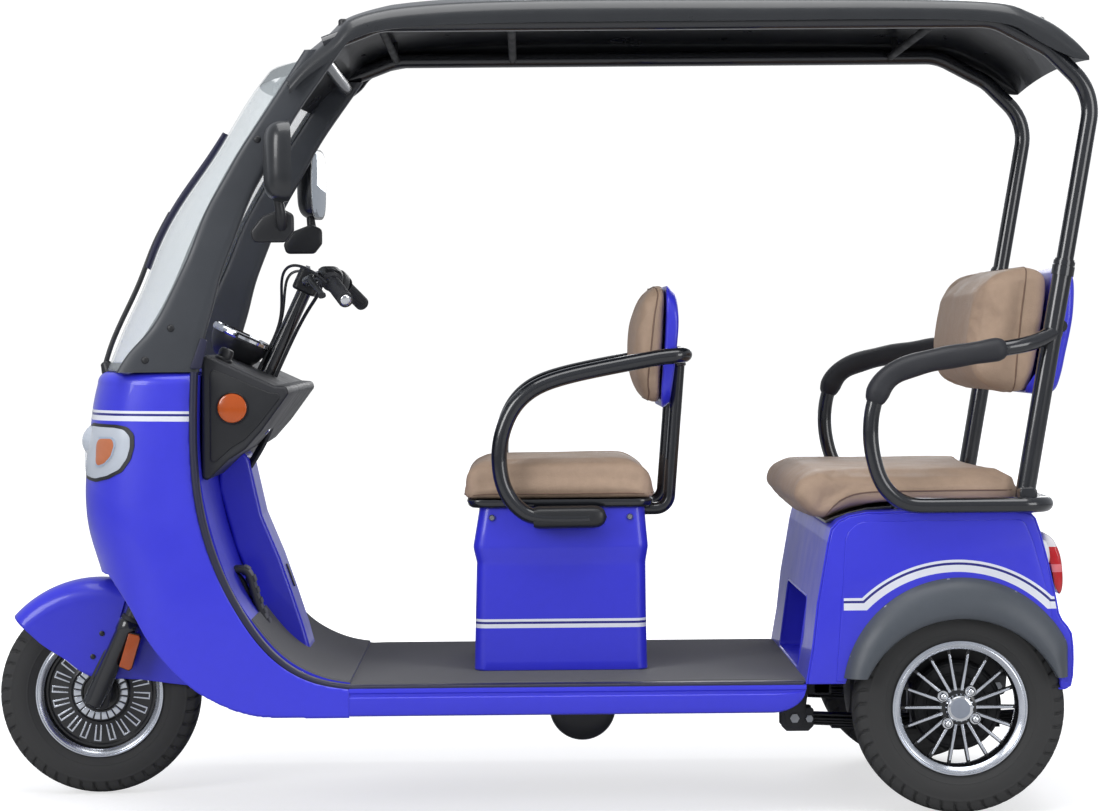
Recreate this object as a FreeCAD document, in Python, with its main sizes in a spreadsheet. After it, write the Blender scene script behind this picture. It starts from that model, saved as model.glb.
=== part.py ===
import FreeCAD, Part
import math
import os

# Passenger auto rickshaw: an electric trike with one steered wheel and two driven wheels.
# Front is -X, the driver's left is -Y, up is +Z, and the tyres stand on Z = 0.
# The origin is on the ground under the middle of the vehicle.

SIZES = {
    # wheels and running gear
    "wheel_base": 1818, "tyre_radius": 218, "tyre_width": 90, "tread_width": 46,
    "rim_radius": 140, "bead_seat": 129, "rim_wall": 5, "rim_width": 72, "rim_disc": 8,
    "hub_radius": 42, "hub_width": 92, "bar_start": 68, "bar_end": 110, "bar_width": 3.2,
    "bar_height": 3, "spoke_inner": 52, "spoke_outer": 117, "spoke_width": 9, "drum_radius": 70,
    "front_axle_radius": 7, "axle_play": 0.5, "rear_track": 764, "rear_overhang": 290,
    "axle_tube_radius": 30, "stub_radius": 15, "gear_case_radius": 88, "gear_case_length": 190,
    "motor_radius": 68, "motor_length": 150, "leaf_width": 45, "leaf_thick": 8,
    "leaf_place": 262, "spring_eye": 14, "bracket_wall": 6,
    # steering
    "fork_offset": 41, "fork_half": 88, "leg_radius": 18, "leg_length": 352, "slider_radius": 21,
    "slider_length": 190, "crown_thick": 30, "crown_half": 112, "crown_front": 24,
    "stem_radius": 16, "stem_top": 985, "head_gap": 1, "head_wall": 5, "head_low": 392,
    "head_high": 520, "guard_gap": 34, "guard_half": 64, "guard_wall": 3, "guard_lip": 26,
    "bar_radius": 11.5, "bar_half": 300, "bar_rise": 34, "bar_back": 108, "bar_drop": 32,
    "bar_middle": 70, "bar_bend": 45, "clamp_radius": 25, "clamp_length": 60,
    "grip_radius": 16.5, "grip_length": 118, "lever_length": 150, "lever_width": 12,
    "lever_ahead": 46, "switch_radius": 23, "switch_length": 46, "fork_mark_length": 82,
    "fork_mark_width": 26, "fork_mark_thick": 6,
    # front body
    "ground_gap": 211, "rocker_height": 60, "deck_half": 430, "deck_front": 567,
    "body_ahead": 314, "skin": 4, "mat_thick": 9, "rib_height": 3, "rib_width": 7,
    "rib_pitch": 14, "cowl_reach": 589, "cowl_height": 709, "shield_wall": 5, "trim_width": 24,
    "hump_half": 75, "dash_half": 372, "steer_hole": 31, "pod_radius": 62, "pod_depth": 42,
    "reflector_radius": 32, "reflector_thick": 8, "lamp_proud": 7, "pillar_inset": 26,
    "pillar_width": 30, "header_radius": 15, "glass_thick": 5, "glass_lap": 10,
    "wiper_radius": 6, "mirror_width": 108, "mirror_height": 165, "mirror_depth": 46,
    "mirror_stalk": 14, "mirror_back": 325, "mirror_base": 128, "mirror_base_height": 60,
    "mirror_lift": 80, "mirror_rise": 263, "pedal_width": 60, "pedal_place": 200,
    # frame and roof
    "rail_width": 40, "rail_height": 36, "rail_end": 206, "down_tube_radius": 19,
    "plate_hole_radius": 4.5, "plate_hole_pitch": 200, "roof_half": 435, "roof_wall": 4,
    "roof_crown": 40, "roof_corner": 34, "roof_top": 1672, "post_place": 405, "post_radius": 20,
    "hoop_radius": 17.5, "sleeve_top": 1125, "roof_tube_drop": 44, "roof_tube_front": 525,
    # middle seat
    "seat_front": 819, "pedestal_length": 371, "pedestal_half": 210, "pedestal_height": 345,
    "seat_plate": 14, "mid_cushion_length": 404, "mid_cushion_half": 216,
    "mid_cushion_thick": 92, "arm_radius": 16, "mid_arm_place": 262, "arm_rise": 330,
    "bracket_length": 155, "bracket_height": 46, "mid_back_half": 205, "mid_back_height": 254,
    "mid_back_thick": 97, "fabric_gap": 0.3,
    # rear seat and body
    "rear_body_length": 533, "rear_body_height": 350, "well_gap": 24,
    "well_width": 122, "cubby_half": 225, "cubby_top": 160, "cubby_depth": 100, "flare_out": 35,
    "flare_outer": 243, "flare_inner": 214, "flare_rise": 28, "flare_drop": 26,
    "rear_plate_thick": 16, "rear_cushion_length": 474, "rear_cushion_half": 380,
    "rear_cushion_thick": 100, "rear_back_half": 300, "rear_back_height": 265,
    "rear_back_thick": 216, "rear_back_ahead": 126, "rear_arm_place": 460, "pad_radius": 25,
    "ring_rise": 16, "stub_rise": 379, "tail_lamp_half": 418, "tail_lamp_width": 120,
    "tail_lamp_thick": 24,
    # under the floor
    "drum_tank_radius": 72, "drum_tank_length": 330, "drum_back": 1049, "drum_sink": 18,
    "cut_over": 40,
    # shared small sizes
    "collar_gap": 5, "collar_radius": 25, "collar_height": 14, "clamp_rise": 18, "seat_gap": 0.8,
    "rail_lead": 200, "cubby_gap": 12, "dash_round": 14, "reflector_back": 329,
    "reflector_rise": 845, "lamp_inner": 185, "pillar_back": 515, "pillar_length": 420,
    "pillar_height": 680, "wiper_place": 120, "roof_front": 393, "roof_length": 1692,
    "roof_bow": 79, "roof_depth": 131, "hoop_rise": 130, "hoop_run": 215, "hoop_bend": 110,
    "roof_tube_bend": 640, "pedal_back": 395, "pedal_rise": 430, "pedal_arm": 60,
    "bracket_start": 128, "arm_reach": 60, "arm_back": 457, "arm_bend": 60, "back_lift": 110,
    "back_reach": 114, "post_half": 150, "post_reach": 42, "post_rod": 13, "post_bend": 32,
    "back_corner": 60, "post_back": 130, "body_gap": 2, "riser_back": 24, "hanger_width": 24,
    "flare_foot": 66, "rear_plate_start": 172, "rear_plate_half": 368, "rear_plate_length": 294,
    "rear_nose": 29, "rear_arm_front": 186, "rear_arm_rise": 310, "rear_arm_hook": 40,
    "back_foot": 240, "ring_back": 178, "axle_gap": 4, "spring_lead": 12, "spring_tail": 182,
    "leaf_step": 60,
}

ANGLES = {"rake_angle": 25, "post_lean_angle": 10, "hoop_back_angle": 45, "guard_start_angle": 138,
          "guard_stop_angle": 3}

# Places between two ends, each a share of the way from the first end.
PLACE_SHARES = {"first_cross": 0.2, "second_cross": 0.8, "pod": 0.17, "pad_start": 0.28,
                "pad_end": 0.86, "lamp_start": 0.28, "lamp_end": 0.86, "mirror_corner": 0.45,
                "mirror_neck": 0.6, "pedal_bend": 1.5, "wiper_arm": 0.6, "wiper_hub": 1.3,
                "roof_stud": 0.78, "stud_radius": 0.36, "cushion_sink": 0.36}

# Knees of the arm tubes, as shares of the arm's rise behind its front and below its top or
# above its foot.
MID_ARM_SHARES = ((0.7, 0.09), (0.16, 0.22), (0, 0.55))
MID_ARM_FOOT_SHARES = ((0.05, 0.16),)
REAR_ARM_TOP_SHARES = ((0.36, 0.97), (0.02, 0.80), (0, 0.42), (0.10, 0.10), (0.45, 0))
REAR_ARM_END_SHARES = (0.5, 1.06)

COUNTS = {"bar_count": 36, "spoke_count": 16, "leaf_count": 3}

# Side outlines as shares of a length behind a front point and of a height above a foot.
NOSE_SHARES = ((0.0, 0.80), (0.24, 0.90), (0.41, 0.945), (0.54, 0.992), (0.68, 1.0), (0.80, 0.985),
               (0.91, 0.968), (1.0, 0.94))
PLAN_SHARES = ((0.0, 1.0), (0.35, 1.0), (0.62, 0.985), (0.80, 0.945), (0.895, 0.82), (0.955, 0.52),
               (1.0, 0.0))
COWL_WIDTH_SHARES = ((0.0, 1.0), (0.35, 0.995), (0.7, 0.98), (1.0, 0.965))
COWL_LOW_SHARES = ((1.05, 0.415), (0.97, 0.415), (0.85, 0.41), (0.77, 0.324), (0.71, 0.237),
                   (0.634, 0.154), (0.53, 0.075), (0.397, 0.018), (0.285, 0.0), (0.0, 0.0))
COWL_EDGE_SHARES = ((0.0, 0.082), (0.104, 0.097), (0.209, 0.135), (0.295, 0.195), (0.38, 0.291),
                    (0.448, 0.398), (0.499, 0.514), (0.53, 0.631), (0.541, 0.717), (0.539, 1.05))
SHIELD_SHARES = ((0.0, 0.097), (0.053, 0.104), (0.139, 0.128), (0.226, 0.172), (0.317, 0.254),
                 (0.397, 0.355), (0.458, 0.486), (0.494, 0.601), (0.513, 0.70), (0.515, 0.99))
DASH_SHARES = ((0.511, 1.052), (0.255, 0.953), (0.205, 0.968), (0.36, 0.774), (0.42, 0.74),
               (0.513, 0.668))
HUMP_SHARES = ((0.513, 0.72), (0.406, 0.682), (0.287, 0.433), (0.199, 0.215), (0.166, 0.11),
               (0.22, 0.11))
PILLAR_FRONT_SHARES = ((1.0, 0.0), (0.95, 0.05), (0.836, 0.128), (0.76, 0.204), (0.698, 0.281),
                       (0.645, 0.35), (0.56, 0.48), (0.469, 0.58), (0.405, 0.649), (0.317, 0.732),
                       (0.176, 0.863), (0.069, 0.965))
PILLAR_REAR_SHARES = ((-0.112, 0.965), (0.012, 0.859), (0.138, 0.744), (0.226, 0.646), (0.333, 0.53),
                      (0.39, 0.447), (0.436, 0.375), (0.493, 0.279), (0.531, 0.188), (0.571, 0.103),
                      (0.60, 0.0))
GLASS_SHARES = ((0.001, 1.134, 0.997), (0.128, 1.06, 0.836), (0.276, 0.95, 0.70),
                (0.382, 0.883, 0.626), (0.538, 0.74, 0.505), (0.66, 0.598, 0.393),
                (0.765, 0.493, 0.281), (0.863, 0.393, 0.176), (0.93, 0.308, 0.106))
WIPER_SHARES = (0.009, 0.10, 0.22, 0.34)
BLADE_SHARES = (0.30, 0.42, 0.54, 0.66)
ROOF_SHARES = ((0.0, -1.22, -1.44), (0.0307, -0.87, -1.14), (0.0798, -0.41, -0.78),
               (0.1318, -0.15, -0.49), (0.2314, -0.015, -0.382), (0.5626, 0.015, -0.351),
               (0.867, -0.055, -0.382), (0.9226, -0.176, -0.56), (0.9592, -0.41, -0.84),
               (0.9882, -0.72, -0.99), (1.0, -0.93, -1.0))
LAMP_SHARES = ((1.05, 0.824), (1.05, 0.700), (0.93, 0.707), (0.885, 0.685), (0.832, 0.694),
               (0.776, 0.721), (0.747, 0.767), (0.750, 0.824), (0.793, 0.842), (0.90, 0.848),
               (1.05, 0.848))
GUARD_EDGE_SHARES = ((1.0, 0.03), (0.78, 0.075), (0.25, 0.15), (-0.04, 0.157), (-0.27, 0.30),
                     (-0.56, 0.50))
PEDESTAL_SHARES = ((0.003, 0.03), (0.04, 0.0), (0.96, 0.0), (0.99, 0.03), (0.985, 0.645),
                   (1.0, 0.77), (0.98, 1.0), (0.04, 1.0), (0.0, 0.77), (0.02, 0.645))
MID_CUSHION_SHARES = ((0.01, 0.0), (0.0, 0.40), (0.06, 0.83), (0.16, 0.95), (0.5, 0.98),
                      (0.78, 1.0), (0.9, 0.85), (0.985, 0.40), (0.985, 0.0))
REAR_BODY_SHARES = ((0.0, 0.0), (0.06, 0.70), (0.088, 0.94), (0.23, 1.0), (0.86, 1.0),
                    (0.955, 0.46), (1.0, 0.31), (1.0, 0.0))
REAR_CUSHION_SHARES = ((0.0, 0.44), (0.02, 0.80), (0.09, 0.97), (0.16, 1.0), (0.97, 0.97),
                       (1.0, 0.80), (1.0, 0.36), (0.42, 0.36), (0.25, 0.24), (0.14, 0.0),
                       (0.04, 0.22))
REAR_BACK_SHARES = ((0.09, 0.05), (0.0, 0.16), (0.0, 0.40), (0.06, 0.70), (0.13, 0.88),
                    (0.27, 0.98), (0.60, 1.0), (0.77, 0.90), (0.70, 0.46), (0.61, 0.10), (0.50, 0.0))
REAR_SHELL_SHARES = ((0.53, 0.0), (0.63, 0.10), (0.72, 0.46), (0.79, 0.90), (0.84, 0.98),
                     (0.96, 0.96), (1.0, 0.88), (0.98, 0.60), (0.91, 0.30), (0.84, 0.08),
                     (0.75, 0.0))
MID_BACK_SHARES = ((0.18, 0.05), (0.0, 0.24), (0.02, 0.60), (0.16, 0.86), (0.34, 0.97),
                   (0.58, 1.0), (0.43, 0.0))
MID_SHELL_SHARES = ((0.44, 0.0), (0.59, 0.99), (0.80, 0.96), (0.985, 0.88), (0.98, 0.68),
                    (0.87, 0.28), (0.73, 0.0))

DOC = FreeCAD.newDocument("Rickshaw")
SHEET = DOC.addObject("Spreadsheet::Sheet", "Dims")
NODES = {}


class Size:
    """A value of the sheet, with the expression that an object's property is bound to."""

    def __init__(self, value, text):
        self.value = float(value)
        self.text = text

    def __float__(self):
        return self.value

    def __add__(self, other):
        other = as_size(other)
        return Size(self.value + other.value, f"({self.text} + {other.text})")

    def __sub__(self, other):
        other = as_size(other)
        return Size(self.value - other.value, f"({self.text} - {other.text})")

    def __mul__(self, other):
        other = as_size(other)
        return Size(self.value * other.value, f"({self.text} * {other.text})")

    def __truediv__(self, other):
        other = as_size(other)
        return Size(self.value / other.value, f"({self.text} / {other.text})")

    def __neg__(self):
        return Size(-self.value, f"(0 - {self.text})")

    def __radd__(self, other):
        return as_size(other) + self

    def __rsub__(self, other):
        return as_size(other) - self

    def __rmul__(self, other):
        return as_size(other) * self


def as_size(value):
    """Give a Size for a plain factor, zero or a worked-out length."""
    if isinstance(value, Size):
        return value
    return Size(value, f"({float(value):.9f})")


class Dims:
    """Read the sheet's values by their aliases."""

    def __init__(self):
        row = 0
        for table in (SIZES, ANGLES, COUNTS):
            for name, value in table.items():
                row += 1
                SHEET.set(f"A{row}", name)
                SHEET.set(f"B{row}", str(value))
                SHEET.setAlias(f"B{row}", name)
        DOC.recompute()

    def __getattr__(self, name):
        return Size(SHEET.get(name), f"Dims.{name}")


D = Dims()

# Main places that several pieces share.
FRONT_X = -(D.wheel_base + D.rear_overhang - D.tyre_radius) / 2
REAR_X = FRONT_X + D.wheel_base
AXLE_Z = D.tyre_radius
TAIL_X = REAR_X + D.rear_overhang
DECK_X = FRONT_X + D.deck_front
PILLAR_OUTER = D.deck_half - D.pillar_inset
PILLAR_INNER = PILLAR_OUTER - D.pillar_width
GLASS_HALF = PILLAR_INNER + D.glass_lap
BODY_X = REAR_X - D.body_ahead
DECK_END = BODY_X - D.body_gap
DECK_LENGTH = DECK_END - DECK_X
DECK_Z = D.ground_gap + D.rocker_height
MAT_Z = DECK_Z + D.mat_thick
COWL_TOP = D.ground_gap + D.cowl_height
RAKE = math.radians(float(D.rake_angle))
AXIS_X = FRONT_X + D.fork_offset * math.cos(RAKE)
AXIS_Z = AXLE_Z - D.fork_offset * math.sin(RAKE)
CLAMP_S = D.stem_top + D.clamp_rise
BODY_Z = DECK_Z
POST_X = REAR_X + D.post_back
POST_FOOT = BODY_Z + D.rear_body_height
RING_X = REAR_X + D.ring_back


def at(x, y, z):
    """Give a vector for three sizes or numbers."""
    return FreeCAD.Vector(float(x), float(y), float(z))


def bind(item, prop, size):
    """Bind one property of an object to the sheet."""
    item.setExpression(prop, as_size(size).text)


def place(item, x, y, z, axis=(0, 0, 1), angle=0):
    """Turn an object and bind its place to the sheet."""
    turn = FreeCAD.Rotation(FreeCAD.Vector(*axis), angle)
    item.Placement = FreeCAD.Placement(at(x, y, z), turn)
    for name, size in (("x", x), ("y", y), ("z", z)):
        bind(item, f"Placement.Base.{name}", size)
    return item


def rounded(points, radius, closed=True):
    """Join points by straight runs with a tangent arc at each corner."""
    count = len(points)
    radii = radius if isinstance(radius, (list, tuple)) else [radius] * count
    corners = []
    for index, here in enumerate(points):
        before = points[index - 1]
        after = points[(index + 1) % count]
        back = before - here
        ahead = after - here
        turn = math.pi - back.getAngle(ahead)
        sharp = not closed and index in (0, count - 1)
        if sharp or float(radii[index]) <= 0 or turn < 0.001:
            corners.append((here, here, None))
            continue
        room = 0.48 * min(back.Length, ahead.Length)
        leg = min(float(radii[index]) * math.tan(turn / 2), room)
        bend = leg / math.tan(turn / 2)
        back.normalize()
        ahead.normalize()
        inward = back + ahead
        inward.normalize()
        middle = here + inward * (bend / math.cos(turn / 2) - bend)
        corners.append((here + back * leg, here + ahead * leg, middle))
    pieces = []
    for index, (start, end, middle) in enumerate(corners):
        if middle is not None:
            pieces.append(Part.Arc(start, middle, end))
        if closed or index < count - 1:
            following = corners[(index + 1) % count][0]
            if (following - end).Length > 1e-6:
                pieces.append(Part.LineSegment(end, following))
    return pieces


def smooth(points):
    """Give one smooth curve through the points."""
    curve = Part.BSplineCurve()
    curve.interpolate(points)
    return curve


def side_points(shares, x, z, length, height, direction=1):
    """Give side outline points from shares of a length and a height."""
    return [at(float(x) + direction * share[0] * float(length),
               float(z) + share[1] * float(height), 0) for share in shares]


def cowl_points(shares):
    """Give points of the front body, measured forward from its rear plane."""
    return side_points(shares, DECK_X, D.ground_gap, D.cowl_reach, D.cowl_height, -1)


def sketch(body, role, geometry, lift=0):
    """Draw a closed outline on one of the body's own planes."""
    item = body.newObject("Sketcher::SketchObject", "Sketch")
    plane = [one for one in body.Origin.OriginFeatures if one.Role == role][0]
    item.AttachmentSupport = [(plane, "")]
    item.MapMode = "FlatFace"
    for piece in geometry:
        item.addGeometry(piece)
    bind(item, "AttachmentOffset.Base.z", lift)
    return item


def new_body(label):
    """Start a body with its origin planes."""
    body = DOC.addObject("PartDesign::Body", label)
    DOC.recompute()
    return body


def padded(label, role, geometry, length, lift=0, middle=False):
    """Make a body by padding an outline, along the plane's normal or to both sides."""
    body = new_body(label)
    pad = body.newObject("PartDesign::Pad", "Pad")
    pad.Profile = sketch(body, role, geometry, lift)
    bind(pad, "Length", length)
    if middle:
        pad.SideType = "Symmetric"
    DOC.recompute()
    return body


def pocketed(body, role, geometry, length, lift=0, reverse=False):
    """Cut an outline out of a body to both sides of the outline's plane."""
    before = body.Shape.Volume
    pocket = body.newObject("PartDesign::Pocket", "Pocket")
    pocket.Profile = sketch(body, role, geometry, lift)
    bind(pocket, "Length", length)
    pocket.SideType = "Symmetric"
    pocket.Reversed = reverse
    DOC.recompute()
    if body.Shape.Volume >= before:
        raise RuntimeError(f"{body.Label}: the pocket cuts nothing")
    return pocket


def patterned(body, feature, label, axis, count):
    """Repeat a feature round one of the body's axes."""
    pattern = body.newObject("PartDesign::PolarPattern", label)
    pattern.Originals = [feature]
    line = [one for one in body.Origin.OriginFeatures if one.Role == axis][0]
    pattern.Axis = (line, [""])
    pattern.Angle = 360
    bind(pattern, "Occurrences", count)
    body.Tip = pattern
    DOC.recompute()
    return pattern


def turned(label, points, radius=0):
    """Make a body by turning a section of (radius, width) points about its Y axis."""
    body = new_body(label)
    turn = body.newObject("PartDesign::Revolution", "Turn")
    profile = sketch(body, "XY_Plane", rounded(points, radius))
    turn.Profile = profile
    turn.ReferenceAxis = (profile, ["V_Axis"])
    turn.Angle = 360
    DOC.recompute()
    return body


def sided(label, geometry, inner, outer):
    """Pad a side outline between two widths on the left and on the right."""
    left = padded(label + "_left_piece", "XZ_Plane", geometry, outer - inner, inner)
    right = padded(label + "_right_piece", "XZ_Plane", geometry, outer - inner, -outer)
    return [left, right]


def box(label, x, y, z, length, width, height):
    """Make a block from its low corner and its size."""
    item = DOC.addObject("Part::Box", label)
    bind(item, "Length", length)
    bind(item, "Width", width)
    bind(item, "Height", height)
    return place(item, x, y, z)


def rod(label, x, y, z, radius, length, axis=(0, 0, 1), angle=0):
    """Make a round bar that starts at a point; along Y is a turn of -90 about X."""
    item = DOC.addObject("Part::Cylinder", label)
    bind(item, "Radius", radius)
    bind(item, "Height", length)
    return place(item, x, y, z, axis, angle)


def rod_along_y(label, x, y, z, radius, length):
    """Make a round bar that starts at a point and runs toward +Y."""
    return rod(label, x, y, z, radius, length, (1, 0, 0), -90)


def tube(label, points, radius, bend):
    """Sweep a round section along straight runs and tangent arcs."""
    path = DOC.addObject("Part::Feature", label + "_path")
    edges = [piece.toShape() for piece in rounded(points, bend, closed=False)]
    path.Shape = Part.Wire(edges)
    section = DOC.addObject("Part::Circle", label + "_section")
    bind(section, "Radius", radius)
    ahead = points[1] - points[0]
    section.Placement = FreeCAD.Placement(points[0], FreeCAD.Rotation(at(0, 0, 1), ahead))
    item = DOC.addObject("Part::Sweep", label)
    item.Sections = [section]
    item.Spine = (path, [f"Edge{index + 1}" for index in range(len(edges))])
    item.Solid = True
    item.Frenet = True
    return item


def loft(label, wires, ruled=False):
    """Join closed wires into one solid."""
    sections = []
    for index, wire in enumerate(wires):
        section = DOC.addObject("Part::Feature", f"{label}_section_{index}")
        section.Shape = wire
        sections.append(section)
    item = DOC.addObject("Part::Loft", label)
    item.Sections = sections
    item.Solid = True
    item.Ruled = ruled
    return item


def cut(label, base, tool):
    """Take one piece away from another."""
    item = DOC.addObject("Part::Cut", label)
    item.Base = base
    item.Tool = tool
    return item


def fuse(label, pieces):
    """Join pieces into one."""
    item = DOC.addObject("Part::MultiFuse", label)
    item.Shapes = pieces
    return item


def common(label, pieces):
    """Keep what pieces share."""
    item = DOC.addObject("Part::MultiCommon", label)
    item.Shapes = pieces
    return item


def together(label, pieces):
    """Keep separate like pieces in one node."""
    item = DOC.addObject("Part::Compound", label)
    item.Links = pieces
    return item


def keep(name, item):
    """Name an object as one of the vehicle's nodes."""
    item.Label = name
    NODES[name] = item
    return item


def steered(item):
    """Set a piece made about the steering axis into the raked head."""
    item.Placement = FreeCAD.Placement(at(AXIS_X, 0, AXIS_Z),
                                       FreeCAD.Rotation(at(0, 1, 0), float(D.rake_angle)))
    bind(item, "Placement.Base.x", AXIS_X)
    bind(item, "Placement.Base.z", AXIS_Z)
    return item


def steer_rod(label, radius, start, end):
    """Make a round bar on the steering axis between two heights along it."""
    x = AXIS_X + start * math.sin(RAKE)
    z = AXIS_Z + start * math.cos(RAKE)
    return rod(label, x, 0, z, radius, end - start, (0, 1, 0), float(D.rake_angle))


def tyre_and_rim(name, x, y, angle, bore, barred):
    """Make one wheel's tyre and rim, its outer face toward +Y before it is turned about Z."""
    half = D.tyre_width / 2
    tread = D.tread_width / 2
    edge = D.rim_width / 2
    bead = edge - D.rim_wall
    wall = (D.tyre_radius + D.rim_radius) / 2
    shoulder = D.tyre_radius - D.rim_wall * 2
    side = [(D.bead_seat, bead), (D.rim_radius + D.rim_wall / 2, bead),
            (wall, half), (shoulder, (half + tread) / 2), (D.tyre_radius, tread)]
    soft = [0, 0, D.hub_radius, D.hub_radius / 2, D.hub_radius / 4]
    section = [at(r, -w, 0) for r, w in side] + [at(r, w, 0) for r, w in side[::-1]]
    tyre = turned(name + "_tyre_body", section, soft + soft[::-1])
    keep(name + "_tyre", place(tyre, x, y, AXLE_Z, angle=angle))
    floor = D.bead_seat - D.rim_wall
    disc = D.rim_disc / 2
    flange = [(floor, edge), (D.rim_radius, edge), (D.rim_radius, bead), (D.bead_seat, bead)]
    rim_points = [at(floor, -disc, 0)] + [at(r, -w, 0) for r, w in flange]
    rim_points += [at(r, w, 0) for r, w in flange[::-1]]
    rim_points += [at(floor, disc, 0), at(D.hub_radius, disc, 0),
                   at(D.hub_radius, D.hub_width / 2, 0), at(bore, D.hub_width / 2, 0),
                   at(bore, -D.hub_width / 2, 0), at(D.drum_radius, -D.hub_width / 2, 0),
                   at(D.drum_radius, -disc, 0)]
    rim = turned(name + "_rim_body", rim_points)
    if barred:
        bar = rim.newObject("PartDesign::Pad", "Bar")
        width = D.bar_width / 2
        bar.Profile = sketch(rim, "XZ_Plane", rounded([
            at(D.bar_start, -width, 0), at(D.bar_end, -width, 0),
            at(D.bar_end, width, 0), at(D.bar_start, width, 0)], 0), -disc)
        bind(bar, "Length", D.bar_height)
        bar.Reversed = True
        DOC.recompute()
        patterned(rim, bar, "Bars", "Y_Axis", D.bar_count)
    else:
        pitch = math.pi / float(D.spoke_count)
        inner = math.asin(float(D.spoke_width) / 2 / float(D.spoke_inner))
        outer = math.asin(float(D.spoke_width) / 2 / float(D.spoke_outer))
        window = []
        for radius, turn in ((D.spoke_inner, inner - pitch), (D.spoke_outer, outer - pitch),
                             (D.spoke_outer, pitch - outer), (D.spoke_inner, pitch - inner)):
            window.append(at(radius * math.cos(turn), radius * math.sin(turn), 0))
        gap = pocketed(rim, "XZ_Plane", rounded(window, D.rim_wall / 2), D.rim_disc * 2)
        patterned(rim, gap, "Windows", "Y_Axis", D.spoke_count)
    keep(name + "_rim", place(rim, x, y, AXLE_Z, angle=angle))


def make_wheels():
    """Make the steered wheel and the two driven wheels."""
    tyre_and_rim("front_wheel", FRONT_X, 0, 180, D.front_axle_radius + D.axle_play, True)
    half = D.rear_track / 2
    bore = D.stub_radius + D.axle_play
    tyre_and_rim("rear_wheel_left", REAR_X, -half, 180, bore, False)
    tyre_and_rim("rear_wheel_right", REAR_X, half, 0, bore, False)


def make_fork():
    """Make the fork, its axle and markers about the steering axis."""
    lead = -D.fork_offset
    pieces = []
    marks = []
    for side, name in ((-1, "left"), (1, "right")):
        y = side * D.fork_half
        pieces.append(rod(f"leg_{name}", lead, y, 0, D.leg_radius, D.leg_length))
        pieces.append(rod(f"slider_{name}", lead, y, -D.slider_radius, D.slider_radius,
                          D.slider_length))
        tab = D.fork_mark_width + D.slider_radius
        low = D.slider_length / 2 - D.fork_mark_length / 2
        inner = y - D.fork_mark_thick / 2
        pieces.append(box(f"mark_tab_{name}", lead, inner, low, tab, D.fork_mark_thick,
                          D.fork_mark_length))
        outer = y + side * D.fork_mark_thick / 2 - (D.fork_mark_thick if side < 0 else 0)
        marks.append(box(f"mark_{name}", lead + D.slider_radius, outer, low, D.fork_mark_width,
                         D.fork_mark_thick, D.fork_mark_length))
    crown_low = D.leg_length - D.crown_thick
    crown_length = D.fork_offset + D.crown_front * 2
    pieces.append(box("crown", lead - D.crown_front, -D.crown_half, crown_low, crown_length,
                      D.crown_half * 2, D.crown_thick))
    pieces.append(rod("stem", 0, 0, crown_low, D.stem_radius, D.stem_top - crown_low))
    pieces.append(rod("stem_collar", 0, 0, D.head_high + D.collar_gap, D.collar_radius,
                      D.collar_height))
    pieces.append(rod_along_y("bar_clamp", 0, -D.clamp_length / 2, CLAMP_S, D.clamp_radius,
                              D.clamp_length))
    bar_hole = rod_along_y("bar_hole", 0, -D.clamp_length, CLAMP_S, D.bar_radius,
                           D.clamp_length * 2)
    pin_half = D.fork_half + D.slider_radius + D.fork_mark_width
    pin_hole = rod_along_y("pin_hole", lead, -pin_half, 0, D.front_axle_radius, pin_half * 2)
    fork = cut("fork_bored", fuse("fork_body", pieces), together("fork_holes", [bar_hole, pin_hole]))
    keep("fork", steered(fork))
    pin = rod_along_y("pin", lead, -pin_half, 0, D.front_axle_radius, pin_half * 2)
    keep("front_axle", steered(together("front_axle_set", [pin])))
    keep("fork_reflectors", steered(together("fork_marks", marks)))


def bar_route():
    """Give the handlebar's middle line about the steering axis, from left to right."""
    right = [at(0, D.bar_middle, CLAMP_S), at(D.bar_back / 3, D.bar_half / 2, CLAMP_S + D.bar_rise),
             at(D.bar_back, D.bar_half, CLAMP_S + D.bar_rise - D.bar_drop)]
    left = [at(p.x, -p.y, p.z) for p in right[::-1]]
    return left + right


def make_handlebar():
    """Make the handlebar, its grips and its levers."""
    route = bar_route()
    bar = tube("handlebar_tube", route, D.bar_radius, D.bar_bend)
    keep("handlebar", steered(together("handlebar_set", [bar])))
    grips = []
    levers = []
    for name, end, inward in (("left", route[0], route[1]), ("right", route[-1], route[-2])):
        along = inward - end
        along.normalize()
        stop = end + along * float(D.grip_length)
        sleeve = tube(f"grip_{name}", [end, stop], D.grip_radius, 0)
        grips.append(cut(f"grip_bored_{name}", sleeve, bar))
        perch_start = stop + along * float(D.fabric_gap)
        perch_end = perch_start + along * float(D.switch_length)
        perch = tube(f"perch_{name}", [perch_start, perch_end], D.switch_radius, 0)
        ahead = at(-D.lever_ahead, 0, 0)
        middle = perch_start + along * (float(D.switch_length) / 2)
        blade = [middle + at(-D.bar_radius - D.lever_width / 4, 0, 0), middle + ahead,
                 middle + ahead - along * float(D.lever_length)]
        lever = tube(f"lever_{name}", blade, D.lever_width / 2, D.lever_width * 2)
        levers.append(cut(f"lever_bored_{name}", fuse(f"lever_body_{name}", [perch, lever]), bar))
    keep("handlebar_grips", steered(together("grips", grips)))
    keep("brake_levers", steered(together("levers", levers)))


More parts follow.
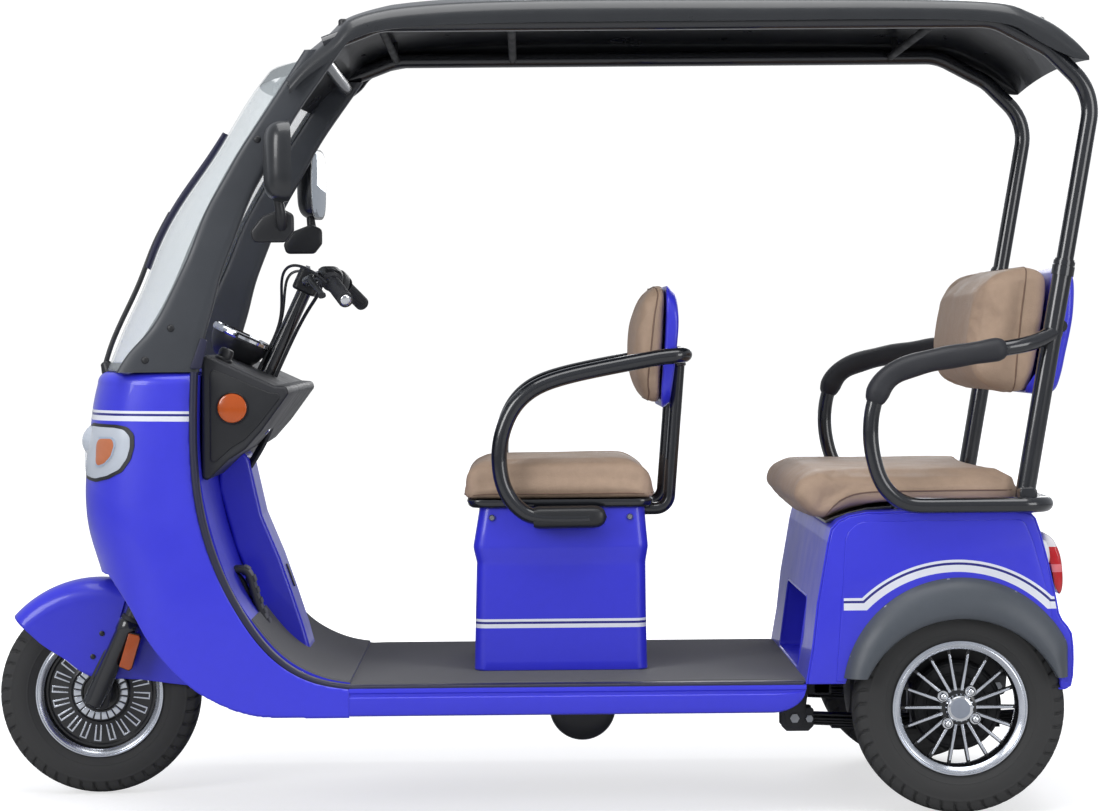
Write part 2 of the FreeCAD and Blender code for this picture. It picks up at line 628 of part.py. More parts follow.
def guard_outline(radius, reach):
    """Give the mudguard's side outline; reach moves its open edge away from the tyre's top."""
    start = math.radians(float(D.guard_start_angle))
    stop = math.radians(float(D.guard_stop_angle))
    middle = (start + stop) / 2
    arc = Part.Arc(at(FRONT_X + radius * math.cos(start), AXLE_Z + radius * math.sin(start), 0),
                   at(FRONT_X + radius * math.cos(middle), AXLE_Z + radius * math.sin(middle), 0),
                   at(FRONT_X + radius * math.cos(stop), AXLE_Z + radius * math.sin(stop), 0))
    edge = side_points(GUARD_EDGE_SHARES, FRONT_X, AXLE_Z - reach, D.tyre_radius, D.tyre_radius)
    line = [arc.EndPoint] + edge[1:] + [arc.StartPoint]
    return [arc] + [Part.LineSegment(a, b) for a, b in zip(line, line[1:])]


def make_mudguard():
    """Make the front mudguard: a bent channel over the tyre, with a stay up to the fork crown."""
    outer = D.tyre_radius + D.guard_gap
    skin = padded("guard_outer", "XZ_Plane", guard_outline(outer, 0), D.guard_half * 2, middle=True)
    hollow = padded("guard_inner", "XZ_Plane", guard_outline(outer - D.guard_wall, D.cut_over),
                    (D.guard_half - D.guard_wall) * 2, middle=True)
    stay_low = outer - D.guard_wall / 2
    stay = box("guard_stay_bar", -D.fork_offset / 2 - D.guard_lip / 2, -D.guard_lip / 2, stay_low,
               D.guard_lip, D.guard_lip, D.leg_length - D.crown_thick - stay_low)
    stay_set = steered(together("guard_stay", [stay]))
    keep("front_mudguard", fuse("guard", [cut("guard_skin", skin, hollow), stay_set]))


def plate_holes(label, end, wall):
    """Make the room of the two number plate bolts through a wall that ends at a place."""
    x = end - wall - D.cut_over
    z = AXLE_Z + D.gear_case_radius + D.cubby_gap + D.rail_height / 2
    return [rod(f"{label}_plate_hole_{name}", x, y, z, D.plate_hole_radius,
                wall + D.cut_over * 2, (0, 1, 0), 90)
            for name, y in (("left", -D.plate_hole_pitch / 2), ("right", D.plate_hole_pitch / 2))]


def make_frame():
    """Make the welded chassis frame with its steering head."""
    pieces = []
    top = DECK_Z - D.skin
    riser_x = BODY_X + D.riser_back
    rear_low = AXLE_Z + D.gear_case_radius + D.cubby_gap
    for side, name in ((-1, "left"), (1, "right")):
        y = side * D.leaf_place - D.rail_width / 2
        pieces.append(box(f"rail_{name}", DECK_X - D.rail_lead, y, top - D.rail_height,
                          riser_x + D.rail_width - DECK_X + D.rail_lead, D.rail_width,
                          D.rail_height))
        pieces.append(box(f"riser_{name}", riser_x, y, top - D.rail_height,
                          D.rail_width, D.rail_width, rear_low + D.rail_height * 2 - top))
        pieces.append(box(f"rear_rail_{name}", riser_x, y, rear_low,
                          REAR_X + D.rail_end - riser_x, D.rail_width, D.rail_height))
        end = D.drum_tank_length / 2 + D.fabric_gap
        hanger_y = end if side > 0 else -D.leaf_place + D.rail_width / 2
        pieces.append(box(f"hanger_{name}", FRONT_X + D.drum_back - D.hanger_width / 2, hanger_y,
                          top - D.rail_height, D.hanger_width,
                          D.leaf_place - D.rail_width / 2 - end, D.rail_height))
    cross = D.leaf_place * 2
    for index, x in enumerate((DECK_X - D.rail_lead, DECK_X + DECK_LENGTH * PLACE_SHARES["first_cross"],
                               DECK_X + DECK_LENGTH * PLACE_SHARES["second_cross"])):
        pieces.append(box(f"cross_{index}", x, -D.leaf_place, top - D.rail_height, D.rail_width,
                          cross, D.rail_height))
    pieces.append(box("rear_cross", REAR_X + D.rail_end - D.rail_width, -D.leaf_place, rear_low,
                      D.rail_width, cross, D.rail_height))
    head = steer_rod("head_tube", D.stem_radius + D.head_gap + D.head_wall, D.head_low, D.head_high)
    bore = steer_rod("head_bore", D.stem_radius + D.head_gap, D.head_low - D.cut_over,
                     D.head_high + D.cut_over)
    middle = (float(D.head_low) + float(D.head_high)) / 2
    knee = at(AXIS_X + middle * math.sin(RAKE), 0, AXIS_Z + middle * math.cos(RAKE))
    foot = at(DECK_X - D.rail_lead + D.rail_width / 2, 0, top - D.rail_height / 2)
    pieces.append(tube("down_tube", [knee, foot], D.down_tube_radius, 0))
    body = fuse("frame_body", pieces + [head])
    holes = plate_holes("frame", REAR_X + D.rail_end, D.rail_width)
    cut("frame_bored", body, together("frame_holes", holes + [bore]))


def make_floor():
    """Make the rocker tray and the ribbed floor mat."""
    half = D.deck_half
    plan = rounded([at(DECK_X, -half, 0), at(DECK_END, -half, 0), at(DECK_END, half, 0),
                    at(DECK_X, half, 0)], 0)
    tray = padded("tray", "XY_Plane", plan, D.rocker_height, D.ground_gap)
    inset = half - D.skin
    hollow = rounded([at(DECK_X + D.skin, -inset, 0), at(DECK_END - D.skin, -inset, 0),
                      at(DECK_END - D.skin, inset, 0), at(DECK_X + D.skin, inset, 0)], 0)
    pocketed(tray, "XY_Plane", hollow, (D.rocker_height - D.skin) * 2, D.ground_gap)
    slot = D.leaf_place + D.leaf_width / 2 + D.bracket_wall + D.fabric_gap + D.seat_gap
    gate = rounded([at(DECK_X - D.cut_over, -slot, 0), at(DECK_END + D.cut_over, -slot, 0),
                    at(DECK_END + D.cut_over, slot, 0), at(DECK_X - D.cut_over, slot, 0)], 0)
    pocketed(tray, "XY_Plane", gate, (D.rocker_height - D.skin) * 2, D.ground_gap)
    keep("floor_tray", tray)
    mat_half = half - D.trim_width - D.rib_width
    ribs = int(float(mat_half) * 2 / float(D.rib_pitch))
    first = -float(D.rib_pitch) * (ribs - 1) / 2
    base = MAT_Z - D.rib_height
    points = [at(-mat_half, DECK_Z, 0), at(mat_half, DECK_Z, 0), at(mat_half, base, 0)]
    for index in reversed(range(ribs)):
        y = first + index * float(D.rib_pitch)
        high = y + float(D.rib_width) / 2
        low = y - float(D.rib_width) / 2
        points += [at(high, base, 0), at(high, MAT_Z, 0), at(low, MAT_Z, 0), at(low, base, 0)]
    points.append(at(-mat_half, base, 0))
    keep("floor_mat", padded("mat", "YZ_Plane", rounded(points, 0), DECK_LENGTH, DECK_X))


def cowl_section(height_share, depth_share, grow):
    """Give the front body's plan outline at one height, grown outward by a distance."""
    z = D.ground_gap + D.cowl_height * height_share
    low, width = COWL_WIDTH_SHARES[0]
    for next_height, next_width in COWL_WIDTH_SHARES[1:]:
        if height_share <= next_height:
            width += (next_width - width) * (height_share - low) / (next_height - low)
            break
        low, width = next_height, next_width
    half = float(D.deck_half) * width + float(grow)
    reach = float(D.cowl_reach) * depth_share + float(grow)
    left = [at(DECK_X - reach * ahead, -half * out, z) for ahead, out in PLAN_SHARES]
    right = [at(p.x, -p.y, p.z) for p in left[-2::-1]]
    edge = smooth(left + right)
    return Part.Wire([edge.toShape(), Part.LineSegment(right[-1], left[0]).toShape()])


def cowl_loft(label, grow, low_over, high_over):
    """Loft the front body through its plan outlines."""
    wires = []
    for height, depth in NOSE_SHARES:
        wires.append(cowl_section(height, depth, grow))
    wires[0].translate(at(0, 0, -low_over))
    wires[-1].translate(at(0, 0, high_over))
    return loft(label, wires)


def cowl_side_outline():
    """Give the front body's side outline: wheel opening, sill, door edge and top."""
    low = cowl_points(COWL_LOW_SHARES)
    edge = [at(DECK_X, DECK_Z, 0)] + cowl_points(COWL_EDGE_SHARES)[1:]
    front = cowl_points([(1.05, 1.05)])[0]
    nose = low[:3]
    arch = low[2:8]
    pieces = [Part.LineSegment(a, b) for a, b in zip([edge[-1], front], [front, nose[0]])]
    pieces += [Part.LineSegment(a, b) for a, b in zip(nose, nose[1:])]
    pieces.append(smooth(arch))
    tail = low[7:]
    pieces += [Part.LineSegment(a, b) for a, b in zip(tail, tail[1:])]
    pieces.append(Part.LineSegment(tail[-1], edge[0]))
    pieces.append(smooth(edge))
    return pieces


def shield_points():
    """Give the rear face of the leg shield in the side view, from the floor up."""
    return [at(DECK_X, MAT_Z, 0)] + cowl_points(SHIELD_SHARES)[1:]


def shifted(points, distance):
    """Move each point of a line sideways by a distance."""
    moved = []
    for index, here in enumerate(points):
        before = points[max(index - 1, 0)]
        after = points[min(index + 1, len(points) - 1)]
        along = after - before
        along.normalize()
        moved.append(at(here.x - along.y * float(distance), here.y + along.x * float(distance), 0))
    return moved


def make_cowl():
    """Make the hollow front body, its edge trim, leg shield, lamps and column cover."""
    outer = cowl_loft("cowl_outer", 0, 0, 0)
    inner = cowl_loft("cowl_inner", -D.shield_wall, D.cut_over, -D.shield_wall)
    side = padded("cowl_side", "XZ_Plane", cowl_side_outline(), D.deck_half * 3, middle=True)
    shell = cut("cowl_shell", outer, inner)
    keep("front_cowl", common("cowl", [shell, side]))
    edge = [at(DECK_X, DECK_Z, 0)] + cowl_points(COWL_EDGE_SHARES)[1:-1]
    rear = shield_points()
    edge.append(at(edge[-1].x, rear[-1].y, 0))
    trim = [smooth(edge[::-1]), Part.LineSegment(edge[0], at(DECK_END, DECK_Z, 0)),
            Part.LineSegment(at(DECK_END, DECK_Z, 0), at(DECK_END, MAT_Z, 0)),
            Part.LineSegment(at(DECK_END, MAT_Z, 0), rear[0]), smooth(rear),
            Part.LineSegment(rear[-1], edge[-1])]
    trim_inner = D.deck_half - D.trim_width - D.skin
    trims = together("trim", sided("trim", trim, trim_inner, trim_inner + D.trim_width))
    keep("cowl_trim", cut("trim_cut", trims, NODES["front_cowl"]))
    sheet_front = shifted(rear, D.shield_wall)
    sheet = [smooth(rear), Part.LineSegment(rear[-1], sheet_front[-1]),
             smooth(sheet_front[::-1]), Part.LineSegment(sheet_front[0], rear[0])]
    shield = padded("shield", "XZ_Plane", sheet, trim_inner * 2, middle=True)
    hole = steer_rod("shield_hole", D.steer_hole, D.head_low, D.stem_top)
    keep("leg_shield", cut("shield_bored", shield, hole))
    far = cowl_points([(1.0, 1.05), (1.0, 0.0), (0.0, 0.0)])
    ahead = [smooth(rear), Part.LineSegment(rear[-1], at(rear[-1].x, far[0].y, 0)),
             Part.LineSegment(at(rear[-1].x, far[0].y, 0), far[0]),
             Part.LineSegment(far[0], far[1]), Part.LineSegment(far[1], far[2]),
             Part.LineSegment(far[2], rear[0])]
    hump_points = cowl_points(HUMP_SHARES)
    hump = padded("hump_outer", "XZ_Plane", rounded(hump_points, D.hump_half / 4),
                  D.hump_half * 2, middle=True)
    wall = float(D.shield_wall)
    inset = [at(p.x - wall, p.y - wall, 0) for p in hump_points]
    hollow = padded("hump_inner", "XZ_Plane", rounded(inset, D.hump_half / 4),
                    (D.hump_half - D.shield_wall) * 2, middle=True)
    ahead_of_hump = padded("ahead_of_hump", "XZ_Plane", ahead, D.deck_half * 2, middle=True)
    hump_shell = cut("hump", cut("hump_skin", hump, hollow), ahead_of_hump)
    ahead_of_dash = padded("ahead_of_dash", "XZ_Plane", ahead, D.deck_half * 2, middle=True)
    padded("ahead_of_pedal", "XZ_Plane", ahead, D.deck_half * 2, middle=True)
    dash = padded("dash_outer", "XZ_Plane", rounded(cowl_points(DASH_SHARES), D.dash_round),
                  D.dash_half * 2, middle=True)
    dash_hole = steer_rod("dash_hole", D.steer_hole, D.head_low, D.stem_top)
    keep("dash_console", cut("dash_bored", cut("dash", dash, ahead_of_dash), dash_hole))
    room = together("cover_room", [NODES["dash_console"], dash_hole])
    keep("column_cover", cut("cover_cut", hump_shell, room))
    front, back = cowl_points(DASH_SHARES)[:2]
    slope = math.atan2(front.y - back.y, back.x - front.x)
    share = PLACE_SHARES["pod"]
    foot_x = front.x + (back.x - front.x) * share
    foot_z = front.y + (back.y - front.y) * share
    lift = float(D.fabric_gap)
    keep("instrument_pod", rod("pod", foot_x + lift * math.sin(slope), 0,
                               foot_z + lift * math.cos(slope), D.pod_radius, D.pod_depth,
                               (0, 1, 0), math.degrees(slope)))
    mark_x = FRONT_X + D.reflector_back
    marks = [rod_along_y("mark_left", mark_x, -D.dash_half - D.reflector_thick, D.reflector_rise,
                         D.reflector_radius, D.reflector_thick),
             rod_along_y("mark_right", mark_x, D.dash_half, D.reflector_rise,
                         D.reflector_radius, D.reflector_thick)]
    keep("side_reflectors", together("side_marks", marks))
    proud = cowl_loft("cowl_proud", D.lamp_proud, 0, 0)
    core = cowl_loft("cowl_core", D.fabric_gap, 0, 0)
    lamp_outline = rounded(cowl_points(LAMP_SHARES), D.dash_round)
    lamps = together("lamp_blocks", sided("lamp", lamp_outline, D.lamp_inner, D.deck_half))
    keep("headlamps", cut("lamps", common("lamp_shells", [proud, lamps]), core))


def pillar_point(x_share, z_share):
    """Give a side point of the windscreen pillar."""
    return at(FRONT_X + D.pillar_back - D.pillar_length * x_share,
              COWL_TOP + D.pillar_height * z_share, 0)


def make_windscreen():
    """Make the pillars with their header, the bowed glass and the wiper."""
    front = [pillar_point(*share) for share in PILLAR_FRONT_SHARES]
    rear = [pillar_point(*share) for share in PILLAR_REAR_SHARES]
    outline = [smooth(front), Part.LineSegment(front[-1], rear[0]), smooth(rear),
               Part.LineSegment(rear[-1], front[0])]
    pillars = sided("pillar", outline, PILLAR_INNER, PILLAR_OUTER)
    top = (front[-1] + rear[0]) * 0.5
    header = rod_along_y("header", top.x, -PILLAR_INNER - D.header_radius,
                         top.y - float(D.header_radius), D.header_radius,
                         (PILLAR_INNER + D.header_radius) * 2)
    frame = fuse("windscreen_frame_body", pillars + [header])
    keep("windscreen_frame", cut("windscreen_frame_cut", frame, NODES["roof_frame"]))
    wires = []
    for z_share, centre_share, side_share in GLASS_SHARES:
        centre = pillar_point(centre_share, z_share)
        side = pillar_point(side_share, z_share)
        z = centre.y
        gap = float(D.glass_thick) + float(D.seat_gap)
        half = GLASS_HALF
        thick = float(D.glass_thick)
        outer = Part.Arc(at(side.x - gap, -half, z), at(centre.x, 0, z), at(side.x - gap, half, z))
        inner = Part.Arc(at(side.x - gap + thick, half, z), at(centre.x + thick, 0, z),
                         at(side.x - gap + thick, -half, z))
        ends = [Part.LineSegment(outer.EndPoint, inner.StartPoint),
                Part.LineSegment(inner.EndPoint, outer.StartPoint)]
        wires.append(Part.Wire([outer.toShape(), ends[0].toShape(), inner.toShape(),
                                ends[1].toShape()]))
    room = together("glass_room", [DOC.getObject("roof_block"), NODES["windscreen_frame"]])
    keep("windscreen_glass", cut("glass_cut", loft("glass", wires), room))
    runs = []
    proud = float(D.wiper_radius) * 2 + float(D.glass_thick) / 4
    thin = D.wiper_radius * PLACE_SHARES["wiper_arm"]
    for name, shares, radius in (("arm", WIPER_SHARES, thin),
                                 ("blade", BLADE_SHARES, D.wiper_radius)):
        route = [glass_point(share, -float(D.wiper_place), proud) for share in shares]
        runs.append(tube(f"wiper_{name}", route, radius, D.wiper_radius * 4))
    hub = glass_point(WIPER_SHARES[0], -float(D.wiper_place), proud)
    runs.append(rod("wiper_hub", hub.x, -D.wiper_place, COWL_TOP,
                    D.wiper_radius * PLACE_SHARES["wiper_hub"], D.wiper_radius * 2))
    keep("windscreen_wiper", fuse("wiper", runs))


def glass_point(z_share, y, proud):
    """Give a point ahead of the glass at a height share and a width."""
    table = list(GLASS_SHARES)
    low = table[0]
    high = table[-1]
    for first, second in zip(table, table[1:]):
        if first[0] <= z_share <= second[0]:
            low, high = first, second
    if z_share < table[0][0]:
        low, high = table[0], table[1]
    part = (z_share - low[0]) / (high[0] - low[0])
    centre = pillar_point(low[1] + (high[1] - low[1]) * part, z_share)
    side = pillar_point(low[2] + (high[2] - low[2]) * part, z_share)
    gap = float(D.glass_thick) + float(D.seat_gap)
    bow = (side.x - gap - centre.x) * (y / float(GLASS_HALF)) ** 2
    return at(centre.x + bow - proud, y, centre.y)


def roof_section(x, top, bottom, half, crown):
    """Give the roof's cross outline at one station."""
    corner = float(D.roof_corner) * min(1.0, (top - bottom) / float(D.roof_corner) / 1.3)
    bend = corner * (1 - math.sqrt(0.5))
    left = [at(x, -half, bottom), at(x, -half, top - corner), at(x, -half + bend, top - bend),
            at(x, -half + corner, top)]
    right = [at(x, -p.y, p.z) for p in left[::-1]]
    pieces = [Part.LineSegment(left[0], left[1]), Part.Arc(left[1], left[2], left[3]),
              Part.Arc(left[3], at(x, 0, top + crown), right[0]),
              Part.Arc(right[0], right[1], right[2]), Part.LineSegment(right[2], right[3]),
              Part.LineSegment(right[3], left[0])]
    return Part.Wire([piece.toShape() for piece in pieces])


def make_roof():
    """Make the crowned roof shell."""
    start = float(FRONT_X + D.roof_front)
    length = float(D.roof_length)
    depth = float(D.roof_depth)
    half = float(D.roof_half)
    wall = float(D.roof_wall)
    crown = float(D.roof_crown)
    outer = []
    inner = []
    for share, top_share, bottom_share in ROOF_SHARES:
        x = start + length * share
        top = float(D.roof_top) + depth * top_share
        bottom = float(D.roof_top) + depth * bottom_share
        outer.append(roof_section(x, top, bottom, half, crown))
        if share < 1:
            over = float(D.cut_over)
            inner.append(roof_section(x, top - wall, bottom - over, half - wall, crown))
    inner[0].translate(at(-D.roof_wall, 0, 0))
    shell = cut("roof_shell", loft("roof_outer", outer), loft("roof_inner", inner))
    edge = start + float(D.roof_bow)
    wide = half + float(D.cut_over)
    bow = Part.Arc(at(edge, -wide, 0), at(start + wall, 0, 0), at(edge, wide, 0))
    tail = start + length + wall
    plan = [bow, Part.LineSegment(bow.EndPoint, at(tail, wide, 0)),
            Part.LineSegment(at(tail, wide, 0), at(tail, -wide, 0)),
            Part.LineSegment(at(tail, -wide, 0), bow.StartPoint)]
    room = padded("roof_plan", "XY_Plane", plan, D.roof_depth * 3, D.roof_top - D.roof_depth * 2)
    common("roof_bowed", [shell, room])
    common("roof_block", [DOC.getObject("roof_outer"), room])


def make_roof_frame():
    """Make the roof's two bent side tubes, their cross bars and the studs under the panel."""
    lean = math.radians(float(D.post_lean_angle))
    back = math.radians(float(D.hoop_back_angle))
    pieces = []
    studs = []
    stud_y = D.post_place * PLACE_SHARES["roof_stud"]
    stud_radius = D.hoop_radius * PLACE_SHARES["stud_radius"]
    tube_z = D.roof_top - D.roof_tube_drop
    for side, name in ((-1, "left"), (1, "right")):
        y = side * D.post_place
        foot = at(POST_X + (D.sleeve_top - POST_FOOT) * math.tan(lean), y, D.sleeve_top)
        turn_x = TAIL_X - D.hoop_radius - D.hoop_bend * (1 - math.cos(lean))
        turn_z = POST_FOOT + (turn_x - POST_X) / math.tan(lean)
        leg = D.hoop_bend * math.tan((math.pi / 2 - back + lean) / 2)
        knee = at(turn_x + leg * math.sin(lean), y, turn_z + leg * math.cos(lean))
        rise = at(-D.hoop_rise * math.cos(back), 0, D.hoop_rise * math.sin(back))
        route = [foot, knee, knee + rise,
                 at(TAIL_X - D.hoop_run, y, tube_z), at(FRONT_X + D.roof_tube_bend, y, tube_z),
                 at(FRONT_X + D.roof_tube_front, y, tube_z - D.roof_tube_drop)]
        pieces.append(tube(f"roof_tube_{name}", route, D.hoop_radius, D.hoop_bend))
    for index, x in enumerate((FRONT_X + D.roof_tube_bend, (FRONT_X + REAR_X) / 2,
                               TAIL_X - D.hoop_run - D.hoop_bend)):
        pieces.append(rod_along_y(f"roof_bar_{index}", x, -D.post_place, tube_z,
                                  D.hoop_radius / 2, D.post_place * 2))
        studs.extend(rod(f"roof_stud_{index}_{side}", x, place, tube_z, stud_radius,
                         D.roof_depth * 2)
                     for side, place in (("left", -stud_y), ("right", stud_y)))
    studs = together("roof_stud_rods", studs)
    pieces.append(common("roof_studs", [studs, DOC.getObject("roof_inner")]))
    keep("roof_frame", fuse("roof_frame_body", pieces))
    keep("roof_panel", cut("roof_cut", DOC.getObject("roof_bowed"), NODES["roof_frame"]))


def make_mirrors():
    """Make the two mirror heads and their stalks on the pillars."""
    heads = []
    stalks = []
    x = FRONT_X + D.mirror_back
    z = COWL_TOP + D.mirror_rise
    wide = D.mirror_stalk * 2
    for side, name in ((-1, "left"), (1, "right")):
        inner = PILLAR_OUTER if side > 0 else -PILLAR_OUTER - wide
        stalks.append(fuse(f"stalk_{name}", [
            box(f"stalk_foot_{name}", x, inner, z, D.mirror_base, wide, D.mirror_base_height),
            box(f"stalk_arm_{name}", x + D.mirror_base - wide, inner, z, wide, wide,
                D.mirror_lift)]))
        low = PILLAR_OUTER + wide / 4 if side > 0 else -PILLAR_OUTER - wide / 4 - D.mirror_width
        foot = z + D.mirror_lift
        reach = D.mirror_width * PLACE_SHARES["mirror_neck"] + wide / 4
        start = PILLAR_OUTER if side > 0 else -PILLAR_OUTER - reach
        neck = box(f"stalk_neck_{name}", x + D.mirror_base - wide, start, foot - wide / 2, wide,
                   reach, wide / 2)
        stalks[-1] = fuse(f"stalk_{name}_whole", [stalks[-1], neck])
        outline = rounded([at(low, foot, 0), at(low + D.mirror_width, foot, 0),
                           at(low + D.mirror_width, foot + D.mirror_height, 0),
                           at(low, foot + D.mirror_height, 0)],
                          D.mirror_width * PLACE_SHARES["mirror_corner"])
        heads.append(padded(f"mirror_{name}", "YZ_Plane", outline, D.mirror_depth,
                            x + D.mirror_base - D.mirror_depth))
    keep("mirror_stalks", together("stalks", stalks))
    keep("mirror_heads", together("mirrors", heads))


def make_pedal():
    """Make the foot brake pedal on its arm below the dash."""
    y = D.pedal_place
    route = [at(FRONT_X + D.pedal_back - D.pedal_arm * PLACE_SHARES["pedal_bend"], -y,
                D.pedal_rise + D.pedal_arm),
             at(FRONT_X + D.pedal_back, -y, D.pedal_rise),
             at(FRONT_X + D.pedal_back + D.pedal_arm / 2, -y, D.pedal_rise - D.pedal_arm)]
    arm = tube("pedal_arm", route, D.wiper_radius, D.wiper_radius * 4)
    pad = box("pedal_pad", route[-1].x - float(D.wiper_radius) * 2, -y - D.pedal_width / 2,
              route[-1].z - float(D.wiper_radius) * 3, D.wiper_radius * 4, D.pedal_width,
              D.wiper_radius * 3)
    ahead = DOC.getObject("ahead_of_pedal")
    keep("brake_pedal", cut("pedal_cut", fuse("pedal", [arm, pad]), ahead))


def make_mid_seat():
    """Make the driver's seat on its pedestal, with its wrapped arm tube."""
    x = FRONT_X + D.seat_front
    top = MAT_Z + D.pedestal_height
    outline = rounded(side_points(PEDESTAL_SHARES, x, MAT_Z, D.pedestal_length,
                                  D.pedestal_height), D.dash_round)
    keep("seat_pedestal", padded("pedestal", "XZ_Plane", outline, D.pedestal_half * 2, middle=True))
    keep("seat_base", box("seat_plate_block", x, -D.pedestal_half, top, D.pedestal_length,
                          D.pedestal_half * 2, D.seat_plate))
    cushion_z = top + D.seat_plate + D.fabric_gap
    cushion_x = x + D.pedestal_length / 2 - D.mid_cushion_length / 2
    outline = rounded(side_points(MID_CUSHION_SHARES, cushion_x, cushion_z, D.mid_cushion_length,
                                  D.mid_cushion_thick), D.dash_round)
    keep("seat_cushion", padded("seat_pad", "XZ_Plane", outline, D.mid_cushion_half * 2,
                                middle=True))
    bracket_x = x + D.bracket_start
    bracket_z = top - D.bracket_height
    brackets = []
    for side, name in ((-1, "left"), (1, "right")):
        low = D.pedestal_half if side > 0 else -D.mid_arm_place
        brackets.append(box(f"bracket_{name}", bracket_x, low, bracket_z, D.bracket_length,
                            D.mid_arm_place - D.pedestal_half, D.bracket_height))
    arm_z = bracket_z + D.bracket_height / 2
    front = x + D.arm_reach
    back = x + D.arm_back
    high = arm_z + D.arm_rise
    loops = []
    for side, name in ((-1, "left"), (1, "right")):
        y = side * D.mid_arm_place
        rise = D.arm_rise
        route = [at(back, 0, high), at(back, y, high)]
        route += [at(front + rise * a, y, high - rise * b) for a, b in MID_ARM_SHARES]
        route += [at(front + rise * a, y, arm_z + rise * b) for a, b in MID_ARM_FOOT_SHARES]
        route += [at(bracket_x, y, arm_z), at(bracket_x + D.bracket_length, y, arm_z)]
        loops.append(tube(f"seat_arm_{name}", route, D.arm_radius, D.arm_bend))
        post_y = side * D.post_half
        post_z = top - D.post_rod
        post = [at(x + D.pedestal_length - D.bracket_wall * 2, post_y, post_z),
                at(x + D.pedestal_length + D.post_reach, post_y, post_z),
                at(back - D.arm_radius / 2, post_y, high - D.arm_radius / 2)]
        loops.append(tube(f"seat_post_{name}", post, D.post_rod, D.post_bend))
        pad_y = post_y - D.post_rod
        loops.append(box(f"back_lug_{name}", back - D.arm_radius * 2, pad_y, high - D.arm_radius,
                         D.arm_radius * 2, D.post_rod * 2, D.arm_radius * 2))
    low = cushion_z + D.mid_cushion_thick + D.back_lift
    back_x = back - D.back_reach
    wide = rounded([at(-D.mid_back_half, low, 0), at(D.mid_back_half, low, 0),
                    at(D.mid_back_half, low + D.mid_back_height, 0),
                    at(-D.mid_back_half, low + D.mid_back_height, 0)], D.back_corner)
    for name, shares in (("backrest_cushion", MID_BACK_SHARES), ("backrest_shell", MID_SHELL_SHARES)):
        side = padded(f"{name}_side", "XZ_Plane", rounded(side_points(
            shares, back_x, low, D.mid_back_thick, D.mid_back_height), D.dash_round),
            D.mid_back_half * 2, middle=True)
        face = padded(f"{name}_face", "YZ_Plane", wide, D.mid_back_thick * 2, back_x)
        keep(name, common(f"{name}_common", [side, face]))
    room = together("seat_frame_room", [NODES["seat_pedestal"], NODES["backrest_shell"]])
    keep("seat_frame", cut("seat_frame_cut", fuse("seat_frame_body", loops + brackets), room))


def make_rear_body():
    """Make the hollow rear body with its wheel wells, storage recess and arch flares."""
    outline = side_points(REAR_BODY_SHARES, BODY_X, BODY_Z, D.rear_body_length,
                          D.rear_body_height)
    outer = padded("rear_outer", "XZ_Plane", rounded(outline, D.dash_round),
                   D.deck_half * 2, middle=True)
    wall = D.skin
    height = float(D.rear_body_height) - float(wall)
    inset = side_points(REAR_BODY_SHARES, BODY_X + wall, BODY_Z, D.rear_body_length - wall * 2,
                        height)
    inset[0] = inset[0] + at(0, -D.cut_over, 0)
    inset[-1] = inset[-1] + at(0, -D.cut_over, 0)
    inner = padded("rear_inner", "XZ_Plane", rounded(inset, D.dash_round),
                   (D.deck_half - wall) * 2, middle=True)
    room = D.tyre_radius + D.well_gap
    liners = []
    wells = []
    half = D.deck_half
    for side, name in ((-1, "left"), (1, "right")):
        start = half - D.well_width if side > 0 else -half - D.cut_over
        wells.append(rod_along_y(f"well_{name}", REAR_X, start, AXLE_Z, room,
                                 D.well_width + D.cut_over))
        start = half - D.well_width - wall if side > 0 else -half - D.cut_over
        liners.append(rod_along_y(f"liner_{name}", REAR_X, start, AXLE_Z, room + wall,
                                  D.well_width + D.cut_over + wall))
    tub_block = box("tub_block", BODY_X - D.cut_over, -D.cubby_half - wall, BODY_Z,
                    D.cubby_depth + wall + D.cut_over, (D.cubby_half + wall) * 2,
                    D.cubby_top + wall * 2)
    hollow = cut("rear_hollow", inner, together("liners", liners))
    shell = cut("rear_shell", outer, hollow)
    body = cut("rear_wells", shell, together("wells", wells))
    room = box("cubby_room", BODY_X - D.cut_over, -D.cubby_half, BODY_Z + wall,
               D.cubby_depth + D.cut_over, D.cubby_half * 2, D.cubby_top)
    rooms = plate_holes("body", BODY_X + D.rear_body_length, D.skin) + [tub_block]
    keep("rear_body", cut("rear_open", body, together("rear_rooms", rooms)))
    keep("storage_tub", cut("tub_open", common("tub_skin", [outer, tub_block]), room))
    flares = []
    outer_z = AXLE_Z + D.flare_rise
    inner_z = AXLE_Z - D.flare_drop
    foot = AXLE_Z + D.flare_foot
    reach = math.sqrt(float(D.flare_outer) ** 2 - float(foot - outer_z) ** 2)
    bite = math.sqrt(float(D.flare_inner) ** 2 - float(foot - inner_z) ** 2)
    arch = [Part.Arc(at(REAR_X - reach, foot, 0), at(REAR_X, outer_z + D.flare_outer, 0),
                     at(REAR_X + reach, foot, 0)),
            Part.LineSegment(at(REAR_X + reach, foot, 0), at(REAR_X + bite, foot, 0)),
            Part.Arc(at(REAR_X + bite, foot, 0), at(REAR_X, inner_z + D.flare_inner, 0),
                     at(REAR_X - bite, foot, 0)),
            Part.LineSegment(at(REAR_X - bite, foot, 0), at(REAR_X - reach, foot, 0))]
    flares = sided("flare", arch, half, half + D.flare_out)
    keep("wheel_flares", together("flares", flares))
    return outline


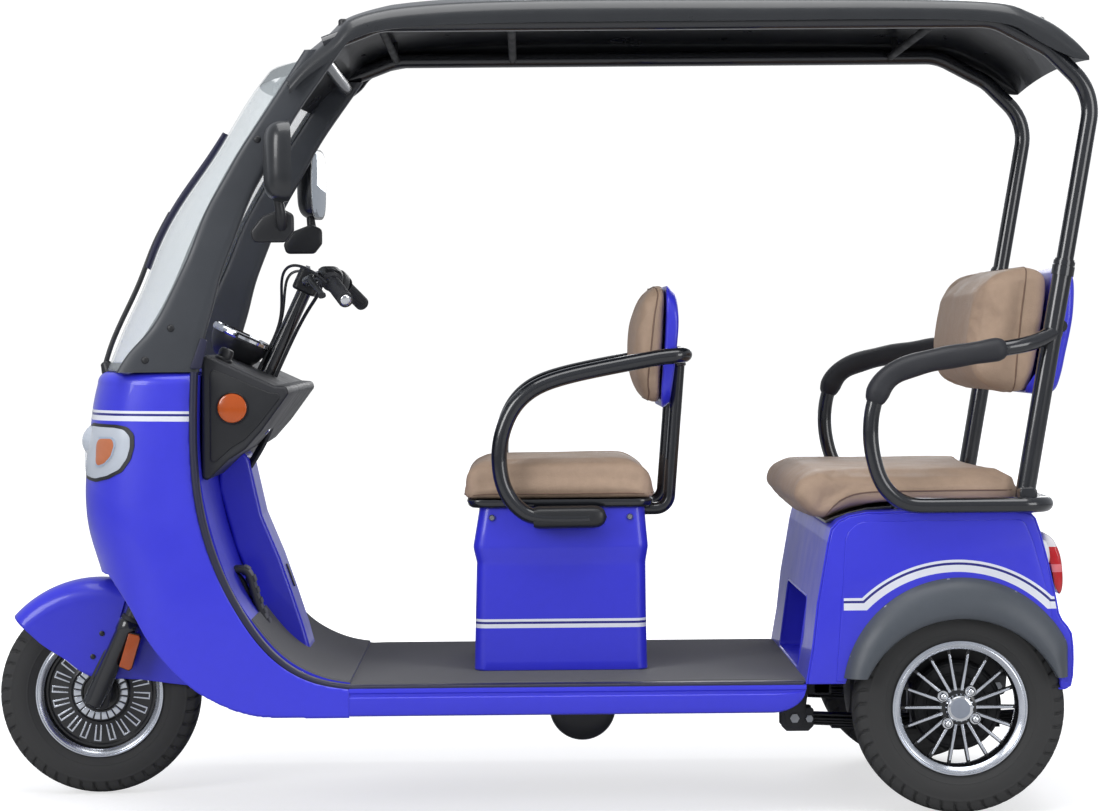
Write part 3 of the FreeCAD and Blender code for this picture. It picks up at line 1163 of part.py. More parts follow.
def make_rear_seat():
    """Make the bench, its back, its arm tubes with pads, and the tail lamps."""
    top = POST_FOOT
    keep("rear_seat_base", box("rear_plate", BODY_X + D.rear_plate_start, -D.rear_plate_half, top,
                               D.rear_plate_length, D.rear_plate_half * 2, D.rear_plate_thick))
    seat_z = top + D.rear_plate_thick + D.fabric_gap - D.rear_cushion_thick * PLACE_SHARES["cushion_sink"]
    seat_x = BODY_X - D.rear_nose
    outline = rounded(side_points(REAR_CUSHION_SHARES, seat_x, seat_z, D.rear_cushion_length,
                                  D.rear_cushion_thick), D.dash_round / 2)
    keep("rear_seat_cushion", padded("rear_pad", "XZ_Plane", outline, D.rear_cushion_half * 2,
                                     middle=True))
    lean = math.radians(float(D.post_lean_angle))
    posts = []
    for side, name in ((-1, "left"), (1, "right")):
        y = side * D.post_place
        foot = at(POST_X, y, top)
        head = at(POST_X + (D.sleeve_top - top) * math.tan(lean), y, D.sleeve_top)
        posts.append(tube(f"post_{name}", [foot, head], D.post_radius, 0))
        arm_y = side * D.rear_arm_place
        ring_z = top + D.ring_rise
        rise = D.rear_arm_rise
        front = REAR_X - D.rear_arm_front
        arm_top = ring_z + rise
        hook_z = arm_top + D.rear_arm_hook
        hook_x = POST_X + (hook_z - top) * math.tan(lean)
        route = [at(hook_x, y, hook_z), rear_arm_run(side)[1]]
        route += [at(front + rise * a, arm_y, ring_z + rise * b) for a, b in REAR_ARM_TOP_SHARES]
        route += [at(RING_X, arm_y, ring_z), at(RING_X, 0, ring_z)]
        posts.append(tube(f"rear_arm_{name}", route, D.arm_radius, D.arm_bend))
        stub_z = top + D.stub_rise
        stub_x = POST_X + D.stub_rise * math.tan(lean) + D.arm_radius
        start = D.rear_back_half if side > 0 else -D.post_place
        posts.append(rod_along_y(f"back_stub_{name}", stub_x, start, stub_z, D.post_rod,
                                 D.post_place - D.rear_back_half))
    frame = fuse("rear_frame_body", posts)
    keep("rear_seat_frame", cut("rear_frame_cut", frame, NODES["rear_body"]))
    pads = []
    for side, name in ((-1, "left"), (1, "right")):
        first, last = rear_arm_run(side)
        start = first + (last - first) * PLACE_SHARES["pad_start"]
        end = first + (last - first) * PLACE_SHARES["pad_end"]
        pads.append(tube(f"arm_pad_{name}", [start, end], D.pad_radius, 0))
    keep("arm_pads", cut("pads_bored", together("pads", pads), rear_arm_room()))
    back_foot = top + D.back_foot
    back_x = POST_X + (back_foot - top) * math.tan(lean) - D.rear_back_ahead
    for name, shares in (("rear_back_cushion", REAR_BACK_SHARES),
                         ("rear_back_shell", REAR_SHELL_SHARES)):
        outline = rounded(side_points(shares, back_x, back_foot, D.rear_back_thick,
                                      D.rear_back_height), D.dash_round)
        keep(name, padded(f"{name}_body", "XZ_Plane", outline, D.rear_back_half * 2, middle=True))


def rear_arm_run(side):
    """Give the two ends of a rear arm's straight upper run."""
    rise = D.rear_arm_rise
    ring_z = POST_FOOT + D.ring_rise
    arm_y = side * D.rear_arm_place
    back_share, high_share = REAR_ARM_TOP_SHARES[0]
    end_share, top_share = REAR_ARM_END_SHARES
    first = at(REAR_X - D.rear_arm_front + rise * back_share, arm_y, ring_z + rise * high_share)
    last = at(REAR_X + D.rear_arm_front * end_share, arm_y, ring_z + rise * top_share)
    return first, last


def rear_arm_room():
    """Repeat the arm tubes as the space that their pads leave free."""
    pieces = []
    for side, name in ((-1, "left"), (1, "right")):
        first, last = rear_arm_run(side)
        pieces.append(tube(f"arm_room_{name}", [first, last], D.arm_radius, 0))
    return together("arm_rooms", pieces)


def make_tail_lamps():
    """Make the two rear lamps on the body's rear corners."""
    points = side_points(REAR_BODY_SHARES, BODY_X, BODY_Z, D.rear_body_length, D.rear_body_height)
    high = points[4]
    low = points[5]
    start = high + (low - high) * PLACE_SHARES["lamp_start"]
    end = high + (low - high) * PLACE_SHARES["lamp_end"]
    out = float(D.tail_lamp_thick)
    gap = float(D.fabric_gap)
    outline = rounded([at(start.x + gap, start.y, 0), at(start.x + out, start.y - out / 2, 0),
                       at(end.x + out, end.y, 0), at(end.x + gap, end.y, 0)], 0)
    outer = D.tail_lamp_half
    keep("tail_lamps", together("lamp_pair", sided("tail_lamp", outline,
                                                  outer - D.tail_lamp_width, outer)))


def make_running_gear():
    """Make the driven axle, its leaf springs, their brackets and the drum under the floor."""
    half = D.rear_track / 2
    inner = half - D.hub_width / 2 - D.axle_gap
    outer = half + D.hub_width / 2 + D.axle_gap
    pieces = [rod_along_y("axle_tube", REAR_X, -inner, AXLE_Z, D.axle_tube_radius, inner * 2),
              rod_along_y("stubs", REAR_X, -outer, AXLE_Z, D.stub_radius, outer * 2),
              rod_along_y("gear_case", REAR_X, -D.gear_case_length / 2, AXLE_Z,
                          D.gear_case_radius, D.gear_case_length),
              rod("motor", REAR_X - D.gear_case_radius - D.motor_length + D.cut_over, 0, AXLE_Z,
                  D.motor_radius, D.motor_length, (0, 1, 0), 90)]
    keep("rear_axle", fuse("axle_body", pieces))
    springs = []
    brackets = []
    seat = AXLE_Z - D.axle_tube_radius
    eye_x = DECK_END - D.spring_lead
    rear_x = REAR_X + D.spring_tail
    for side, name in ((-1, "left"), (1, "right")):
        y = side * D.leaf_place
        low = y - D.leaf_width / 2
        leaves = []
        for index in range(int(D.leaf_count.value)):
            trim = D.leaf_step * index
            z = seat - D.leaf_thick * (index + 1)
            leaves.append(box(f"leaf_{name}_{index}", eye_x + trim, low, z,
                              rear_x - eye_x - trim * 2, D.leaf_width, D.leaf_thick))
        eye_z = seat - D.leaf_thick / 2
        for spot, x in (("front", eye_x), ("back", rear_x)):
            leaves.append(rod_along_y(f"eye_{name}_{spot}", x, low, eye_z, D.spring_eye,
                                      D.leaf_width))
        springs.append(fuse(f"spring_{name}", leaves))
        for spot, x, roof in (("front", eye_x, DECK_Z - D.skin - D.rail_height),
                              ("back", rear_x, AXLE_Z + D.gear_case_radius + D.cubby_gap)):
            brackets.append(box(f"cap_{name}_{spot}", x - D.spring_eye * 1.5,
                                low - D.bracket_wall - D.fabric_gap, roof - D.bracket_wall,
                                D.spring_eye * 3,
                                D.leaf_width + (D.bracket_wall + D.fabric_gap) * 2,
                                D.bracket_wall))
            for edge, gap_y in (("in", low - D.bracket_wall - D.fabric_gap),
                                ("out", low + D.leaf_width + D.fabric_gap)):
                foot = eye_z - D.spring_eye - D.bracket_wall
                brackets.append(box(f"plate_{name}_{spot}_{edge}", x - D.spring_eye * 1.5, gap_y,
                                    foot, D.spring_eye * 3, D.bracket_wall, roof - foot))
    keep("leaf_springs", together("springs", springs))
    keep("chassis_frame", fuse("frame_with_brackets", [DOC.getObject("frame_bored")] + brackets))
    drum_x = FRONT_X + D.drum_back
    keep("underfloor_drum", rod_along_y("drum", drum_x, -D.drum_tank_length / 2,
                                        D.ground_gap - D.drum_sink, D.drum_tank_radius,
                                        D.drum_tank_length))


def check_and_export():
    """Stop on any failed object, then write each node's solid."""
    DOC.recompute()
    faults = [item.Name for item in DOC.Objects if {"Invalid", "Error"} & set(item.State)]
    for name, item in NODES.items():
        if item.Shape.isNull() or not item.Shape.isValid() or not item.Shape.Solids:
            faults.append(name)
    if faults:
        raise RuntimeError(f"failed: {faults}")
    os.makedirs("parts", exist_ok=True)
    for name, item in NODES.items():
        item.Shape.exportStep(f"parts/{name}.step")
        print(name, len(item.Shape.Solids), round(item.Shape.Volume / 1000), item.Shape.BoundBox)


make_wheels()
make_fork()
make_handlebar()
make_mudguard()
make_frame()
make_floor()
make_cowl()
make_roof()
make_roof_frame()
make_windscreen()
make_mirrors()
make_pedal()
make_mid_seat()
make_rear_body()
make_rear_seat()
make_tail_lamps()
make_running_gear()
check_and_export()
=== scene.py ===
"""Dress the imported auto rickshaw: surfaces, soft goods, finishes, light and camera."""

import logging
import math
from dataclasses import dataclass, field
from enum import Enum
from typing import Callable, Sequence

import bmesh
import bpy
import numpy as np
from mathutils import Matrix, Vector
from mathutils.bvhtree import BVHTree


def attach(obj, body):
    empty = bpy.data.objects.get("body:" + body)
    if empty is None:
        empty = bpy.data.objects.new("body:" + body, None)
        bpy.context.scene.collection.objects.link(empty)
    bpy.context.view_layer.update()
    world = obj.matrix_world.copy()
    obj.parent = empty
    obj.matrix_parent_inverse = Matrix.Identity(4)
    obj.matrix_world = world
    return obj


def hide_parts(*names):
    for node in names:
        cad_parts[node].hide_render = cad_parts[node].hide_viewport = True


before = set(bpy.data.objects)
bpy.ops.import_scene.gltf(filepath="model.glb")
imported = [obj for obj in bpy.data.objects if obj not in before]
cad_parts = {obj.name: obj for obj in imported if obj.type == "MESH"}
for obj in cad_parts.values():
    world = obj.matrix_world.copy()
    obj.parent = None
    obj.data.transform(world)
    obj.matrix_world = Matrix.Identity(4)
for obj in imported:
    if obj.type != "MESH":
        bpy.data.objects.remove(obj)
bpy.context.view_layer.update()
LOG = logging.getLogger("rickshaw")
Array = np.ndarray
Piece = bpy.types.Object
MM = 0.001
ACROSS = np.array([0, 1.0, 0])
UPWARD = np.array([0, 0, 1.0])


class Body(Enum):
    """The rigid bodies of the frame that a piece can ride on."""

    CHASSIS = "chassis"
    STEERING = "steering"
    FRONT_WHEEL = "front_wheel"
    REAR_LEFT = "rear_wheel_left"
    REAR_RIGHT = "rear_wheel_right"


def mm(values: Sequence) -> Array:
    """Give millimetres as metres."""
    return np.asarray(values, float) * MM


def xz(points: Sequence, y: float) -> Array:
    """Set side-view points in millimetres at one width.

    Args:
        points: (x, z) pairs in millimetres.
        y: the width in millimetres.

    Returns:
        Points in metres, shape (n, 3).
    """
    flat = mm(points)
    return np.column_stack([flat[:, 0], np.full(len(flat), y * MM), flat[:, 1]])


def unit(vectors: Array) -> Array:
    """Scale each vector to length one."""
    length = np.linalg.norm(vectors, axis=-1, keepdims=True)
    return vectors / np.maximum(length, 1e-12)


def smooth_curve(points: Array, count: int) -> Array:
    """Sample the natural cubic curve through points, with chord length as its parameter.

    Second derivatives solve the usual three-term equations; each span is the cubic that has them.

    Args:
        points: knots, shape (n, d).
        count: how many samples to give, evenly spaced in chord length.

    Returns:
        Samples, shape (count, d).
    """
    pts = np.asarray(points, float)
    t = np.r_[0.0, np.cumsum(np.linalg.norm(np.diff(pts, axis=0), axis=1))]
    h = np.diff(t)
    slope = np.diff(pts, axis=0) / h[:, None]
    n = len(pts)
    rows = np.arange(1, n - 1)
    system = np.eye(n)
    system[rows, rows - 1] = h[:-1]
    system[rows, rows] = 2 * (h[:-1] + h[1:])
    system[rows, rows + 1] = h[1:]
    right = np.zeros_like(pts)
    right[1:-1] = 6 * np.diff(slope, axis=0)
    second = np.linalg.solve(system, right)
    s = np.linspace(0, t[-1], count)
    i = np.clip(np.searchsorted(t, s, side="right") - 1, 0, n - 2)
    u = (s - t[i])[:, None]
    v = (t[i + 1] - s)[:, None]
    w = h[i][:, None]
    return (second[i] * v**3 + second[i + 1] * u**3) / (6 * w) \
        + (pts[i] / w - second[i] * w / 6) * v + (pts[i + 1] / w - second[i + 1] * w / 6) * u


def rounded_path(points: Array, bend: float | Sequence[float], closed: bool = False,
                 steps: int = 8) -> Array:
    """Join points by straight runs, with a tangent arc at each corner.

    Args:
        points: corner points in metres, shape (n, d).
        bend: arc radius, one for all corners or one each.
        closed: whether the last point joins the first.
        steps: samples on each arc.

    Returns:
        The path's points.
    """
    pts = np.asarray(points, float)
    n = len(pts)
    bends = np.broadcast_to(np.asarray(bend, float), (n,))
    out: list[Array] = []
    for k in range(n):
        if not closed and k in (0, n - 1) or bends[k] <= 0:
            out.append(pts[k:k + 1])
            continue
        back, ahead = pts[k - 1] - pts[k], pts[(k + 1) % n] - pts[k]
        lb, la = np.linalg.norm(back), np.linalg.norm(ahead)
        back, ahead = back / lb, ahead / la
        turn = math.pi - math.acos(float(np.clip(back @ ahead, -1, 1)))
        if turn < 0.02:
            out.append(pts[k:k + 1])
            continue
        leg = min(bends[k] * math.tan(turn / 2), 0.48 * min(lb, la))
        radius = leg / math.tan(turn / 2)
        inward = unit(back + ahead)
        centre = pts[k] + inward * (radius / math.cos(turn / 2))
        start, across = unit(pts[k] + back * leg - centre), unit(-back)
        angle = np.linspace(0, turn, steps)[:, None]
        out.append(centre + radius * (start * np.cos(angle) + across * np.sin(angle)))
    return np.vstack(out)


def resampled(path: Array, count: int) -> Array:
    """Sample a polyline at even steps of its length.

    Args:
        path: points, shape (n, d).
        count: how many samples to give.

    Returns:
        Samples, shape (count, d).
    """
    t = np.r_[0.0, np.cumsum(np.linalg.norm(np.diff(path, axis=0), axis=1))]
    s = np.linspace(0, t[-1], count)
    return np.column_stack([np.interp(s, t, path[:, k]) for k in range(path.shape[1])])


def circle(sides: int) -> Array:
    """Give a unit circle's points, shape (sides, 2)."""
    a = np.linspace(0, 2 * math.pi, sides, endpoint=False)
    return np.column_stack([np.cos(a), np.sin(a)])


def rounded_rect(width: float, height: float, radius: float, steps: int = 5) -> Array:
    """Give a rounded rectangle's outline about its middle, anticlockwise."""
    w, h = width / 2, height / 2
    return rounded_path(np.array([(-w, -h), (w, -h), (w, h), (-w, h)]), radius, True, steps)


def superellipse(a: float, b: float, power: float, count: int) -> Array:
    """Give |x/a|^p + |y/b|^p = 1 as a closed outline.

    Args:
        a: half the width.
        b: half the height.
        power: the exponent p.
        count: how many points to give.

    Returns:
        Points, shape (count, 2).
    """
    t = np.linspace(0, 2 * math.pi, count, endpoint=False)
    c, s = np.cos(t), np.sin(t)
    return np.column_stack([a * np.sign(c) * np.abs(c) ** (2 / power),
                            b * np.sign(s) * np.abs(s) ** (2 / power)])


def frames_along(path: Array, up: Array | None = None) -> tuple[Array, Array]:
    """Give two cross directions at each point of a path.

    With up they come from it by cross products; without, the first pair is carried along
    the path by the least turn from each tangent to the next.

    Args:
        path: points, shape (n, 3).
        up: a fixed direction, or None.

    Returns:
        The side and the top directions, each of shape (n, 3).
    """
    tangent = unit(np.gradient(path, axis=0))
    if up is not None:
        side = unit(np.cross(tangent, up))
        return side, unit(np.cross(side, tangent))
    seed = UPWARD if abs(tangent[0][2]) < 0.9 else np.array([1.0, 0, 0])
    side = np.empty_like(path)
    side[0] = unit(np.cross(tangent[0], seed))
    for k in range(1, len(path)):
        here = side[k - 1] - tangent[k] * (side[k - 1] @ tangent[k])
        side[k] = unit(here)
    return side, unit(np.cross(side, tangent))


def coordinates(data: bpy.types.Mesh) -> Array:
    """Read a mesh's points.

    Args:
        data: the mesh.

    Returns:
        Points in metres, shape (n, 3).
    """
    co = np.empty(len(data.vertices) * 3, np.float32)
    data.vertices.foreach_get("co", co)
    return co.reshape(-1, 3).astype(float)


def faces_away(data: bpy.types.Mesh, centre: Sequence) -> bool:
    """Tell whether a mesh's faces look away from a centre, taken together.

    Args:
        data: the mesh.
        centre: the place in metres that they should look away from.

    Returns:
        True when the sum of (face centre - centre) . normal is above zero.
    """
    spots, normals = (np.empty(len(data.polygons) * 3) for _ in range(2))
    data.polygons.foreach_get("center", spots)
    data.polygons.foreach_get("normal", normals)
    away = spots.reshape(-1, 3) - np.array(centre)
    return float((away * normals.reshape(-1, 3)).sum()) > 0


@dataclass
class Maker:
    """Turn worked-out points into finished pieces that ride on the frame."""

    made: list[Piece] = field(default_factory=list)

    def fit(self, name: str, parts: Sequence[Piece], finish: "Finish", slot: str,
            replaces: Sequence[str] = (), body: Body = Body.CHASSIS) -> Piece:
        """Join pieces under one name and place the result; the rest is as for place."""
        return self.place(self.joined(name, parts), finish, slot, replaces, body)

    def place(self, piece: Piece, finish: "Finish", slot: str, replaces: Sequence[str] = (),
              body: Body = Body.CHASSIS) -> Piece:
        """Give a piece its finish and body, and hide the CAD nodes that it replaces.

        Args:
            piece: the object, already at its place.
            finish: the material to wear.
            slot: not used.
            replaces: CAD nodes that the piece stands for.
            body: the rigid body it moves with.

        Returns:
            The same piece.
        """
        piece.data.materials.append(finish.material())
        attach(piece, body.value)
        if replaces:
            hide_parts(*replaces)
        self.made.append(piece)
        LOG.info("%s rides on %s", piece.name, body.value)
        return piece

    def mesh(self, name: str, points: Array, faces: Sequence[Sequence[int]], sharp: float = 40,
             recalc: bool = False) -> Piece:
        """Make a mesh object from points and faces, smooth but for edges over an angle.

        Args:
            name: the piece's name.
            points: vertices in metres, shape (n, 3).
            faces: vertex numbers of each face.
            sharp: the angle in degrees past which an edge stays sharp.
            recalc: whether to turn all faces outward.

        Returns:
            The new object.
        """
        data = bpy.data.meshes.new(name)
        data.from_pydata(np.asarray(points, float).tolist(), [], [list(map(int, f)) for f in faces])
        if recalc:
            work = bmesh.new()
            work.from_mesh(data)
            bmesh.ops.remove_doubles(work, verts=work.verts, dist=1e-6)
            bmesh.ops.recalc_face_normals(work, faces=work.faces)
            work.to_mesh(data)
            work.free()
        data.validate()
        data.shade_smooth()
        data.set_sharp_from_angle(angle=math.radians(sharp))
        piece = bpy.data.objects.new(name, data)
        bpy.context.scene.collection.objects.link(piece)
        return piece

    def grid(self, name: str, points: Array, close_u: bool = False, close_v: bool = False,
             cap_u: bool = False, flip: bool = False, keep: Array | None = None,
             sharp: float = 40, recalc: bool = False) -> Piece:
        """Make a surface from a grid of points P[u, v].

        Args:
            name: the piece's name.
            points: shape (nu, nv, 3).
            close_u: join the last row to the first.
            close_v: join the last column to the first.
            cap_u: close the first and last rows with one face each.
            flip: turn the faces over.
            keep: mask of the quads to keep, shape (nu, nv) or one less where open.
            sharp: the sharp edge angle in degrees.
            recalc: whether to turn all faces outward.

        Returns:
            The new object.
        """
        nu, nv = points.shape[:2]
        iu, iv = np.arange(nu if close_u else nu - 1), np.arange(nv if close_v else nv - 1)
        a, b = np.meshgrid(iu, iv, indexing="ij")
        a2, b2 = (a + 1) % nu, (b + 1) % nv
        quads = np.stack([a * nv + b, a2 * nv + b, a2 * nv + b2, a * nv + b2], -1)
        quads = quads[keep] if keep is not None else quads.reshape(-1, 4)
        if flip:
            quads = quads[:, ::-1]
        faces = quads.tolist()
        if cap_u:
            ends = [list(range(nv)), list(range((nu - 1) * nv, nu * nv))[::-1]]
            faces += [e[::-1] for e in ends] if flip else ends
        return self.mesh(name, points.reshape(-1, 3), faces, sharp, recalc)

    def sweep(self, name: str, path: Array, profile: Array, up: Array | None = None,
              scale: Array | None = None, closed: bool = False, sharp: float = 40) -> Piece:
        """Carry a closed profile along a path: point = path + side * p0 + top * p1.

        Args:
            name: the piece's name.
            path: points in metres, shape (n, 3).
            profile: outline in metres, shape (m, 2).
            up: fixed direction of the profile's second axis, or None.
            scale: factor of the profile at each path point, shape (n,) or (n, 2).
            closed: whether the path is a loop.
            sharp: the sharp edge angle in degrees.

        Returns:
            The new object.
        """
        side, top = frames_along(path, up)
        if closed:
            ring = np.vstack([path[-1:], path, path[:1]])
            side, top = (part[1:-1] for part in frames_along(ring, up))
        grow = np.ones((len(path), 2)) if scale is None else np.asarray(scale, float)
        grow = grow[:, None].repeat(2, 1) if grow.ndim == 1 else grow
        shape = profile[None] * grow[:, None]
        points = path[:, None] + side[:, None] * shape[..., :1] + top[:, None] * shape[..., 1:]
        return self.grid(name, points, close_u=closed, close_v=True, cap_u=not closed,
                         sharp=sharp, recalc=True)

    def strip(self, name: str, line: Array, y: float, profile: Array,
              scale: Array | None = None, sharp: float = 50) -> Piece:
        """Carry a closed profile along a side-view line: its first axis is Y, its second is square
        to the line.

        Args:
            name: the piece's name.
            line: (x, z) in millimetres, shape (n, 2).
            y: the width in millimetres.
            profile: closed outline in metres, shape (m, 2).
            scale: factor of the profile's second axis at each point.
            sharp: the sharp edge angle in degrees.

        Returns:
            The new object.
        """
        slope = unit(np.gradient(line, axis=0))
        across = np.column_stack([-slope[:, 1], 0 * slope[:, 0], slope[:, 0]])
        grow = np.ones(len(line)) if scale is None else scale
        points = xz(line, y)[:, None] + ACROSS * profile[None, :, :1] \
            + across[:, None] * profile[None, :, 1:] * grow[:, None, None]
        return self.grid(name, points, close_v=True, cap_u=True, sharp=sharp, recalc=True)

    def tube(self, name: str, route: Array, radius: float, bend: float = 0, sides: int = 24,
             steps: int = 10) -> Piece:
        """Bend a round tube along a route of points in metres; radius and bend in metres."""
        path = rounded_path(route, bend, steps=steps) if bend else np.asarray(route, float)
        return self.sweep(name, path, circle(sides) * radius, sharp=60)

    def lathe(self, name: str, profile: Sequence, centre: Sequence, sides: int = 96,
              outward: int = 1, axis: str = "y", closed: bool = True, sharp: float = 30) -> Piece:
        """Turn a profile of (radius, offset) millimetres about an axis through a centre.

        Point = centre + radius * (cos a, sin a) across the axis + offset along it.

        Args:
            name: the piece's name.
            profile: (radius, offset) pairs, closed unless told otherwise.
            centre: the centre in metres.
            sides: how many steps round.
            outward: which way the offset runs along the axis, 1 or -1.
            axis: "x", "y" or "z".
            closed: whether the profile is a loop.
            sharp: the sharp edge angle in degrees.

        Returns:
            The new object.
        """
        line = mm(profile)
        a = np.linspace(0, 2 * math.pi, sides, endpoint=False)[:, None]
        r, w = line[None, :, 0], line[None, :, 1] * outward + 0 * a
        one, two = r * np.cos(a), r * np.sin(a)
        order = {"y": (one, w, two), "x": (w, one, two), "z": (one, two, w)}[axis]
        points = np.stack(order, -1) + np.asarray(centre, float)
        return self.grid(name, points, close_u=True, close_v=closed, sharp=sharp, recalc=True)

    def prism(self, name: str, outline: Array, low: float, high: float, bevel: float = 0,
              axis: str = "y", segments: int = 3, sharp: float = 30) -> Piece:
        """Give an outline thickness along an axis, with rounded edges.

        Args:
            name: the piece's name.
            outline: closed outline in metres in the plane across the axis, shape (n, 2).
            low: one end along the axis, in metres.
            high: the other end.
            bevel: the radius of its edges in metres.
            axis: "x", "y" or "z".
            segments: steps of the rounded edge.
            sharp: the sharp edge angle in degrees.

        Returns:
            The new object.
        """
        n = len(outline)
        layers = []
        for level in sorted((low, high)):
            across = np.full(n, level)
            one, two = outline[:, 0], outline[:, 1]
            layers.append(np.column_stack({"y": (one, across, two), "x": (across, one, two),
                                           "z": (one, two, across)}[axis]))
        ring = np.arange(n)
        after = (ring + 1) % n
        sides = np.column_stack([ring, after, after + n, ring + n]).tolist()
        piece = self.mesh(name, np.vstack(layers), sides + [ring[::-1].tolist(),
                          (ring + n).tolist()], sharp, recalc=True)
        if bevel:
            self.bevel(piece, bevel, segments)
        return piece

    def bevel(self, piece: Piece, width: float, segments: int = 3, angle: float = 35) -> Piece:
        """Round a piece's sharp edges.

        Args:
            piece: the piece to round.
            width: the radius in metres.
            segments: steps of each rounded edge.
            angle: the angle in degrees past which an edge is rounded.

        Returns:
            The same piece.
        """
        rounding = piece.modifiers.new("edges", "BEVEL")
        rounding.width, rounding.segments = width, segments
        rounding.limit_method, rounding.angle_limit = "ANGLE", math.radians(angle)
        rounding.harden_normals = True
        piece.data.shade_smooth()
        return piece

    def thicken(self, piece: Piece, wall: float, outside: float = -1) -> Piece:
        """Give a sheet its wall; outside is 1 to grow outward and -1 inward.

        Args:
            piece: the sheet.
            wall: its thickness in metres.
            outside: 1 to grow outward and -1 inward.

        Returns:
            The same piece.
        """
        shell = piece.modifiers.new("wall", "SOLIDIFY")
        shell.thickness, shell.offset = wall, outside
        shell.use_even_offset = True
        return piece

    def subdivide(self, piece: Piece, levels: int = 1) -> Piece:
        """Smooth a piece by subdivision.

        Args:
            piece: the piece to smooth.
            levels: how often faces are split.

        Returns:
            The same piece.
        """
        smooth = piece.modifiers.new("smooth", "SUBSURF")
        smooth.levels = smooth.render_levels = levels
        return piece

    def joined(self, name: str, parts: Sequence[Piece]) -> Piece:
        """Make one mesh of several pieces, with their modifiers applied.

        Args:
            name: the new piece's name.
            parts: the pieces, which are removed.

        Returns:
            The new object.
        """
        points, faces, count = [], [], 0
        graph = bpy.context.evaluated_depsgraph_get()
        for part in parts:
            data = part.evaluated_get(graph).to_mesh()
            points.append(coordinates(data))
            faces += [[i + count for i in face.vertices] for face in data.polygons]
            count += len(data.vertices)
        for part in parts:
            bpy.data.objects.remove(part)
        return self.mesh(name, np.vstack(points), faces, 35)

    def copies(self, name: str, part: Piece, moves: Sequence[Matrix]) -> Piece:
        """Repeat one small piece by several moves and join the copies.

        Args:
            name: the new piece's name.
            part: the piece to repeat, which is removed.
            moves: one 4 by 4 matrix for each copy.

        Returns:
            The new object.
        """
        graph = bpy.context.evaluated_depsgraph_get()
        graph.update()
        data = part.evaluated_get(graph).to_mesh()
        base = np.column_stack([coordinates(data), np.ones(len(data.vertices))])
        turned = [(base @ np.array(m).T)[:, :3] for m in moves]
        faces = [[i + k * len(base) for i in face.vertices]
                 for k in range(len(moves)) for face in data.polygons]
        bpy.data.objects.remove(part)
        return self.mesh(name, np.vstack(turned), faces, 35)


MAKE = Maker()


def linear(red: float, green: float, blue: float) -> tuple[float, float, float, float]:
    """Give the linear colour of an sRGB one stated from 0 to 255.

    Args:
        red: from 0 to 255.
        green: from 0 to 255.
        blue: from 0 to 255.

    Returns:
        Red, green, blue and alpha from 0 to 1.
    """
    values = np.array([red, green, blue]) / 255
    low, high = values / 12.92, ((values + 0.055) / 1.055) ** 2.4
    out = np.where(values <= 0.04045, low, high)
    return (float(out[0]), float(out[1]), float(out[2]), 1.0)


class Grain(Enum):
    """The kinds of fine surface that a finish can have."""

    MOULDED = "fine moulded stipple"
    LACQUER = "smooth lacquer with faint orange peel"
    LEATHER = "pebbled hide with creases"
    RUBBER = "dull rubber with dust"
    BRUSHED = "turned metal"
    CAST = "rough casting"


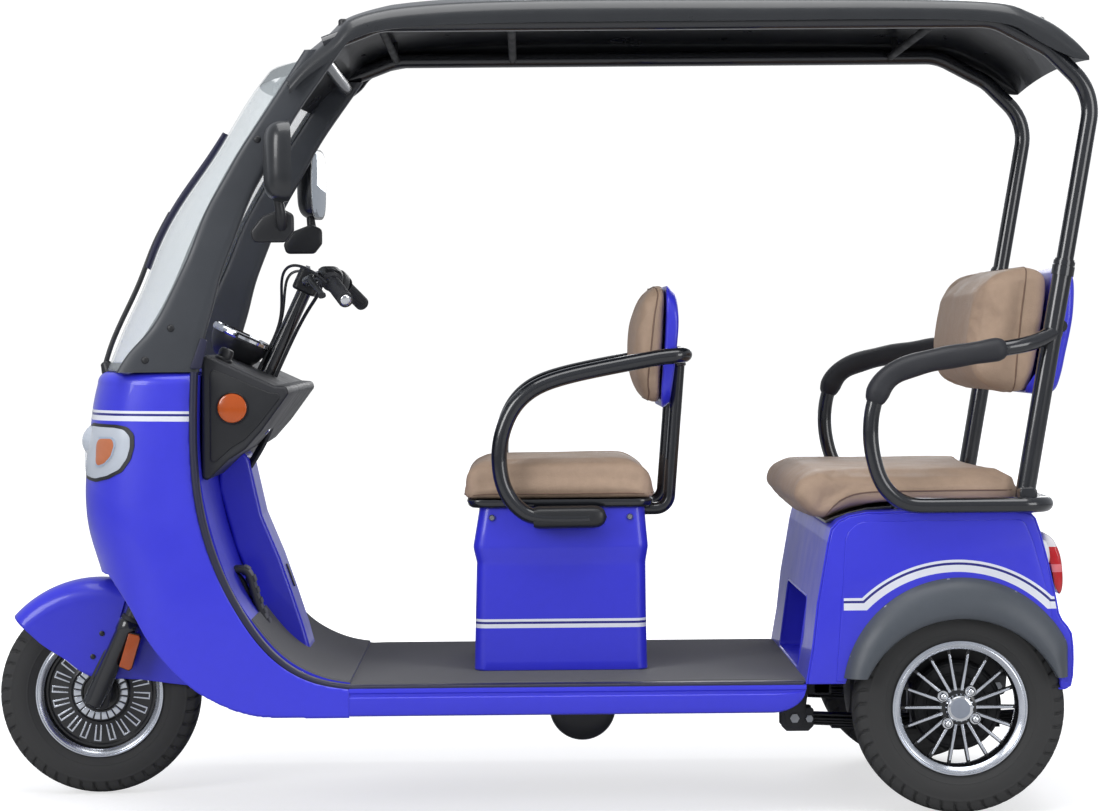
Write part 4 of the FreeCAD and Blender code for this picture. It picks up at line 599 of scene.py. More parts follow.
class Graph:
    """Build one material's nodes in few words."""

    def __init__(self, name: str) -> None:
        """Start a material with a shader and its output.

        Args:
            name: the material's name.
        """
        self.result = bpy.data.materials.new(name)
        self.result.use_nodes = True
        self.tree = self.result.node_tree
        self.tree.nodes.clear()
        self.shader = self.node("ShaderNodeBsdfPrincipled")
        out = self.node("ShaderNodeOutputMaterial")
        self.tree.links.new(self.shader.outputs[0], out.inputs[0])
        self.object = self.node("ShaderNodeTexCoord").outputs["Object"]

    def node(self, kind: str, inputs: dict | None = None, **settings: object) -> bpy.types.Node:
        """Add a node, set its properties, and set or link its inputs.

        Args:
            kind: the node's type name.
            inputs: values or sockets by input name or number.
            **settings: properties of the node.

        Returns:
            The node.
        """
        made = self.tree.nodes.new(kind)
        for name, value in settings.items():
            setattr(made, name, value)
        for name, value in (inputs or {}).items():
            if isinstance(value, bpy.types.NodeSocket):
                self.tree.links.new(value, made.inputs[name])
            else:
                made.inputs[name].default_value = value
        return made

    def math(self, how: str, one: object, two: object = 0.0) -> bpy.types.NodeSocket:
        """Give a sum, product, comparison or other function of two values."""
        return self.node("ShaderNodeMath", {0: one, 1: two}, operation=how).outputs[0]

    def noise(self, scale: float, detail: float = 3, rough: float = 0.5,
              where: object = None) -> bpy.types.NodeSocket:
        """Give a noise value on object coordinates, in cycles a metre."""
        return self.node("ShaderNodeTexNoise", {"Vector": where or self.object, "Scale": scale,
                                                "Detail": detail, "Roughness": rough}).outputs[0]

    def span(self, value: object, low: float, high: float, to_low: float = 0.0,
             to_high: float = 1.0) -> bpy.types.NodeSocket:
        """Map a value's range to another range."""
        return self.node("ShaderNodeMapRange", {0: value, 1: low, 2: high, 3: to_low,
                                                4: to_high}).outputs[0]

    def mixed(self, factor: object, one: object, two: object,
              how: str = "MIX") -> bpy.types.NodeSocket:
        """Mix two colours by a factor."""
        return self.node("ShaderNodeMix", {0: factor, 6: one, 7: two}, data_type="RGBA",
                         blend_type=how).outputs[2]

    def axes(self) -> tuple[bpy.types.NodeSocket, ...]:
        """Give the object coordinates' x, y and z."""
        parts = self.node("ShaderNodeSeparateXYZ", {0: self.object})
        return parts.outputs[0], parts.outputs[1], parts.outputs[2]

    def bump(self, height: object, strength: float, distance: float,
             before: object = None) -> bpy.types.NodeSocket:
        """Give a bumped normal from a height.

        Args:
            height: the socket that gives the height.
            strength: how much of the tilt is kept, 0 to 1.
            distance: the height's full size in metres.
            before: a normal to add to, or None.

        Returns:
            The normal.
        """
        inputs = {"Height": height, "Strength": strength, "Distance": distance}
        if before is not None:
            inputs["Normal"] = before
        return self.node("ShaderNodeBump", inputs).outputs[0]

    def use(self, name: str, value: object) -> None:
        """Set or link one of the shader's own inputs.

        Args:
            name: the input's name.
            value: a socket or a plain value.
        """
        if isinstance(value, bpy.types.NodeSocket):
            self.tree.links.new(value, self.shader.inputs[name])
        else:
            self.shader.inputs[name].default_value = value

    def band(self, distance: object, low: float, high: float) -> bpy.types.NodeSocket:
        """Give 1 where a distance in metres lies between two limits given in millimetres.

        Args:
            distance: the socket that gives the distance.
            low: the near limit in millimetres.
            high: the far limit in millimetres.

        Returns:
            The value, 0 or 1.
        """
        above = self.math("GREATER_THAN", distance, low * MM)
        below = self.math("LESS_THAN", distance, high * MM)
        return self.math("MULTIPLY", above, below)


@dataclass(frozen=True)
class Finish:
    """One surface finish: its colour, its gloss and its grain."""

    name: str
    colour: tuple[float, float, float, float]
    roughness: float
    grain: Grain = Grain.MOULDED
    metallic: float = 0.0
    coat: float = 0.0
    vary: float = 0.06
    specular: float = 0.5

    def material(self) -> bpy.types.Material:
        """Give the finish's material, built once."""
        return bpy.data.materials.get(self.name) or self.build()

    def build(self) -> bpy.types.Material:
        """Build the material: colour drift, uneven gloss and a bump of its grain.

        Returns:
            The new material.
        """
        graph = Graph(self.name)
        self.base(graph)
        self.surface(graph)
        return graph.result

    def paint(self, graph: Graph) -> object:
        """Give the colour before wear and dust; plain here."""
        return self.colour

    def base(self, graph: Graph) -> None:
        """Drive the base colour: the paint, lightened and darkened by broad and fine noise.

        Args:
            graph: the material being built.
        """
        broad = graph.span(graph.noise(3.5, 4), 0.3, 0.7, 1 - self.vary, 1 + self.vary)
        fine = graph.span(graph.noise(60, 3), 0.3, 0.7, 1 - self.vary / 2, 1 + self.vary / 2)
        tone = graph.math("MULTIPLY", broad, fine)
        grey = graph.node("ShaderNodeCombineColor", {0: tone, 1: tone, 2: tone}).outputs[0]
        graph.use("Base Color", graph.mixed(1.0, self.paint(graph), grey, "MULTIPLY"))

    def surface(self, graph: Graph) -> None:
        """Set gloss, coat and the bump of the grain.

        Args:
            graph: the material being built.
        """
        graph.use("Metallic", self.metallic)
        graph.use("Specular IOR Level", self.specular)
        graph.use("Coat Weight", self.coat)
        graph.use("Coat Roughness", 0.04)
        patches = graph.noise(14, 5)
        graph.use("Roughness", graph.span(patches, 0.3, 0.7, self.roughness * 0.85,
                                          min(1.0, self.roughness * 1.15)))
        graph.use("Normal", self.relief(graph))

    def relief(self, graph: Graph) -> bpy.types.NodeSocket:
        """Give the grain's bumped normal.

        Args:
            graph: the material being built.

        Returns:
            The normal.
        """
        if self.grain is Grain.LACQUER:
            return graph.bump(graph.noise(45, 2), 0.05, 0.002)
        if self.grain is Grain.LEATHER:
            cells = graph.node("ShaderNodeTexVoronoi", {"Vector": graph.object, "Scale": 520.0},
                               feature="DISTANCE_TO_EDGE").outputs[0]
            pebble = graph.bump(graph.span(cells, 0.0, 0.28), 0.32, 0.0012)
            creases = graph.math("ABSOLUTE", graph.math("SUBTRACT", graph.noise(17, 5, 0.6), 0.5))
            return graph.bump(graph.span(creases, 0.0, 0.06), 0.16, 0.002, pebble)
        if self.grain is Grain.RUBBER:
            return graph.bump(graph.noise(420, 4, 0.7), 0.25, 0.001)
        if self.grain is Grain.BRUSHED:
            return graph.bump(graph.noise(900, 2), 0.06, 0.0005)
        if self.grain is Grain.CAST:
            return graph.bump(graph.noise(260, 5, 0.7), 0.5, 0.0015)
        stipple = graph.node("ShaderNodeTexVoronoi", {"Vector": graph.object, "Scale": 900.0})
        under = graph.bump(graph.noise(30), 0.05, 0.002)
        return graph.bump(stipple.outputs[0], 0.10, 0.0006, under)


@dataclass(frozen=True)
class StripedPaint(Finish):
    """Body lacquer with a thin and a thick silver stripe; their limits are in millimetres."""

    kind: str = "level"
    level: float = 0.0
    thin: tuple = (-5.5, 0)
    low: float = -19
    high: float = -10.5
    slope: tuple = (0.95, -0.012)
    hub: tuple = (0.866, 0.240)
    arc: float = 0.2845
    foremost: float = 0.634

    def paint(self, graph: Graph) -> object:
        """Give blue with stripes below a level line or below a line that rises over the wheel.

        The distance is z minus the level. On the front body the level falls toward the
        door. Over the wheel the distance is the lesser of that and the distance from the
        wheel arch's circle, so that the arc joins a level end.

        Args:
            graph: the material being built.

        Returns:
            The colour socket.
        """
        x, _, z = graph.axes()
        run = graph.math("SUBTRACT", z, self.level)
        if self.kind == "cowl":
            slope = graph.math("MULTIPLY", graph.math("ADD", x, self.slope[0]), self.slope[1])
            run = graph.math("SUBTRACT", run, slope)
        if self.kind == "arch":
            dx, dz = (graph.math("SUBTRACT", v, c) for v, c in zip((x, z), self.hub))
            away = graph.math("SQRT", graph.math("ADD", graph.math("MULTIPLY", dx, dx),
                                                 graph.math("MULTIPLY", dz, dz)))
            run = graph.math("MINIMUM", run, graph.math("SUBTRACT", away, self.arc))
            run = graph.math("ADD", run, graph.math("LESS_THAN", x, self.foremost))
        thin = graph.band(run, *self.thin)
        thick = graph.band(run, self.low, self.high)
        silver = graph.math("MAXIMUM", thin, thick)
        gap = graph.band(run, self.high, self.thin[0])
        ground = graph.mixed(gap, self.colour, linear(34, 34, 128))
        return graph.mixed(silver, ground, linear(228, 230, 240))


@dataclass(frozen=True)
class Clear(Finish):
    """Clear or tinted plastic and glass."""

    alpha: float = 1.0
    clear: float = 1.0

    def surface(self, graph: Graph) -> None:
        """Let light through the surface, with a faint smear in its gloss.

        Args:
            graph: the material being built.
        """
        graph.use("Transmission Weight", self.clear)
        graph.use("IOR", 1.45)
        graph.use("Alpha", self.alpha)
        graph.use("Roughness", graph.span(graph.noise(9, 4), 0.3, 0.7, self.roughness * 0.6,
                                          self.roughness * 1.4))


BLUE = linear(54, 55, 212)
LACQUERED = {"roughness": 0.34, "grain": Grain.LACQUER, "coat": 0.35, "vary": 0.03,
             "specular": 0.4}
LACQUER = Finish("blue_lacquer", BLUE, **LACQUERED)
COWL_PAINT = StripedPaint("blue_lacquer_cowl_stripes", BLUE, **LACQUERED, kind="cowl",
                          level=0.843, low=-21)
SEAT_PAINT = StripedPaint("blue_lacquer_pedestal_stripes", BLUE, **LACQUERED, kind="level",
                          level=0.389)
ARCH_PAINT = StripedPaint("blue_lacquer_arch_stripes", BLUE, **LACQUERED, kind="arch",
                          level=0.4475, low=-25)
GLOSS_BLACK = Finish("gloss_black_enamel", linear(24, 26, 31), 0.22, Grain.LACQUER, coat=0.7)
SATIN_BLACK = Finish("satin_black_enamel", linear(30, 31, 34), 0.38, Grain.MOULDED)
PILLAR_GREY = Finish("dark_moulded_plastic", linear(57, 60, 65), 0.40, Grain.MOULDED)
ROOF_BLACK = Finish("roof_gloss_plastic", linear(36, 38, 41), 0.32, Grain.LACQUER, coat=0.3)
CONSOLE = Finish("console_plastic", linear(37, 38, 42), 0.50, Grain.MOULDED)
FLARE = Finish("flare_grey_plastic", linear(72, 77, 84), 0.44, Grain.MOULDED)
HIDE = Finish("taupe_leather", linear(173, 148, 127), 0.56, Grain.LEATHER, vary=0.08,
              specular=0.32)
THREAD = Finish("seam_thread", linear(120, 96, 80), 0.7, Grain.RUBBER)
FOAM = Finish("black_foam_grip", linear(36, 37, 42), 0.55, Grain.RUBBER)
MAT = Finish("floor_rubber", linear(72, 74, 78), 0.62, Grain.RUBBER, vary=0.10)
TYRE = Finish("tyre_rubber", linear(30, 31, 34), 0.64, Grain.RUBBER, vary=0.14, specular=0.35)
BRIGHT = Finish("turned_aluminium", linear(212, 216, 224), 0.22, Grain.BRUSHED, metallic=1.0)
CHROME = Finish("chrome", linear(226, 228, 232), 0.07, Grain.LACQUER, metallic=1.0, vary=0.02)
STEEL = Finish("zinc_steel", linear(150, 152, 156), 0.36, Grain.CAST, metallic=1.0, vary=0.12)
IRON = Finish("black_iron", linear(34, 35, 38), 0.58, Grain.CAST, vary=0.18)
RIM_BLACK = Finish("rim_black", linear(22, 23, 26), 0.26, Grain.LACQUER, coat=0.4)
NAVY = Finish("navy_edge_rubber", linear(30, 31, 58), 0.45, Grain.RUBBER)
AMBER = Finish("amber_reflector", linear(182, 78, 8), 0.18, Grain.LACQUER, coat=0.5)
LENS = Clear("clear_lens", linear(238, 243, 250), 0.04, alpha=0.34, clear=0.9)
GLASS = Clear("screen_glass", linear(228, 236, 240), 0.03, alpha=0.32, clear=0.9)
# Black of the roof's cross bars and studs: the hoops' frame black, painted darker as shade under
# the roof; its low gloss keeps reflections off them.
PAINTED_SHADE_BLACK = Finish("bar_black_enamel_painted_shade", linear(20, 21, 23), 0.6, Grain.MOULDED, specular=0.2)
PALE_AMBER = Finish("pale_amber", linear(190, 112, 74), 0.2, Grain.LACQUER, coat=0.4)
CAP_GREY = Finish("cap_grey", linear(134, 140, 152), 0.34, Grain.LACQUER)
BULB = Finish("lamp_reflector", linear(172, 184, 202), 0.24, Grain.LACQUER, metallic=0.25)
WHITE_LENS = Finish("white_lens", linear(226, 226, 232), 0.18, Grain.LACQUER, coat=0.4)
MIRROR = Finish("mirror_glass", linear(200, 206, 212), 0.02, Grain.LACQUER, metallic=1.0)
DIAL = Finish("dial_face", linear(22, 24, 30), 0.35, Grain.LACQUER, coat=0.6)


def ramp(values: Array, low: float, high: float) -> Array:
    """Rise smoothly from 0 at low to 1 at high."""
    t = np.clip((values - low) / (high - low), 0, 1)
    return t * t * (3 - 2 * t)


def spun(centre: Sequence, angle: float) -> Matrix:
    """Give a turn about the Y axis through a centre."""
    middle = Matrix.Translation(Vector(centre))
    return middle @ Matrix.Rotation(angle, 4, "Y") @ middle.inverted()


def turned_at(place: Sequence, degrees: float) -> Matrix:
    """Give a turn about the Y axis through the origin, then a move to a place in metres."""
    return Matrix.Translation(Vector(place)) @ Matrix.Rotation(math.radians(degrees), 4, "Y")


@dataclass
class WheelSizes:
    """Sizes of a wheel in millimetres."""

    groove_depth: float = 4.2
    blocks: int = 44


@dataclass
class Wheel:
    """A tyre with cut tread on a lipped rim; its outer face looks toward outward."""

    label: str
    body: Body
    centre: tuple[float, float, float]
    outward: int
    sizes: WheelSizes = field(default_factory=WheelSizes)

    def build(self) -> None:
        """Make the tyre and the rim."""
        self.tyre()
        self.barrel()
        self.dress()

    def tyre(self) -> None:
        """Make the tyre: a closed section turned about the axle, less its tread grooves.

        The section is a smooth curve from bead to bead. Depth at angle a and width w is a
        waved groove round the middle and slanted side grooves that repeat with a.
        """
        s = self.sizes
        half = np.array([(30.5, 131), (33, 140), (38, 149), (43.5, 163), (45, 178), (44, 192),
                         (41.2, 203), (37, 210.5), (28, 215), (14, 217.4), (0, 218)])
        section = np.vstack([half * (-1, 1), half[-2::-1]])
        line = smooth_curve(section, 110)
        inner = np.array([(24, 127), (8, 125), (-8, 125), (-24, 127)])
        line = np.vstack([line, inner])
        steps = 616
        a = np.linspace(0, 2 * math.pi, steps, endpoint=False)[:, None]
        w, r = line[None, :, 0], line[None, :, 1]
        turn = a * s.blocks / (2 * math.pi)
        wave = 3.2 * np.sin(2 * math.pi * turn / 2)
        middle = 1 - ramp(np.abs(w - wave), 1.6, 3.0)
        slant = (turn + np.abs(w) * 0.022 + 0.5 * (w > 0)) % 1.0
        side = (1 - ramp(np.abs(slant - 0.5), 0.07, 0.14)) * ramp(np.abs(w), 8, 11)
        depth = s.groove_depth * np.maximum(middle, side) * ramp(r, 190, 199)
        slope = unit(np.gradient(line, axis=0))
        ridge = sum(0.9 * (1 - ramp(np.abs(r - ring), 0.8, 1.8)) for ring in (156, 190))
        grown = r - depth * slope[None, :, 0]
        out = w * (1 + ridge / 45) + depth * slope[None, :, 1]
        points = np.stack([grown * np.cos(a), out, grown * np.sin(a)], -1)
        points = points * MM + np.array(self.centre)
        piece = MAKE.grid(f"{self.label}_tyre_tread", points, close_u=True, close_v=True,
                          sharp=38, recalc=True)
        MAKE.place(piece, TYRE, "tyre_rubber", [f"{self.label}_tyre"], body=self.body)

    def barrel(self) -> None:
        """Turn the rim's black barrel and the bright lips on its edges."""
        profile = [(140, 35), (139, 30.5), (131, 29), (126, 18), (123, 0), (126, -18), (131, -29),
                   (139, -30.5), (140, -35), (136, -36), (128, -32), (121.5, -18), (119, 0),
                   (121.5, 18), (128, 32), (136, 36)]
        piece = MAKE.lathe(f"{self.label}_barrel", profile, self.centre, 128)
        MAKE.place(piece, RIM_BLACK, "rim_metal", body=self.body)
        lip = [(138.6, 32.5), (139.4, 35), (138.2, 37.6), (135.3, 38), (134.2, 36.4), (133, 36.3),
               (131.6, 37), (126.6, 34.4), (121.8, 29.6), (123, 28.8), (134, 32.4)]
        lips = [MAKE.lathe("lip", lip, self.centre, 160, outward=way) for way in (1, -1)]
        MAKE.fit(f"{self.label}_lips", lips, BRIGHT, "rim_metal", body=self.body)

    def dress(self) -> None:
        """Fill the rim; each kind of wheel has its own."""

    def face(self, name: str, outline: Array, low: float, high: float, bevel: float,
             way: int) -> Piece:
        """Make a flat piece on the wheel from a side outline.

        Args:
            name: the piece's name.
            outline: (x, z) about the axle in millimetres.
            low: its near offset along the axle in millimetres.
            high: its far offset.
            bevel: its edge radius in millimetres.
            way: 1 or -1, the side of the wheel that it is on.

        Returns:
            The new piece.
        """
        cx, cy, cz = self.centre
        flat = mm(outline) + np.array([cx, cz])
        return MAKE.prism(name, flat, cy + way * low * MM, cy + way * high * MM, bevel * MM)

    def ringed(self, name: str, part: Piece, count: int, start: float = 0.0) -> Piece:
        """Repeat a piece evenly round the axle."""
        turns = [spun(self.centre, start + 2 * math.pi * k / count) for k in range(count)]
        return MAKE.copies(name, part, turns)


@dataclass
class SpokedWheel(Wheel):
    """A driven wheel: thin bright-edged spokes over a dark drum, chrome cap and nuts."""

    spokes: int = 18

    def dress(self) -> None:
        """Add spokes, hub, cap, nuts and drum."""
        way = self.outward
        bar = np.array([(34, -4.4), (122, -3.4), (122, 3.4), (34, 4.4)])
        web = self.ringed(f"{self.label}_spokes", self.face("bar", bar, 4, 17, 1.2, way),
                          self.spokes)
        MAKE.place(web, RIM_BLACK, "rim_metal", body=self.body)
        edge = np.array([(34, -3.0), (110, -2.3), (112.5, 0), (110, 2.3), (34, 3.0)])
        bright = self.ringed(f"{self.label}_spoke_faces", self.face("edge", edge, 16, 20, 0.9, way),
                             self.spokes)
        MAKE.place(bright, BRIGHT, "rim_metal", body=self.body)
        hub = [(9.5, 2), (41, 2), (42, 6), (42, 14), (39, 18), (34, 21), (28, 22), (9.5, 22)]
        piece = MAKE.lathe(f"{self.label}_hub", hub, self.centre, 96, way)
        MAKE.place(piece, RIM_BLACK, "rim_metal", body=self.body)
        cap = [(0.5, 41.5), (19, 41), (23, 39.5), (24, 37.5), (26, 37.5), (28.5, 34), (29.5, 27),
               (30, 21), (0.5, 21)]
        piece = MAKE.lathe(f"{self.label}_cap", cap, self.centre, 64, way)
        MAKE.place(piece, CHROME, "bright_steel", body=self.body)
        plug = [(0.4, 42.3), (17, 42.1), (20.4, 41.4), (20.4, 40.2), (0.4, 40.2)]
        piece = MAKE.lathe(f"{self.label}_cap_face", plug, self.centre, 48, way)
        MAKE.place(piece, CAP_GREY, "bright_steel", body=self.body)
        self.nuts()
        self.drum()

    def nuts(self) -> None:
        """Add four domed chrome nuts round the cap, each on a washer."""
        cx, cy, cz = self.centre
        place = (cx + 0.0405, cy, cz)
        way = self.outward
        six = circle(6) * (9.2, 9.2) + (40.5, 0)
        washer = [(5, 21), (10.8, 21), (10.8, 23), (5, 23)]
        dome = [(0.3, 36.5), (4, 36), (7, 33.6), (8.2, 30), (8.2, 29), (0.3, 29)]
        parts = [self.face("six", six, 22.5, 31, 0.9, way),
                 MAKE.lathe("washer", washer, place, 24, way),
                 MAKE.lathe("dome", dome, place, 24, way)]
        nut = MAKE.joined("nut", parts)
        boss = MAKE.lathe("boss", [(5, 2), (13, 2), (13, 19.6), (11.6, 21), (5, 21)], place, 32,
                          way)
        MAKE.place(self.ringed(f"{self.label}_bosses", boss, 4, 0.62), RIM_BLACK, "rim_metal",
                   body=self.body)
        MAKE.place(self.ringed(f"{self.label}_nuts", nut, 4, 0.62), CHROME, "bright_steel",
                   body=self.body)

    def drum(self) -> None:
        """Turn the ribbed brake drum seen between the spokes."""
        profile = [(20, -14), (62, -14), (64, -12), (67, -12), (69, -14), (83, -15), (85, -13),
                   (88, -13), (90, -16), (93, -19), (94, -30), (94, -44), (20, -44)]
        piece = MAKE.lathe(f"{self.label}_drum", profile, self.centre, 96, self.outward)
        MAKE.place(piece, IRON, "running_gear", [f"{self.label}_rim"], body=self.body)


@dataclass
class BarredWheel(Wheel):
    """The steered wheel: black discs with rings of bright bars on both faces."""

    pairs: int = 20

    def dress(self) -> None:
        """Add the disc, U-shaped bars, inner segments, hub ribs and seals."""
        disc = [(12, 13), (38, 13), (40, 16), (61, 16), (64, 12.5), (67, 11), (111, 11),
                (115, 13.5), (119.5, 13.5), (121.5, 11), (121.5, 0)]
        profile = disc + [(r, -w) for r, w in disc[-2::-1]]
        piece = MAKE.lathe(f"{self.label}_disc", profile, self.centre, 160)
        MAKE.place(piece, RIM_BLACK, "rim_metal", [f"{self.label}_rim"], body=self.body)
        bright = []
        for way in (1, -1):
            bright += [self.bars(way), self.segments(way)]
        MAKE.fit(f"{self.label}_bars", bright, BRIGHT, "rim_metal", body=self.body)
        collar = [(12, 13), (27, 13), (29, 15), (29, 24), (26, 27), (26, 44), (23, 46), (12, 46)]
        hubs = [MAKE.lathe("collar", collar, self.centre, 64, way) for way in (1, -1)]
        MAKE.fit(f"{self.label}_hub", hubs, IRON, "running_gear", body=self.body)
        seal = [(11.5, 44), (21, 44), (21, 47), (18, 48), (11.5, 48)]
        seals = [MAKE.lathe("seal", seal, self.centre, 40, way) for way in (1, -1)]
        MAKE.fit(f"{self.label}_seals", seals, STEEL, "bright_steel", body=self.body)

    def bars(self, way: int) -> Piece:
        """Make one face's ring of U-shaped bars, open toward the hub.

        Args:
            way: the face's side along the axle, 1 or -1.

        Returns:
            The new piece.
        """
        step = math.pi / self.pairs
        inner, outer, half = 71.0, 107.5, 2.3
        near, far = inner * math.tan(step / 2) * 0.92, outer * math.tan(step / 2) * 0.72
        legs = []
        for side in (1, -1):
            leg = np.array([(inner, side * near - half * 0.7), (outer, side * far - half),
                            (outer, side * far + half), (inner, side * near + half * 0.7)])
            legs.append(self.face("leg", leg, 10.6, 13.2, 0.7, way))
        link = np.array([(outer - 3.2, -far), (outer, -far), (outer, far), (outer - 3.2, far)])
        legs.append(self.face("link", link, 10.6, 13.0, 0.6, way))
        return self.ringed("bar_ring", MAKE.joined("pair", legs), self.pairs, step / 2)

    def segments(self, way: int) -> Piece:
        """Make one face's inner ring of bright blocks.

        Args:
            way: the face's side along the axle, 1 or -1.

        Returns:
            The new piece.
        """
        count = 22
        reach = math.pi / count * 0.80
        a = np.linspace(-reach, reach, 5)
        low, high = 42.5, 59.0
        arc = np.column_stack([np.cos(a), np.sin(a)])
        block = np.vstack([arc * low, arc[::-1] * high])
        return self.ringed("blocks", self.face("block", block, 15.6, 18, 0.8, way), count)


RAKE = math.radians(25)
STEER_FOOT = np.array([-0.907841, 0.0, 0.200673])
FRONT_HUB = (-0.945, 0.0, 0.218)
REAR_HUB = (0.873, 0.382, 0.218)


def steer(points: Sequence) -> Array:
    """Set (across, side, along) millimetres of the steering axis into the world.

    World = foot + across * (cos r, 0, -sin r) + side * y + along * (sin r, 0, cos r).

    Args:
        points: rows of (across, side, along).

    Returns:
        Points in metres.
    """
    p = mm(points).reshape(-1, 3)
    c, s = math.cos(RAKE), math.sin(RAKE)
    return STEER_FOOT + np.column_stack([p[:, 0] * c + p[:, 2] * s, p[:, 1],
                                         p[:, 2] * c - p[:, 0] * s])


STEER_MATRIX = Matrix.Translation(Vector(STEER_FOOT)) @ Matrix.Rotation(RAKE, 4, "Y")


def moved(piece: Piece, matrix: Matrix) -> Piece:
    """Move a piece's own points by a matrix."""
    piece.data.transform(matrix)
    return piece


@dataclass
class Fork:
    """Fork legs with sliders, dropouts, crown, stem, axle and reflectors."""

    leg_y: float = 88
    leg_across: float = -41

    def build(self) -> None:
        """Make the fork's parts."""
        legs, seals = [], []
        for y in (-self.leg_y, self.leg_y):
            legs.append(MAKE.tube("leg", steer([(self.leg_across, y, 150),
                                                (self.leg_across, y, 330)]), 0.018, sides=40))
            profile = [(0.5, -22), (14, -22), (20, -18), (21.5, -8), (21.5, 150), (23.5, 154),
                       (23.5, 176), (20.5, 181), (0.5, 181)]
            slider = MAKE.lathe("slider", profile, (0, 0, 0), 48, axis="z")
            moved(slider, Matrix.Translation((self.leg_across / 1000, y / 1000, 0)))
            legs.append(moved(slider, STEER_MATRIX))
            boot = MAKE.lathe("boot", [(18.4, 181), (22, 181), (22, 186), (20, 190), (18.4, 190)],
                              (0, 0, 0), 40, axis="z")
            moved(boot, Matrix.Translation((self.leg_across / 1000, y / 1000, 0)))
            seals.append(moved(boot, STEER_MATRIX))
        MAKE.fit("fork_legs", legs, GLOSS_BLACK, "frame_paint", ["fork"], body=Body.STEERING)
        MAKE.fit("fork_seals", seals, FOAM, "soft_black", body=Body.STEERING)
        self.crown()
        self.ends()
        self.reflectors()

    def crown(self) -> None:
        """Make the crown plate, its clamp bolts and the stem."""
        outline = mm([(-64, -118), (-20, -120), (2, -60), (30, -32), (34, 0), (30, 32), (2, 60),
                      (-20, 120), (-64, 118), (-66, 60), (-52, 0), (-66, -60)])
        plate = MAKE.prism("fork_crown", rounded_path(outline, 0.010, True, 4), 0.322, 0.352,
                           0.005, axis="z")
        moved(plate, STEER_MATRIX)
        MAKE.place(plate, SATIN_BLACK, "frame_paint", body=Body.STEERING)
        stem = MAKE.tube("steering_stem", steer([(0, 0, 352), (0, 0, 985)]), 0.016, sides=40)
        MAKE.place(stem, GLOSS_BLACK, "frame_paint", body=Body.STEERING)
        profile = [(0.5, 0), (6, 0), (6, 3), (5.2, 7), (0.5, 7)]
        bolts = []
        for y in (-104, -72, 72, 104):
            bolt = MAKE.lathe("bolt", profile, (0, 0, 0), 16, axis="z")
            moved(bolt, Matrix.Translation((-0.048, y / 1000, 0.351)))
            bolts.append(moved(bolt, STEER_MATRIX))
        MAKE.fit("crown_bolts", bolts, STEEL, "bright_steel", body=Body.STEERING)

    def ends(self) -> None:
        """Make the axle, its dropout plates and nuts."""
        x, _, z = FRONT_HUB
        parts = []
        for way in (1, -1):
            outline = rounded_path(mm([(-30, -26), (24, -30), (34, 30), (52, 96), (20, 104),
                                       (-16, 34)]), 0.012, True, 5) + np.array([x, z])
            parts.append(MAKE.prism("dropout", outline, way * 0.066, way * 0.078, 0.003))
        MAKE.fit("fork_dropouts", parts, SATIN_BLACK, "frame_paint", body=Body.STEERING)
        nuts = []
        for way in (1, -1):
            six = circle(6) * 0.0115 + np.array([x, z])
            nuts.append(MAKE.prism("nut", six, way * 0.0785, way * 0.090, 0.0012))
            nuts.append(MAKE.lathe("washer", [(7, 78), (15, 78), (15, 80.5), (7, 80.5)], FRONT_HUB,
                                   32, way))
            nuts.append(MAKE.lathe("end", [(0.3, 97), (4, 97), (6.6, 95), (6.9, 89), (0.3, 89)],
                                   FRONT_HUB, 24, way))
        axle = MAKE.lathe("axle", [(0.3, -80), (6.9, -80), (6.9, 80), (0.3, 80)], FRONT_HUB, 32)
        MAKE.fit("front_axle_nuts", nuts + [axle], CHROME, "bright_steel", ["front_axle"],
                 body=Body.STEERING)

    def reflectors(self) -> None:
        """Make the amber reflectors behind the legs, each in a dark tray."""
        ambers, trays = [], []
        for way in (1, -1):
            face = rounded_path(mm([(-13, -37), (9, -39), (14, -33), (14, 33), (9, 39), (-13, 37)]),
                                0.002, True, 3)
            amber = MAKE.prism("amber", face, way * 0.108, way * 0.1145, 0.0015)
            tray = MAKE.prism("tray", face * 1.06, way * 0.098, way * 0.1085, 0.0015)
            turn = turned_at((-0.868, 0, 0.317), 17)
            ambers.append(moved(amber, turn))
            trays.append(moved(tray, turn))
        MAKE.fit("fork_reflector_faces", ambers, AMBER, "amber_lens", ["fork_reflectors"],
                 body=Body.STEERING)
        MAKE.fit("fork_reflector_trays", trays, SATIN_BLACK, "dark_plastic", body=Body.STEERING)


